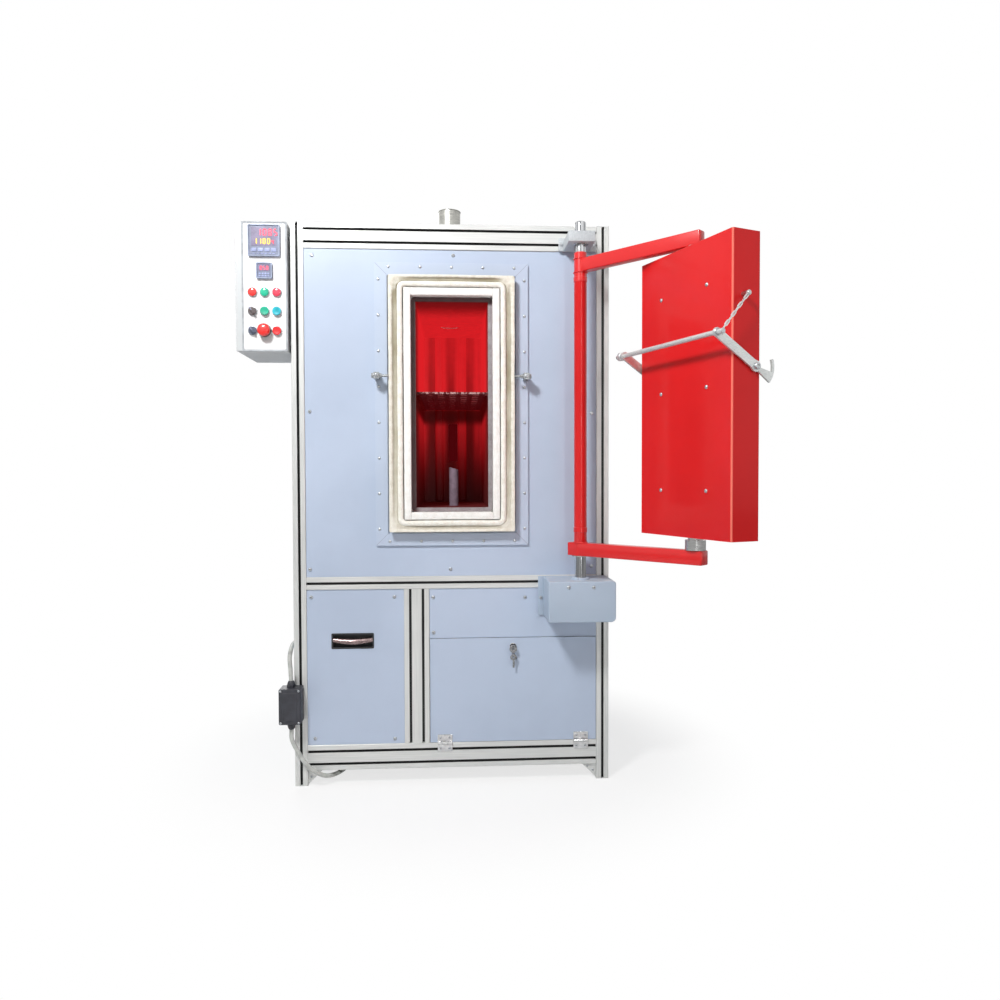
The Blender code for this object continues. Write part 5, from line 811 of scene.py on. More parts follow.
# %% Seal bed
seal_low, seal_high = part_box("gasket_outer")
face_low, face_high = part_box("gasket_inner")
SEAL_X, SEAL_Z = (seal_high.x - seal_low.x) / 2, (seal_high.z - seal_low.z) / 2
FACE_X, FACE_Z = (face_high.x - face_low.x) / 2, (face_high.z - face_low.z) / 2
SEAL_FRONT, FACE_FRONT = seal_low.y - FRONT, face_low.y - FRONT
SEAL_BACK, TROUGH_WIDTH = 0.0057, 0.027
CUTS = (16, 34)


def seal_rims(bm, profile, half_x, half_z, squeeze=1.0):
    """Rims of a profile given as (inset from the side, depth, corner radius)."""
    return [outline(bm, half_x - inset, half_z - inset * squeeze, radius, depth, (0, OPENING_Z), CUTS)
            for inset, depth, radius in profile]


# Blender seeds its vector noise from the clock, so a fixed seed keeps the fibre the same each run.
FIBRE_SEED = 7
noise.seed_set(FIBRE_SEED)


def wander(bm, across, deep, scale, seed):
    """Small uneven shifts, as in hand-laid fibre; the back stays where it is fixed."""
    for vert in bm.verts:
        if vert.co.y > FRONT - 0.004:
            continue
        shift = noise.noise_vector(vert.co * scale + Vector((seed, seed * 2, 0)))
        fine = noise.noise_vector(vert.co * scale * 4.3 + Vector((0, seed, seed)))
        vert.co += Vector((across * (shift.x + 0.4 * fine.x), deep * (shift.y + 0.5 * fine.y),
                           across * (shift.z + 0.4 * fine.z)))


def build_seal_bed():
    bm = bmesh.new()
    squeeze = (SEAL_Z - FACE_Z) / (SEAL_X - FACE_X)
    front = SEAL_FRONT
    profile = [(0.0, SEAL_BACK, 0.006), (0.0, front + 0.003, 0.006), (0.0008, front + 0.0008, 0.0055),
               (0.003, front, 0.005), (0.0075, front + 0.0002, 0.006), (0.0110, front + 0.0012, 0.010),
               (0.0135, front + 0.0050, 0.016), (0.0175, front + 0.0082, 0.020),
               (0.0215, front + 0.0084, 0.022), (0.0248, front + 0.0068, 0.024),
               (0.0275, front + 0.0100, 0.022), (0.0420, front + 0.0105, 0.012), (0.0420, SEAL_BACK, 0.012)]
    band(bm, seal_rims(bm, profile, SEAL_X, SEAL_Z, squeeze))
    for vert in bm.verts:
        side = vert.co - here(0, 0, OPENING_Z)
        inwards, along = sorted((SEAL_X - abs(side.x), SEAL_Z - abs(side.z)))
        fade = max(0.0, min(1.0, (0.085 - along) / 0.05))
        if inwards < TROUGH_WIDTH and vert.co.y < FRONT - 0.012:
            vert.co.y += (FRONT + front + 0.0016 - vert.co.y) * 0.8 * fade
    wander(bm, 0.0011, 0.0007, 14.0, 3.0)
    piece = add_piece("seal_bed", bm, bed_fibre, covers=("gasket_outer",), smooth=60)
    piece.modifiers.new("soften", "SUBSURF").levels = 1
    print("seal bed", [round(v * 1000) for v in piece.dimensions], "mm")


build_seal_bed()


# %% [markdown]
# The rope is what the door presses on, a ring of softer and whiter fibre. It is made like the bed,
# from rims bridged into a closed ring, but its profile is crowned.

# %% Seal rope
def build_seal_rope():
    bm = bmesh.new()
    front = FACE_FRONT
    profile = [(0.0008, front + 0.009, 0.020), (0.0000, front + 0.0030, 0.021),
               (0.0016, front - 0.0012, 0.020), (0.0050, front - 0.0036, 0.018),
               (0.0090, front - 0.0042, 0.016), (0.0130, front - 0.0036, 0.013),
               (0.0164, front - 0.0012, 0.010), (0.0178, front + 0.0030, 0.008),
               (0.0172, front + 0.009, 0.008)]
    band(bm, seal_rims(bm, profile, FACE_X, FACE_Z))
    wander(bm, 0.0010, 0.0008, 17.0, 9.0)
    piece = add_piece("seal_rope", bm, rope_fibre, smooth=70)
    piece.modifiers.new("soften", "SUBSURF").levels = 1
    print("seal rope", [round(v * 1000) for v in piece.dimensions], "mm")


build_seal_rope()

# %% [markdown]
# The board is four strips of pressed fibre with butt joints: the two uprights run through and the
# short pieces stand between them. Each strip is a cube with bevelled edges, cut crosswise so that
# its edges can crumble a little.

# %% Face board
THROAT_X, THROAT_Z = 0.128, 0.3375
BOARD_X, BOARD_Z = FACE_X - 0.0205, FACE_Z - 0.0205


def build_face_board():
    bm = bmesh.new()
    back = 0.0005
    for side in (-1, 1):
        inner, outer = sorted((side * THROAT_X, side * BOARD_X))
        box(bm, here(inner, FACE_FRONT, OPENING_Z - BOARD_Z), here(outer, back, OPENING_Z + BOARD_Z),
            0.0018)
        low, high = sorted((side * THROAT_Z, side * BOARD_Z))
        box(bm, here(-THROAT_X + 0.0004, FACE_FRONT + 0.0007, OPENING_Z + low),
            here(THROAT_X - 0.0004, back, OPENING_Z + high), 0.0018)
    long_edges = [edge for edge in bm.edges if edge.calc_length() > 0.1]
    bmesh.ops.subdivide_edges(bm, edges=long_edges, cuts=22, use_grid_fill=True)
    wander(bm, 0.0005, 0.0005, 40.0, 5.0)
    piece = add_piece("face_board", bm, board_fibre, covers=("gasket_inner",), smooth=45)
    print("face board", [round(v * 1000) for v in piece.dimensions], "mm", len(piece.data.polygons),
          "faces")


build_face_board()

# %% [markdown]
# On the back wall stand two heating channels, folded from sheet, with the flue slot between them.
# They glow brightest of all. Each is a box whose front edges are generously rounded.

# %% Heating channels
def build_channels():
    bm = bmesh.new()
    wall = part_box("chamber_liner")[1].y - 0.004
    floor, roof = OPENING_Z - 0.323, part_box("chamber_liner")[1].z - 0.006
    for middle in (-0.0535, 0.0365):
        low = Vector((MIDDLE + middle - 0.016, wall - 0.0175, floor))
        high = Vector((MIDDLE + middle + 0.016, wall - 0.0005, roof))
        verts = bmesh.ops.create_cube(bm, size=1)["verts"]
        bmesh.ops.scale(bm, verts=verts, vec=high - low)
        bmesh.ops.translate(bm, verts=verts, vec=(low + high) / 2)
        edges = {edge for vert in verts for edge in vert.link_edges}
        front = [edge for edge in edges if all(vert.co.y < wall - 0.01 for vert in edge.verts)]
        bmesh.ops.bevel(bm, geom=front, offset=0.009, segments=5, profile=0.5, affect="EDGES", material=-1)
    piece = add_piece("heating_channels", bm, rib_steel)
    print("channels", [round(v * 1000) for v in piece.dimensions], "mm")


build_channels()

# %% [markdown]
# The door's hot side is a block of fibre blanket: it is padded, so it bulges between the pins that
# hold it. It starts as a flat grid whose points are lifted by how far they lie from the pins and
# from the rim, and then its outer edge is extruded back to the shell and closed.

# %% Door pad
DOOR_LOW, DOOR_TALL, PAD_INSET, PAD_EDGE = 0.8112, 0.778, 0.0183, 0.002
PAD_LOW, PAD_HIGH = DOOR_LOW + PAD_INSET, DOOR_LOW + DOOR_TALL - PAD_INSET
PAD_MIDDLE, PAD_TALL, PAD_WIDE = (PAD_LOW + PAD_HIGH) / 2, (PAD_HIGH - PAD_LOW) / 2, 0.3837 / 2


def build_door_pad():
    bm = bmesh.new()
    grid = bmesh.ops.create_grid(bm, x_segments=24, y_segments=46, size=1)["verts"]
    for vert in grid:
        across, up = vert.co.x, vert.co.y
        rim = min(1 - abs(across), (1 - abs(up)) * PAD_TALL / PAD_WIDE) * PAD_WIDE
        crown = 1 - max(0.0, 1 - rim / 0.016) ** 2
        pins = math.cos(across * math.pi * 3) * math.cos(up * math.pi * 6)
        puff = 0.0016 * (0.5 + 0.5 * pins) + 0.0006 * noise.noise(Vector((across * 3, up * 6, 1)))
        deep = 0.0425 + 0.0104 * crown + puff * crown
        vert.co = on_door(across * (PAD_WIDE - PAD_EDGE), deep, PAD_MIDDLE + up * (PAD_TALL - PAD_EDGE))
    outer = [edge for edge in bm.edges if edge.is_boundary]
    made = bmesh.ops.extrude_edge_only(bm, edges=outer)["geom"]
    bmesh.ops.translate(bm, verts=only(bmesh.types.BMVert, made), vec=door_deep * -0.03)
    bmesh.ops.edgeloop_fill(bm, edges=[edge for edge in bm.edges if edge.is_boundary])
    piece = add_piece("door_pad", bm, rope_fibre, "door", covers=("door_hot_face",), smooth=60)
    print("door pad", len(piece.data.polygons), "faces")


build_door_pad()

# %% [markdown]
# Screws, nuts, knobs, glands and bent rods all come from one idea: a ring of points is extruded
# step by step, and each new ring is laid where the shape wants it. `loft` does that, `lathe` feeds
# it rings round an axis (round, hexagonal or cross-shaped), and `sweep` feeds it rings along a path.

# %% Helpers for turned and bent pieces
TO_FRONT, TO_LEFT, TO_RIGHT, TO_BACK, UP, DOWN = (Vector(v) for v in (
    (0, -1, 0), (-1, 0, 0), (1, 0, 0), (0, 1, 0), (0, 0, 1), (0, 0, -1)))


def circle(count):
    """Angles of evenly spaced points, once round."""
    return [2 * math.pi * k / count for k in range(count)]


def loft(bm, rings, looped=False):
    order = bmesh.ops.create_circle(bm, segments=len(rings[0]), radius=1)["verts"]
    edges = first = list({edge for vert in order for edge in vert.link_edges})
    for index, ring in enumerate(rings + rings[:1] if looped else rings):
        if index:
            made = bmesh.ops.extrude_edge_only(bm, edges=edges)["geom"]
            fresh = set(only(bmesh.types.BMVert, made))
            above = {edge.other_vert(vert): vert for vert in fresh for edge in vert.link_edges
                     if edge.other_vert(vert) not in fresh}
            order = [above[vert] for vert in order]
            edges = [edge for edge in only(bmesh.types.BMEdge, made) if edge.is_boundary]
        for vert, point in zip(order, ring):
            vert.co = point
    if not looped:
        for rim in (first, edges):
            bmesh.ops.edgeloop_fill(bm, edges=rim)


def ring_share(shape, turn):
    """How far a ring of this shape reaches at an angle, as a share of its radius."""
    if shape == "hex":
        return math.cos(math.pi / 6) / math.cos(turn % (math.pi / 3) - math.pi / 6)
    if shape == "cross":
        folded = abs((turn + math.pi / 4) % (math.pi / 2) - math.pi / 4)
        return 1.0 if folded < 0.3 else 0.28 / math.sin(folded)
    return 1.0


def lathe(bm, rings, place, direction, segments=24, looped=False):
    """Rings of (height, radius) or (height, radius, shape) above a place, along a direction."""
    turn = Vector(direction).to_track_quat("Z", "Y").to_matrix()
    turns, laid = circle(segments), []
    for height, radius, *shape in rings:
        reach = [max(radius, 0.000004) * ring_share(shape[0] if shape else "", t) for t in turns]
        laid.append([Vector(place) + turn @ Vector((r * math.cos(t), r * math.sin(t), height))
                     for r, t in zip(reach, turns)])
    loft(bm, laid, looped)


def sweep(bm, path, radius, normal, segments, looped=False):
    """A round bar along a path that lies in one plane; its radius may change on the way."""
    count, rings = len(path), []
    for index, point in enumerate(path):
        after = path[(index + 1) % count] if looped else path[min(index + 1, count - 1)]
        before = path[index - 1] if looped else path[max(index - 1, 0)]
        side = (after - before).normalized().cross(normal)
        thick = radius[index] if isinstance(radius, list) else radius
        rings.append([point + side * (thick * math.cos(turn)) + normal * (thick * math.sin(turn))
                      for turn in circle(segments)])
    loft(bm, rings, looped)


def shaped_box(bm, low, high, bevel, segments, to):
    """A box with rounded edges, given in the directions of the piece that carries it."""
    first = len(bm.verts)
    box(bm, low, high, bevel, segments)
    bm.verts.ensure_lookup_table()
    for vert in bm.verts[first:]:
        vert.co = to(*vert.co)


def rounded(centre, half_x, half_z, radius, y, steps=5):
    """Points round a rectangle with round corners that faces the viewer."""
    ring = []
    for quarter, (side_x, side_z) in enumerate(((1, 1), (-1, 1), (-1, -1), (1, -1))):
        for step in range(steps):
            turn = math.pi / 2 * (quarter + step / (steps - 1))
            ring.append(here(centre[0] + side_x * (half_x - radius) + radius * math.cos(turn), y,
                             centre[1] + side_z * (half_z - radius) + radius * math.sin(turn)))
    return ring


def plate(bm, centre, half_x, half_z, radius, back, front, edge):
    """A flat plate that faces the viewer, with round corners and a broken front edge."""
    loft(bm, [rounded(centre, half_x, half_z, radius, back),
              rounded(centre, half_x, half_z, radius, front + edge),
              rounded(centre, half_x - edge, half_z - edge, max(radius - edge, 0.0004), front)])


# %% [markdown]
# A screw head is a list of rings: how high each lies above the seat, how wide it is, and whether it
# is round, hexagonal or a cross. The last rings sink back in and make the socket, and `screws` sets
# one head on each place.

# %% Screw heads
def button_head(r):
    return [(-0.0006, r), (0.0006, r), (0.30 * r, 0.92 * r), (0.50 * r, 0.72 * r), (0.58 * r, 0.52 * r),
            (0.56 * r, 0.47 * r, "hex"), (0.16 * r, 0.44 * r, "hex")]


def pan_head(r):
    return [(-0.0006, r), (0.0005, r), (0.32 * r, 0.95 * r), (0.52 * r, 0.76 * r), (0.56 * r, 0.62 * r),
            (0.55 * r, 0.56 * r, "cross"), (0.2 * r, 0.48 * r, "cross")]


def dome_head(r):
    return [(-0.0006, r), (0.0003, r), (0.28 * r, 0.94 * r), (0.48 * r, 0.76 * r), (0.60 * r, 0.48 * r),
            (0.64 * r, 0)]


def rivet_head(r):
    return [(-0.0004, r), (0.0003, r), (0.0014, 0.90 * r), (0.0021, 0.70 * r), (0.0026, 0.42 * r),
            (0.0028, 0)]


def hex_head(r):
    return [(-0.0006, 1.35 * r), (0.10 * r, 1.35 * r), (0.18 * r, 1.25 * r), (0.18 * r, 1.1 * r, "hex"),
            (0.82 * r, 1.1 * r, "hex"),
            (0.95 * r, 0.9 * r), (0.98 * r, 0)]


def screws(name, head, radius, places, direction, look, body="cabinet"):
    bm = bmesh.new()
    for place in places:
        lathe(bm, head(radius), place, direction)
    add_piece(name, bm, look, body)
    print(name, len(places))


# %% [markdown]
# A few more finishes: plated screws, satin rings, glowing digits, and a painted shade, near black
# with a faint red glow, for the slot behind the chamber and for the throttle in the flue, where
# nothing but shadow and a little heat is seen.

# %% More finishes
screw_steel = worked_metal("plated_screw_steel", (160, 164, 168), (206, 209, 212), (500, 500, 500),
                           (0.22, 0.38), 0.9, 0.1)
ring_metal = worked_metal("satin_ring_metal", (176, 180, 184), (210, 213, 216), (200, 200, 200),
                          (0.3, 0.45), 0.5, 0.1)
# Painted shade: near black with a faint red glow, for passages that show only shadow.
passage_shade = moulded("hot_passage_shade", (34, 6, 8), 0.9, 400.0, glow=(96, 4, 12), strength=0.5)
stop_collar = moulded("stop_collar_plastic", (92, 80, 78), 0.4, 600.0)
keypad = moulded("keypad_rubber", (138, 147, 182), 0.5, 500.0)
window = moulded("display_window", (108, 100, 126), 0.25, 500.0, 0.3)
bezel_plastic = moulded("bezel_plastic", (136, 146, 168), 0.35, 700.0, 0.2)
gasket_rubber = moulded("plate_gasket_rubber", (146, 150, 154), 0.6, 500.0)
cap_plastic = moulded("end_cap_plastic", (196, 198, 198), 0.5, 500.0)
digit_red = moulded("digit_red", (236, 64, 84), 0.3, 500.0, glow=(250, 60, 80), strength=0.9)
digit_amber = moulded("digit_amber", (238, 178, 60), 0.3, 500.0, glow=(250, 190, 60), strength=0.9)
print("materials", len(bpy.data.materials))

# %% [markdown]
# Sheet panels are held by button-head screws with a hexagon socket. Those on the front stand where
# the photograph shows them; the side, back and top panels get them along their edges, as such
# cabinets have.

# %% Panel screws
PANEL_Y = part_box("front_panel")[0].y - FRONT
FRONT_SCREW, SIDE_SCREW, RIVET = 0.0060, 0.0050, 0.0048
front_places = ((-0.434, 1.669), (0.005, 1.674), (-0.445, 1.183), (-0.448, 0.687), (-0.007, 0.684),
                (0.445, 1.180), (0.445, 1.640), (0.445, 0.690), (-0.4456, 0.5994), (-0.1854, 0.5977),
                (-0.437, 0.150), (-0.186, 0.144), (-0.0624, 0.595), (-0.062, 0.482), (0.2308, 0.5914))
front_spots = [here(x, PANEL_Y, z) for x, z in front_places]
screws("front_screws", button_head, FRONT_SCREW, front_spots, TO_FRONT, screw_steel)
flange_low, flange_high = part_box("opening_flange")
flange_x, flange_z = (flange_high.x - flange_low.x) / 2, (flange_high.z - flange_low.z) / 2
rivets = [(across * (flange_x - 0.0435) / 2, side * (flange_z - 0.0130))
          for side in (-1, 1) for across in range(-2, 3)]
rivets += [(side * (flange_x - 0.0115), (2 * step / 7 - 1) * (flange_z - 0.0525))
           for side in (-1, 1) for step in range(8)]
rivet_spots = [here(x, flange_low.y - FRONT + 0.0016, OPENING_Z + z) for x, z in rivets]
screws("flange_rivets", rivet_head, RIVET, rivet_spots, TO_FRONT, screw_steel)
side_y, side_z = (0.058, 0.330, 0.620, 0.892), (0.108, 0.510, 0.910, 1.310, 1.711)
edge_spots = [(y, z) for y in side_y for z in side_z
              if y in (side_y[0], side_y[-1]) or z in (side_z[0], side_z[-1])]
left_x, right_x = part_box("left_side_panel")[0].x - MIDDLE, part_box("right_side_panel")[1].x - MIDDLE
for name, x, way in (("left", left_x, TO_LEFT), ("right", right_x, TO_RIGHT)):
    side_spots = [here(x, y, z) for y, z in edge_spots]
    screws(name + "_side_screws", button_head, SIDE_SCREW, side_spots, way, screw_steel)
back_y, top_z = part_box("rear_panel")[1].y - FRONT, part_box("top_panel")[1].z
back_spots = [here(x, back_y, z) for x in (-0.480, 0.0, 0.480) for z in (0.070, 0.490, 0.910, 1.330, 1.750)
              if x or z in (0.070, 1.750)]
screws("rear_screws", button_head, SIDE_SCREW, back_spots, TO_BACK, screw_steel)
top_spots = [here(x, y, top_z) for x in (-0.440, 0.0, 0.440) for y in (0.060, 0.475, 0.890)
             if x or y != 0.475]
screws("top_screws", button_head, SIDE_SCREW, top_spots, UP, screw_steel)

# %% [markdown]
# The back panel breathes through pressed louvres behind the power unit, and the mains cable comes
# in through a gland beside them. A louvre is a bump with long round edges, so a box with a wide
# bevel is close to the pressed shape.

# %% Back panel
def build_back():
    bm = bmesh.new()
    for column in (-0.17, 0.09):
        for row in range(9):
            z = 0.150 + row * 0.030
            box(bm, here(column - 0.070, back_y - 0.0010, z),
                here(column + 0.070, back_y + 0.0050, z + 0.013), 0.0040, 3)
    add_piece("rear_louvres", bm, panel_powder)
    bm = bmesh.new()
    lathe(bm, [(-0.0006, 0.0190, "hex"), (0.0080, 0.0190, "hex"), (0.0088, 0.0176), (0.0180, 0.0168),
               (0.0250, 0.0140), (0.0290, 0.0105),
               (0.0290, 0.0080), (0.0200, 0.0076), (0.0200, 0)], here(0.310, back_y, 0.160), TO_BACK)
    add_piece("mains_gland", bm, black_plastic)


build_back()

# %% [markdown]
# The flue leaves through a pressed collar on the lid, its top edge is rolled over, and a throttle
# plate inside, dark with painted shade, keeps the sky from showing through. A glowing baffle
# closes the liner's ceiling hole and a lining of painted shade closes the slot in its back, because
# behind them only hot passages are seen.

# %% Flue and passages
def build_flue():
    flue_low, flue_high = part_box("flue_pipe")
    middle, radius = (flue_low + flue_high) / 2, (flue_high.x - flue_low.x) / 2
    foot = Vector((middle.x, middle.y, top_z))
    bm = bmesh.new()
    lathe(bm, [(0.0002, radius + 0.0250), (0.0020, radius + 0.0250), (0.0034, radius + 0.0236),
               (0.0040, radius + 0.0080), (0.0060, radius + 0.0046), (0.0220, radius + 0.0030),
               (0.0230, radius + 0.0016), (0.0222, radius + 0.0003), (0.0002, radius + 0.0003)],
          foot, UP, 48, looped=True)
    add_piece("flue_collar", bm, zinc_plate)
    spots = [foot + Vector((math.cos(turn), math.sin(turn), 0)) * (radius + 0.0165) + Vector((0, 0, 0.0036))
             for turn in (0.8, 2.37, 3.94, 5.51)]
    screws("flue_screws", pan_head, 0.0042, spots, UP, screw_steel)
    bm = bmesh.new()
    rim_middle = Vector((middle.x, middle.y, flue_high.z - 0.0018))
    rim = [rim_middle + Vector((math.cos(turn), math.sin(turn), 0)) * (radius + 0.0002)
           for turn in circle(48)]
    sweep(bm, rim, 0.0016, UP, 8, looped=True)
    seam = [(0, radius + 0.0002), (0.0006, radius + 0.0013), (0.0024, radius + 0.0013),
            (0.0030, radius + 0.0002)]
    lathe(bm, seam, Vector((middle.x, middle.y, 1.835)), UP, 48, looped=True)
    add_piece("flue_rim", bm, flue_steel)
    bm = bmesh.new()
    lathe(bm, [(0, 0), (0, radius - 0.0035), (0.0012, radius - 0.0034), (0.0012, 0)],
          Vector((middle.x, middle.y, 1.890)), (0.10, 0.05, 1), 36)
    # Painted shade: a dark throttle plate inside the flue.
    add_piece("flue_throttle", bm, passage_shade)


def build_passages():
    liner_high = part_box("chamber_liner")[1]
    roof, wall = liner_high.z, liner_high.y
    bm = bmesh.new()
    lathe(bm, [(-0.0036, 0), (-0.0036, 0.0390), (0.0040, 0.0390), (0.0040, 0)], here(-0.009, 0.430, roof),
          UP, 40)
    add_piece("ceiling_baffle", bm, chamber_steel)
    bm = bmesh.new()
    box(bm, (MIDDLE - 0.0176, wall - 0.0032, 1.0404), (MIDDLE + 0.0176, wall + 0.004, 1.1896), 0.0006, 1)
    # Painted shade: a dark lining in the slot behind the back wall.
    add_piece("shaded_slot_lining", bm, passage_shade)


build_flue()
build_passages()

# %% [markdown]
# The bearing cover is folded sheet, so its corners are generously round, the lower right one most
# of all. It is one box whose edges are bevelled one after the other, each with its own radius; a
# thin ear at the left takes the third screw and a pressed boss guides the shaft.

# %% Bearing cover
SHAFT_X, SHAFT_Y = 0.394, -0.090
COVER_TOP = 0.660


def round_edges(bm, picks, offset, segments=4):
    edges = [edge for edge in bm.edges
             if picks((edge.verts[0].co + edge.verts[1].co) / 2 - here(0, 0, 0), edge)]
    bmesh.ops.bevel(bm, geom=edges, offset=offset, segments=segments, profile=0.5, affect="EDGES",
                    material=-1)


def lengthwise(edge):
    return abs(edge.verts[0].co.y - edge.verts[1].co.y) > 0.1


def build_cover():
    left, right, front, low = 0.2890, 0.4950, -0.1450, 0.5350
    bm = bmesh.new()
    box(bm, here(left, front, low), here(right, -0.0003, COVER_TOP))
    round_edges(bm, lambda at, edge: lengthwise(edge) and at.x > right - 0.001 and at.z < low + 0.001,
                0.0150, 6)
    round_edges(bm, lambda at, edge: lengthwise(edge) and at.x > right - 0.001 and at.z > COVER_TOP - 0.001,
                0.0090, 5)
    round_edges(bm, lambda at, edge: lengthwise(edge) and at.x < left + 0.001, 0.0045, 4)
    round_edges(bm, lambda at, edge: all(abs(v.co.y - here(0, front, 0).y) < 1e-5 for v in edge.verts),
                0.0042, 4)
    box(bm, here(0.2720, -0.0026, low), here(left + 0.004, -0.0003, COVER_TOP), 0.0009)
    lathe(bm, [(-0.0008, 0.0275), (0.0030, 0.0270), (0.0060, 0.0252), (0.0072, 0.0228), (0.0066, 0.0195),
               (-0.0008, 0.0190)],
          here(SHAFT_X, SHAFT_Y, COVER_TOP), UP, 40, looped=True)
    add_piece("bearing_cover_shell", bm, cover_powder, covers=("bearing_cover",), smooth=32)
    spots = [here(0.350, front, 0.6426), here(0.4263, front, 0.6418), here(0.2810, -0.0026, 0.5907)]
    screws("cover_screws", button_head, 0.0058, spots, TO_FRONT, screw_steel)


build_cover()

# %% [markdown]
# The arm is welded: a tube on the shaft, two square bars coped round it, a ring of weld bead at
# each joint and a cap on the open ends. The shaft is chromed, a close fit in the tube, with a steel
# bush where it leaves the top bracket.

# %% Swing arm, shaft and bracket
carrier_axis = Vector(joints["carrier_swing"]["pos_m"]) * Vector((1, 1, 0))
arm_long = (door_axis - carrier_axis).normalized()
arm_side = Vector((0, 0, 1)).cross(arm_long)
REACH = (door_axis - carrier_axis).length


def on_arm(along, side, z):
    return carrier_axis + arm_long * along + arm_side * side + Vector((0, 0, z))


def build_arm():
    bm = bmesh.new()
    outer, bore = 0.0195, 0.0176
    rings = [(0.7345, bore), (0.7345, outer)]
    for z in (0.805, 1.570):
        rings += [(z, outer), (z + 0.0010, outer + 0.0006), (z + 0.0016, 0.0210), (z + 0.0150, 0.0210),
                  (z + 0.0160, outer)]
    rings += [(1.6588, outer), (1.6600, outer - 0.0010), (1.6600, bore)]
    lathe(bm, rings, carrier_axis, UP, 40, looped=True)
    for z, start, end, half in ((0.734, -0.0360, REACH + 0.028, 0.019),
                                (1.600, 0.0120, REACH + 0.016, 0.0145)):
        shaped_box(bm, (start, -half, z), (end, half, z + 0.040), 0.0028, 3, to=on_arm)
    add_piece("welded_arm", bm, arm_enamel, "carrier", covers=("swing_arm",), smooth=34)
    bm = bmesh.new()
    for z in (0.7748, 1.5992, 1.6408):
        bead = [on_arm(0.0206 * math.cos(turn), 0.0206 * math.sin(turn), z) for turn in circle(60)]
        sweep(bm, bead, [0.0017 + 0.0004 * math.sin(k * 2.1) for k in range(60)], UP, 8, looped=True)
    add_piece("weld_beads", bm, arm_enamel, "carrier", smooth=60)
    bm = bmesh.new()
    shaped_box(bm, (REACH + 0.0272, -0.0155, 0.7375), (REACH + 0.0292, 0.0155, 0.7705), 0.0016, 2,
               to=on_arm)
    shaped_box(bm, (-0.0378, -0.0155, 0.7375), (-0.0352, 0.0155, 0.7705), 0.0016, 2, to=on_arm)
    shaped_box(bm, (REACH + 0.0152, -0.0115, 1.6035), (REACH + 0.0172, 0.0115, 1.6365), 0.0016, 2,
               to=on_arm)
    add_piece("arm_plugs", bm, arm_enamel, "carrier")


def build_shaft():
    bm = bmesh.new()
    rings = [(0.560, 0), (0.560, 0.0160), (0.5612, 0.0172), (1.7460, 0.0172), (1.7505, 0.0168),
             (1.7528, 0.0150), (1.7528, 0.0040),
             (1.7498, 0.0030), (1.7498, 0)]
    lathe(bm, rings, here(SHAFT_X, SHAFT_Y, 0), UP, 48)
    add_piece("ground_shaft", bm, painted_reflection_chrome, covers=("hinge_shaft",))
    bm = bmesh.new()
    washer = [(0.0, 0.0176), (0.0, 0.0260), (0.0018, 0.0262), (0.0028, 0.0252), (0.0028, 0.0176)]
    lathe(bm, washer, here(SHAFT_X, SHAFT_Y, 0.7312), UP, 40, looped=True)
    add_piece("thrust_washer", bm, turned_steel)


def build_bracket():
    bm = bmesh.new()
    box(bm, here(SHAFT_X - 0.041, -0.1220, 1.6860), here(SHAFT_X + 0.041, -0.0100, 1.7190), 0.0022, 3)
    box(bm, here(SHAFT_X - 0.056, -0.0115, 1.6880), here(SHAFT_X + 0.062, -0.0003, 1.7290), 0.0020, 3)
    add_piece("shaft_bracket", bm, grey_casting, covers=("top_shaft_bracket",))
    bm = bmesh.new()
    bush = [(0.0, 0.0175), (0.0, 0.0235), (0.0016, 0.0235), (0.0024, 0.0222), (0.0024, 0.0175)]
    for z, way in ((1.7188, UP), (1.6862, DOWN)):
        lathe(bm, bush, here(SHAFT_X, SHAFT_Y, z), way, 40, looped=True)
    add_piece("shaft_bushes", bm, turned_steel)
    spots = [here(SHAFT_X - 0.0485, -0.0115, 1.7085), here(SHAFT_X + 0.0515, -0.0115, 1.7085)]
    screws("bracket_screws", hex_head, 0.0045, spots, TO_FRONT, screw_steel)


build_arm()
build_shaft()
build_bracket()
print("arm reach", round(REACH, 4))

# %% [markdown]
# The door carries six domed screws on its face, cap bolts for the bail at its sides and rows of
# ceramic-headed pins that hold the hot pad. The bail's rod ends in washers, and a steel hub with a
# short threaded stub stands at its left end.

# %% Door and bail hardware
BAIL_Z, ROD_END = 1.251, 0.2048


def build_door_hardware():
    spots = [on_door(x, -0.0443, z) for x in (-0.0975, 0.0975) for z in (1.470, 1.207, 0.938)]
    screws("door_screws", dome_head, 0.0056, spots, -door_deep, screw_steel, "door")
    bm = bmesh.new()
    bolt = [(0, 0.0089), (0.0052, 0.0089), (0.0066, 0.0078), (0.0071, 0.0050), (0.0070, 0.0044, "hex"),
            (0.0040, 0.0042, "hex")]
    for side in (-1, 1):
        lathe(bm, bolt, on_door(side * 0.2050, 0.024, BAIL_Z), door_wide * side)
    add_piece("bail_bolt_heads", bm, screw_steel, "door")
    tall, wide = PAD_TALL - PAD_EDGE, PAD_WIDE - PAD_EDGE
    shares = [(across / 3, up / 6) for across in range(-2, 3) for up in range(-5, 6) if (across + up) % 2]
    spots = [on_door(across * wide, 0.0528, PAD_MIDDLE + up * tall) for across, up in shares]
    screws("pad_pins", dome_head, 0.0080, spots, door_deep, tube_ceramic, "door")


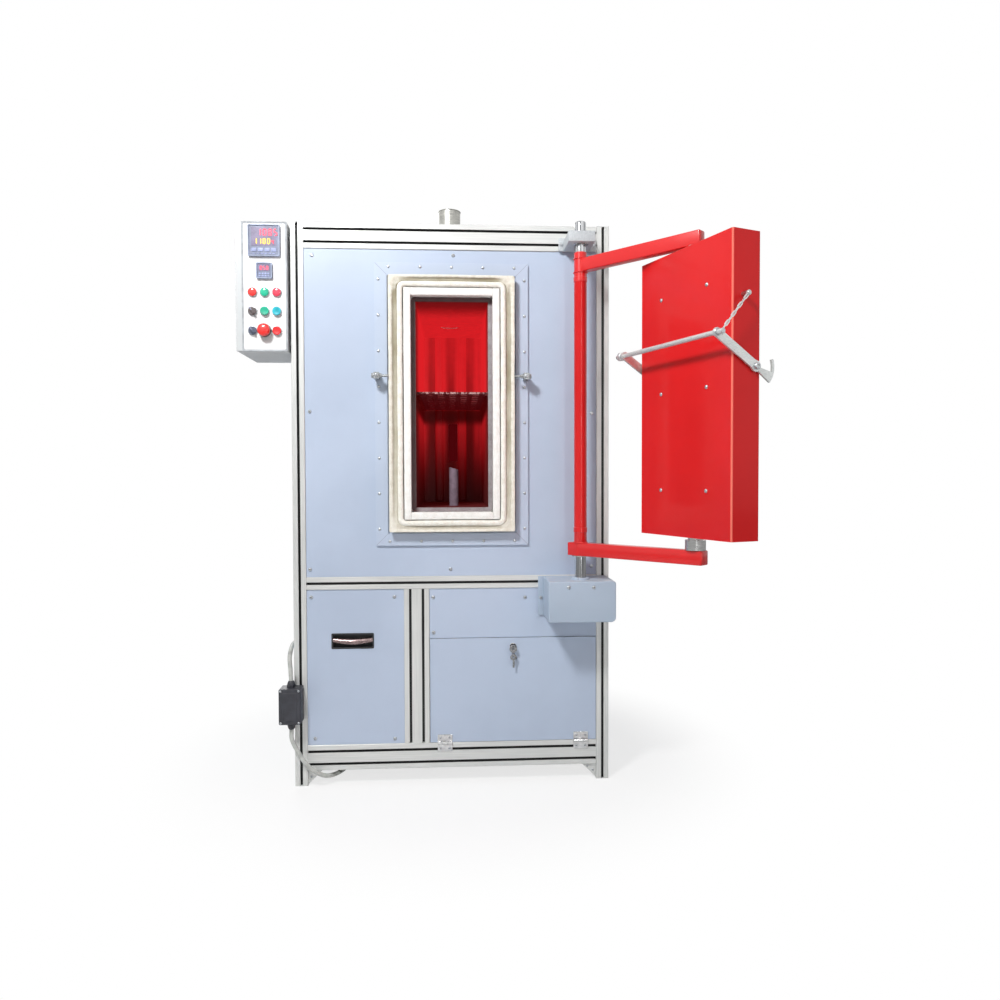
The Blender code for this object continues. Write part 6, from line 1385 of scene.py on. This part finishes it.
def build_bail_hardware():
    rod_y, rod_z = -0.0976, BAIL_Z + 0.0757
    bm = bmesh.new()
    washer = [(0.0, 0.0067), (0.0, 0.0098), (0.0010, 0.0100), (0.0018, 0.0094), (0.0018, 0.0067)]
    for side in (1, -1):
        lathe(bm, washer, on_door(side * ROD_END, rod_y, rod_z), door_wide * side, looped=True)
    lathe(bm, [(0, 0), (0, 0.0066), (0.0010, 0.0070), (0.0022, 0.0058), (0.0026, 0)],
          on_door(0.2228, rod_y, rod_z), door_wide)
    add_piece("rod_washers", bm, screw_steel, "bail")
    bm = bmesh.new()
    lathe(bm, [(0, 0), (0, 0.0118, "hex"), (0.0010, 0.0128, "hex"), (0.0135, 0.0128, "hex"),
               (0.0146, 0.0116), (0.0150, 0)],
          on_door(-0.2122, rod_y, rod_z), -door_wide)
    add_piece("bail_hub", bm, drawn_steel, "bail", covers=("bail_grip",))
    bm = bmesh.new()
    thread = [(0.0, 0), (0.0, 0.0060)]
    for step in range(8):
        thread += [(0.0006 + step * 0.0014, 0.0066), (0.0013 + step * 0.0014, 0.0056)]
    lathe(bm, thread + [(0.0122, 0.0048), (0.0126, 0)], on_door(-0.2270, rod_y, rod_z), -door_wide)
    add_piece("bail_stub", bm, black_plastic, "bail")


build_door_hardware()
build_bail_hardware()

# %% [markdown]
# Each keeper block is held by a hexagon bolt from its outer side and has a screw in its face; the
# studs between block and seal are what the bail's claws grip.

# %% Keeper bolts
KEEPER_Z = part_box("keeper_left")[0].z + 0.010
for side, name in ((-1, "left"), (1, "right")):
    bolt_spot = here(side * 0.2400, -0.0400, KEEPER_Z)
    screws("keeper_bolt_" + name, hex_head, 0.0078, [bolt_spot], TO_RIGHT * side, keeper_steel)
face_spots = [here(side * 0.2320, -0.0500, KEEPER_Z) for side in (-1, 1)]
screws("keeper_face_screws", pan_head, 0.0060, face_spots, TO_FRONT, screw_steel)

# %% [markdown]
# The flap hangs on two plated butt hinges. The CAD leaves are one solid with flap and rail, so each
# gets a thin plated skin, knuckle sleeves and screws: the upper half turns with the flap, the lower
# half stays on the rail.

# %% Flap hinges
HINGE_Z, HINGE_Y = 0.129, -0.005


def build_hinges():
    for body, part, way in (("flap", "flap", 1), ("cabinet", "rail", -1)):
        bm, spots = bmesh.new(), []
        for x in (-0.027, 0.409):
            low, high = sorted((HINGE_Z + way * 0.0036, HINGE_Z + way * 0.0268))
            box(bm, here(x - 0.0236, -0.0034, low), here(x + 0.0236, -0.0002, high), 0.0007)
            if way > 0:
                tubes = ((x - 0.0232, x - 0.0086), (x + 0.0086, x + 0.0232))
            else:
                tubes = ((x - 0.0081, x + 0.0081),)
            for start, end in tubes:
                long = end - start
                lathe(bm, [(0, 0.0023), (0, 0.0046), (0.0005, 0.0051), (long - 0.0005, 0.0051),
                           (long, 0.0046), (long, 0.0023)],
                      here(start, HINGE_Y, HINGE_Z), TO_RIGHT, 24, looped=True)
            spots += [here(x + move, -0.0034, HINGE_Z + way * 0.0170) for move in (-0.0140, 0.0140)]
        add_piece(part + "_hinge_skins", bm, bright_chrome, body)
        screws(part + "_hinge_screws", pan_head, 0.0040, spots, TO_FRONT, screw_steel, body)


build_hinges()

# %% [markdown]
# The key has a round bow with a hole, and a second key hangs from it on a split ring. The ring is a
# bar swept round a circle; the bows are lathed washers.

# %% Keys
def build_keys():
    lock_x, lock_z = 0.191, 0.436
    bm = bmesh.new()
    lathe(bm, [(-0.0100, 0), (-0.0100, 0.0030), (0.0052, 0.0030), (0.0060, 0)],
          here(lock_x, -0.0100, lock_z), TO_FRONT, 16)
    lathe(bm, [(0, 0.0032), (0, 0.0115), (0.0006, 0.0122), (0.0024, 0.0122), (0.0030, 0.0115),
               (0.0030, 0.0032)],
          here(lock_x, -0.0148, lock_z - 0.0060), TO_FRONT, 28, looped=True)
    ring_middle = here(lock_x + 0.0005, -0.0163, lock_z - 0.0215)
    ring = [ring_middle + Vector((0.35 * math.cos(turn), 0.30 * math.cos(turn), math.sin(turn))) * 0.0105
            for turn in circle(28)]
    sweep(bm, ring, 0.0009, Vector((0.30, -0.35, 0)).normalized(), 8, looped=True)
    lathe(bm, [(0, 0.0028), (0, 0.0098), (0.0006, 0.0104), (0.0016, 0.0104), (0.0022, 0.0098),
               (0.0022, 0.0028)],
          here(lock_x + 0.0008, -0.0152, lock_z - 0.0330), TO_FRONT, 28, looped=True)
    box(bm, here(lock_x - 0.0022, -0.0172, lock_z - 0.0660),
        here(lock_x + 0.0036, -0.0154, lock_z - 0.0420), 0.0005)
    for step in range(5):
        z = lock_z - 0.0480 - step * 0.0034
        box(bm, here(lock_x + 0.0030, -0.0170, z),
            here(lock_x + 0.0052 - 0.0006 * (step % 3), -0.0156, z + 0.0018), 0.0003)
    add_piece("keys_on_ring", bm, key_steel, "key_body", covers=("key",))


build_keys()

# %% [markdown]
# The recessed handle's grip is a bent, plated bar in a black cup. It is swept along a shallow arch.

# %% Handle grip
def build_grip():
    left, right, middle = -0.3790, -0.2550, 0.4610
    path, thick = [], []
    for k in range(19):
        share = k / 18
        lift = math.sin(math.pi * share)
        path.append(here(left + (right - left) * share, 0.0100 - 0.0042 * lift, middle - 0.0050 * lift))
        thick.append(0.0078 + 0.0022 * lift)
    bm = bmesh.new()
    sweep(bm, path, thick, UP, 16)
    add_piece("handle_grip", bm, grip_steel)


build_grip()

# %% [markdown]
# The control plate holds two controllers and nine operators. Every operator sits in a satin ring;
# lamps have domed lenses, buttons are flat caps wider than their bores, selectors have a bar with a
# white pointer, and the emergency stop is a mushroom on a dark collar.

# %% Operators
PLATE_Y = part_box("control_plate")[0].y - FRONT + 0.004
PLATE_X, COLUMN_GAP = -0.573, 0.037
ROWS = (1.546, 1.488, 1.428)
SELECTOR_TURN = math.radians(-38)


def on_plate(column, row):
    """The middle of an operator, by its column from the plate's middle and its row from the top."""
    return here(PLATE_X + column * COLUMN_GAP, PLATE_Y, ROWS[row])


def build_rings():
    bm = bmesh.new()
    ring = [(0.0, 0.0112), (0.0, 0.0150), (0.0020, 0.0150), (0.0034, 0.0142), (0.0039, 0.0128),
            (0.0035, 0.0113)]
    for row in range(3):
        for column in (-1, 0, 1):
            lathe(bm, ring, on_plate(column, row), TO_FRONT, 32, looped=True)
    add_piece("operator_rings", bm, ring_metal)
    bm = bmesh.new()
    collar = [(0.0046, 0.0112), (0.0046, 0.0196), (0.0080, 0.0205), (0.0110, 0.0196), (0.0118, 0.0170),
              (0.0118, 0.0112)]
    lathe(bm, collar, on_plate(0, 2), TO_FRONT, 36, looped=True)
    add_piece("stop_collar", bm, stop_collar)


def turned_operator(name, rings, column, row, look, body, covers):
    bm = bmesh.new()
    lathe(bm, rings, on_plate(column, row), TO_FRONT, 32)
    add_piece(name, bm, look, body, covers=(covers,), smooth=50)


def build_selector(name, row, body, plastic):
    centre, spin = on_plate(-1, row), Matrix.Rotation(SELECTOR_TURN, 3, "Y")

    def turned(x, y, z):
        return centre + spin @ Vector((x, y, z))

    bm = bmesh.new()
    lathe(bm, [(0.0, 0.0), (0.0, 0.0108), (0.0051, 0.0108), (0.0052, 0.0127), (0.0068, 0.0130),
               (0.0078, 0.0120),
               (0.0080, 0)], centre, TO_FRONT, 32)
    shaped_box(bm, (-0.0036, -0.0162, -0.0118), (0.0036, -0.0076, 0.0118), 0.0016, 3, to=turned)
    add_piece(name + "_knob", bm, plastic, body, covers=(name,))
    bm = bmesh.new()
    shaped_box(bm, (-0.0008, -0.0167, 0.0010), (0.0008, -0.0161, 0.0112), 0.0002, 1, to=turned)
    add_piece(name + "_pointer", bm, keypad, body)


lens = [(0, 0), (0, 0.0108), (0.0050, 0.0108), (0.0051, 0.0130), (0.0064, 0.0134), (0.0080, 0.0124),
        (0.0092, 0.0100), (0.0100, 0.0060), (0.0103, 0)]
press = [(0, 0), (0, 0.0108), (0.0078, 0.0108), (0.0079, 0.0129), (0.0090, 0.0134), (0.0100, 0.0130),
         (0.0104, 0.0118), (0.0098, 0.0092), (0.0096, 0)]
build_rings()
turned_operator("red_lens", lens, -1, 0, lens_red, "cabinet", "lamp_red")
turned_operator("green_lens", lens, 0, 0, lens_green, "cabinet", "lamp_green")
turned_operator("pink_lens", lens, 1, 0, lens_pink, "cabinet", "lamp_pink")
turned_operator("green_button", press, 0, 1, cap_green, "green_cap", "button_green")
turned_operator("cyan_button", press, 1, 1, cap_cyan, "cyan_cap", "button_cyan")
turned_operator("red_button", press, 1, 2, cap_red, "red_cap", "button_red")
stop = [(0.0, 0), (0.0, 0.0106), (0.0196, 0.0106), (0.0190, 0.0150), (0.0184, 0.0186), (0.0200, 0.0193),
        (0.0236, 0.0192), (0.0262, 0.0180), (0.0290, 0.0145), (0.0304, 0.0095), (0.0309, 0.0045),
        (0.0310, 0)]
turned_operator("stop_mushroom", stop, 0, 2, stop_red, "stop_head", "estop_head")
build_selector("selector_upper", 1, "selector_upper_body", knob_brown)
build_selector("selector_lower", 2, "selector_lower_body", knob_navy)
print("operators on plate at y", round(PLATE_Y, 4))

# %% [markdown]
# The controllers are plug-in units behind a moulded frame: the large one shows a red and an amber
# row of digits over a pale keypad, the small one a single red row. Digits are made of seven bars
# each, so any number can be set.

# %% Controllers
BARS = {"0": "abcdef", "1": "bc", "2": "abged", "3": "abgcd", "4": "fgbc", "5": "afgcd", "6": "afgedc",
        "7": "abc", "8": "abcdefg", "9": "abcfgd"}


def set_digits(bm, text, left, base, tall, y):
    wide, thick, middle = 0.50 * tall, 0.15 * tall, tall / 2
    spans = {"a": (thick, wide - thick, tall - thick, tall), "d": (thick, wide - thick, 0, thick),
             "g": (thick, wide - thick, middle - thick / 2, middle + thick / 2),
             "f": (0, thick, middle, tall - thick / 2), "b": (wide - thick, wide, middle, tall - thick / 2),
             "e": (0, thick, thick / 2, middle), "c": (wide - thick, wide, thick / 2, middle)}
    for place, digit in enumerate(text):
        x = left + place * wide * 1.45
        for bar in BARS[digit]:
            x0, x1, z0, z1 = spans[bar]
            box(bm, here(x + x0, y - 0.0004, base + z0), here(x + x1, y, base + z1), thick * 0.2, 1)


def build_controller(name, size, z, rows, keys):
    half, y = size / 2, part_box(name)[0].y - FRONT
    bm = bmesh.new()
    profile = ((-0.0006, 0.0030, 0.004), (-0.0006, -0.0004, 0.004), (0.0004, -0.0016, 0.0034),
               (0.0026, -0.0016, 0.0024),
               (0.0036, 0.0010, 0.0020), (0.0036, 0.0014, 0.0020))
    rims = [rounded((PLATE_X, z), half - inset, half - inset, radius, y + depth)
            for inset, depth, radius in profile]
    loft(bm, rims, looped=True)
    add_piece(name + "_frame", bm, bezel_plastic)
    face, share = y + 0.0014, half - 0.0038
    bm = bmesh.new()
    plate(bm, (PLATE_X, z), share, share, 0.0018, face + 0.0010, face, 0.0003)
    add_piece(name + "_face", bm, controller_plastic)
    low = min(base for _, _, base, _, _ in rows) - 0.05 * size
    bm = bmesh.new()
    top = 0.42 * size
    plate(bm, (PLATE_X, z + (low + top) / 2), share * 0.86, (top - low) / 2, 0.0014,
          face + 0.0004, face - 0.0006, 0.0003)
    add_piece(name + "_window", bm, window)
    for index, (text, left, base, tall, look) in enumerate(rows):
        bm = bmesh.new()
        set_digits(bm, text, PLATE_X + left, z + base, tall, face - 0.0007)
        add_piece("%s_digits_%d" % (name, index), bm, look)
    bm = bmesh.new()
    for x, base, wide, tall in keys:
        box(bm, here(PLATE_X + x - wide / 2, face - 0.0012, z + base - tall / 2),
            here(PLATE_X + x + wide / 2, face + 0.0004, z + base + tall / 2), 0.0005, 2)
    add_piece(name + "_keys", bm, keypad)


def key_row(count, left, gap, base, wide, tall):
    return [(left + gap * k, base, wide, tall) for k in range(count)]


large_rows = (("1085", -0.0190, 0.0130, 0.0225, digit_red), ("1100", -0.0300, -0.0120, 0.0185, digit_amber),
              ("4", 0.0230, -0.0120, 0.0140, digit_red))
large_keys = (key_row(4, -0.030, 0.020, -0.0285, 0.0150, 0.0110)
              + key_row(6, -0.030, 0.012, -0.0400, 0.0080, 0.0028))
build_controller("controller_large", 0.096, 1.703, large_rows, large_keys)
small_keys = (key_row(4, -0.0130, 0.0087, -0.0090, 0.0064, 0.0052)
              + key_row(4, -0.0130, 0.0087, -0.0165, 0.0064, 0.0036))
build_controller("controller_small", 0.048, 1.611, (("850", -0.0125, 0.0015, 0.0130, digit_red),),
                 small_keys)


# %% [markdown]
# A thin rubber gasket shows round the edge of the control plate. It is a closed ring of rims, like
# the controllers' frames.

# %% Plate gasket
def build_plate_gasket():
    low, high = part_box("control_plate")
    low, high = low - here(0, 0, 0), high - here(0, 0, 0)
    centre = ((low.x + high.x) / 2, (low.z + high.z) / 2)
    half_x, half_z = (high.x - low.x) / 2, (high.z - low.z) / 2
    profile = ((-0.004, high.y), (0.0016, high.y), (0.0016, PLATE_Y - 0.0012), (-0.0004, PLATE_Y - 0.0012),
               (-0.004, PLATE_Y))
    bm = bmesh.new()
    loft(bm, [rounded(centre, half_x + grow, half_z + grow, 0.004, y) for grow, y in profile], looped=True)
    add_piece("plate_gasket", bm, gasket_rubber)
    print("gasket round the plate", round(2 * half_x, 3), round(2 * half_z, 3))


build_plate_gasket()

# %% [markdown]
# The junction box has a screwed lid, and the cables leave through glands with a hexagon and a
# tapered dome that grips the jacket.

# %% Junction box
JUNCTION_X, JUNCTION_Z, GLAND_Y = -0.5045, 0.2675, -0.0250


def build_junction():
    bm = bmesh.new()
    plate(bm, (JUNCTION_X, JUNCTION_Z), 0.0326, 0.0546, 0.0040, -0.0494, -0.0522, 0.0009)
    add_piece("junction_lid", bm, junction_plastic)
    bm = bmesh.new()
    plate(bm, (JUNCTION_X, JUNCTION_Z), 0.0225, 0.0440, 0.0030, -0.0515, -0.0532, 0.0008)
    add_piece("junction_label_field", bm, junction_plastic)
    spots = [here(JUNCTION_X + x, -0.0522, JUNCTION_Z + z) for x in (-0.0275, 0.0275)
             for z in (-0.0495, 0.0495)]
    screws("junction_screws", pan_head, 0.0036, spots, TO_FRONT, screw_steel)
    bm = bmesh.new()
    rings = [(0, 0.0069), (0, 0.0136, "hex"), (0.0084, 0.0136, "hex"), (0.0090, 0.0124), (0.0094, 0.0116),
             (0.0135, 0.0112), (0.0178, 0.0096), (0.0205, 0.0080), (0.0212, 0.0070)]
    for z, way in ((0.2121, DOWN), (0.3229, UP)):
        lathe(bm, rings, here(JUNCTION_X, GLAND_Y, z), way, 24, looped=True)
    add_piece("cable_glands", bm, junction_plastic)


build_junction()

# %% [markdown]
# Open profile ends are closed with plastic caps, and the small gussets under the lower rail are
# held by a screw in each leg. The control box and side panels get the rest of their screws.

# %% Caps and last screws
def build_caps():
    bm = bmesh.new()
    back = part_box("rear_frame")[1].y - FRONT
    for x in (-0.480, 0.480):
        for y in (0.020, back - 0.020):
            box(bm, here(x - 0.0196, y - 0.0196, 1.7700), here(x + 0.0196, y + 0.0196, 1.7724), 0.0011, 2)
            box(bm, here(x - 0.0185, y - 0.0185, 0.0000), here(x + 0.0185, y + 0.0185, 0.0004), 0.0001, 1)
    add_piece("end_caps", bm, cap_plastic, smooth=60)
    spots = [here(side * x, 0.0080, z) for side in (-1, 1) for x, z in ((0.450, 0.0270), (0.432, 0.0400))]
    screws("gusset_screws", pan_head, 0.0040, spots, TO_FRONT, screw_steel)
    box_low, box_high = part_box("control_box")
    spots = [Vector((box_low.x, y, z)) for y in (box_low.y + 0.030, box_high.y - 0.030)
             for z in (box_low.z + 0.025, box_high.z - 0.025)]
    screws("box_screws", pan_head, 0.0042, spots, TO_LEFT, screw_steel)


build_caps()

# %% [markdown]
# The stage is a pale floor that fades into a white backdrop. The key light hangs close above and to
# the left, so that the panels grow darker towards the floor as in the photograph; a wide fill and a
# narrow strip lift the right side, and one lamp behind keeps the back readable. The full white is
# shown only to rays from the camera and to those that mirror or pass through, so it adds no soft
# light to the oven.

# %% Stage and light
def build_stage():
    bm = bmesh.new()
    bmesh.ops.create_grid(bm, x_segments=1, y_segments=1, size=20)
    mesh = bpy.data.meshes.new("floor")
    bm.to_mesh(mesh)
    bm.free()
    floor = bpy.data.objects.new("floor", mesh)
    scene.collection.objects.link(floor)
    look = bpy.data.materials.new("pale_floor")
    look.use_nodes = True
    tree = look.node_tree
    shader, out = tree.nodes["Principled BSDF"], tree.nodes["Material Output"]
    shader.inputs["Base Color"].default_value = (0.9, 0.9, 0.9, 1)
    shader.inputs["Roughness"].default_value = 0.9
    far = put(tree, "VectorMath", {"operation": "LENGTH"})
    plug(tree, far.inputs[0], spot(tree, move=tuple(-here(0, 0.35, 0))))
    seen = put(tree, "LightPath").outputs["Is Camera Ray"]
    fade = sums(tree, "MULTIPLY", ramp(tree, far.outputs["Value"], 0.60, 1.10, 0.74, 1.0), seen)
    white = put(tree, "Emission", Color=(1, 1, 1, 1), Strength=1.0)
    blend = put(tree, "MixShader", Fac=fade)
    tree.links.new(shader.outputs[0], blend.inputs[1])
    tree.links.new(white.outputs[0], blend.inputs[2])
    tree.links.new(blend.outputs[0], out.inputs["Surface"])
    mesh.materials.append(look)


def build_world(strength):
    world = bpy.data.worlds.new("studio")
    scene.world = world
    world.use_nodes = True
    tree = world.node_tree
    paths = put(tree, "LightPath").outputs
    direct = sums(tree, "ADD", paths["Is Camera Ray"],
                  sums(tree, "ADD", paths["Is Glossy Ray"], paths["Is Transmission Ray"]), True)
    shown = mixed(tree, direct, strength, 1.0, "FLOAT")
    background = tree.nodes["Background"]
    background.inputs["Color"].default_value = (1, 1, 1, 1)
    plug(tree, background.inputs["Strength"], shown)


def soft_light(name, place, target, size, watts, tall=None):
    data = bpy.data.lights.new(name, "AREA")
    data.shape, data.size, data.energy = "RECTANGLE" if tall else "DISK", size, watts
    if tall:
        data.size_y = tall
    lamp = bpy.data.objects.new(name, data)
    scene.collection.objects.link(lamp)
    aimed = (place - target).to_track_quat("Z", "Y").to_matrix().to_4x4()
    lamp.matrix_world = Matrix.Translation(place) @ aimed


build_stage()
build_world(0.24)
soft_light("key_light", here(-1.0, -1.9, 2.9), here(0.05, 0, 1.3), 0.5, 75)
soft_light("fill_light", here(2.6, -3.2, 1.8), here(0.2, 0, 0.9), 2.4, 5)
soft_light("strip_light", here(0.75, -2.5, 1.4), here(0.39, -0.09, 1.4), 0.14, 6, tall=1.8)
soft_light("back_light", here(-1.4, 4.0, 2.4), here(0, 0.9, 0.9), 2.4, 60)
scene.view_settings.view_transform = "Standard"
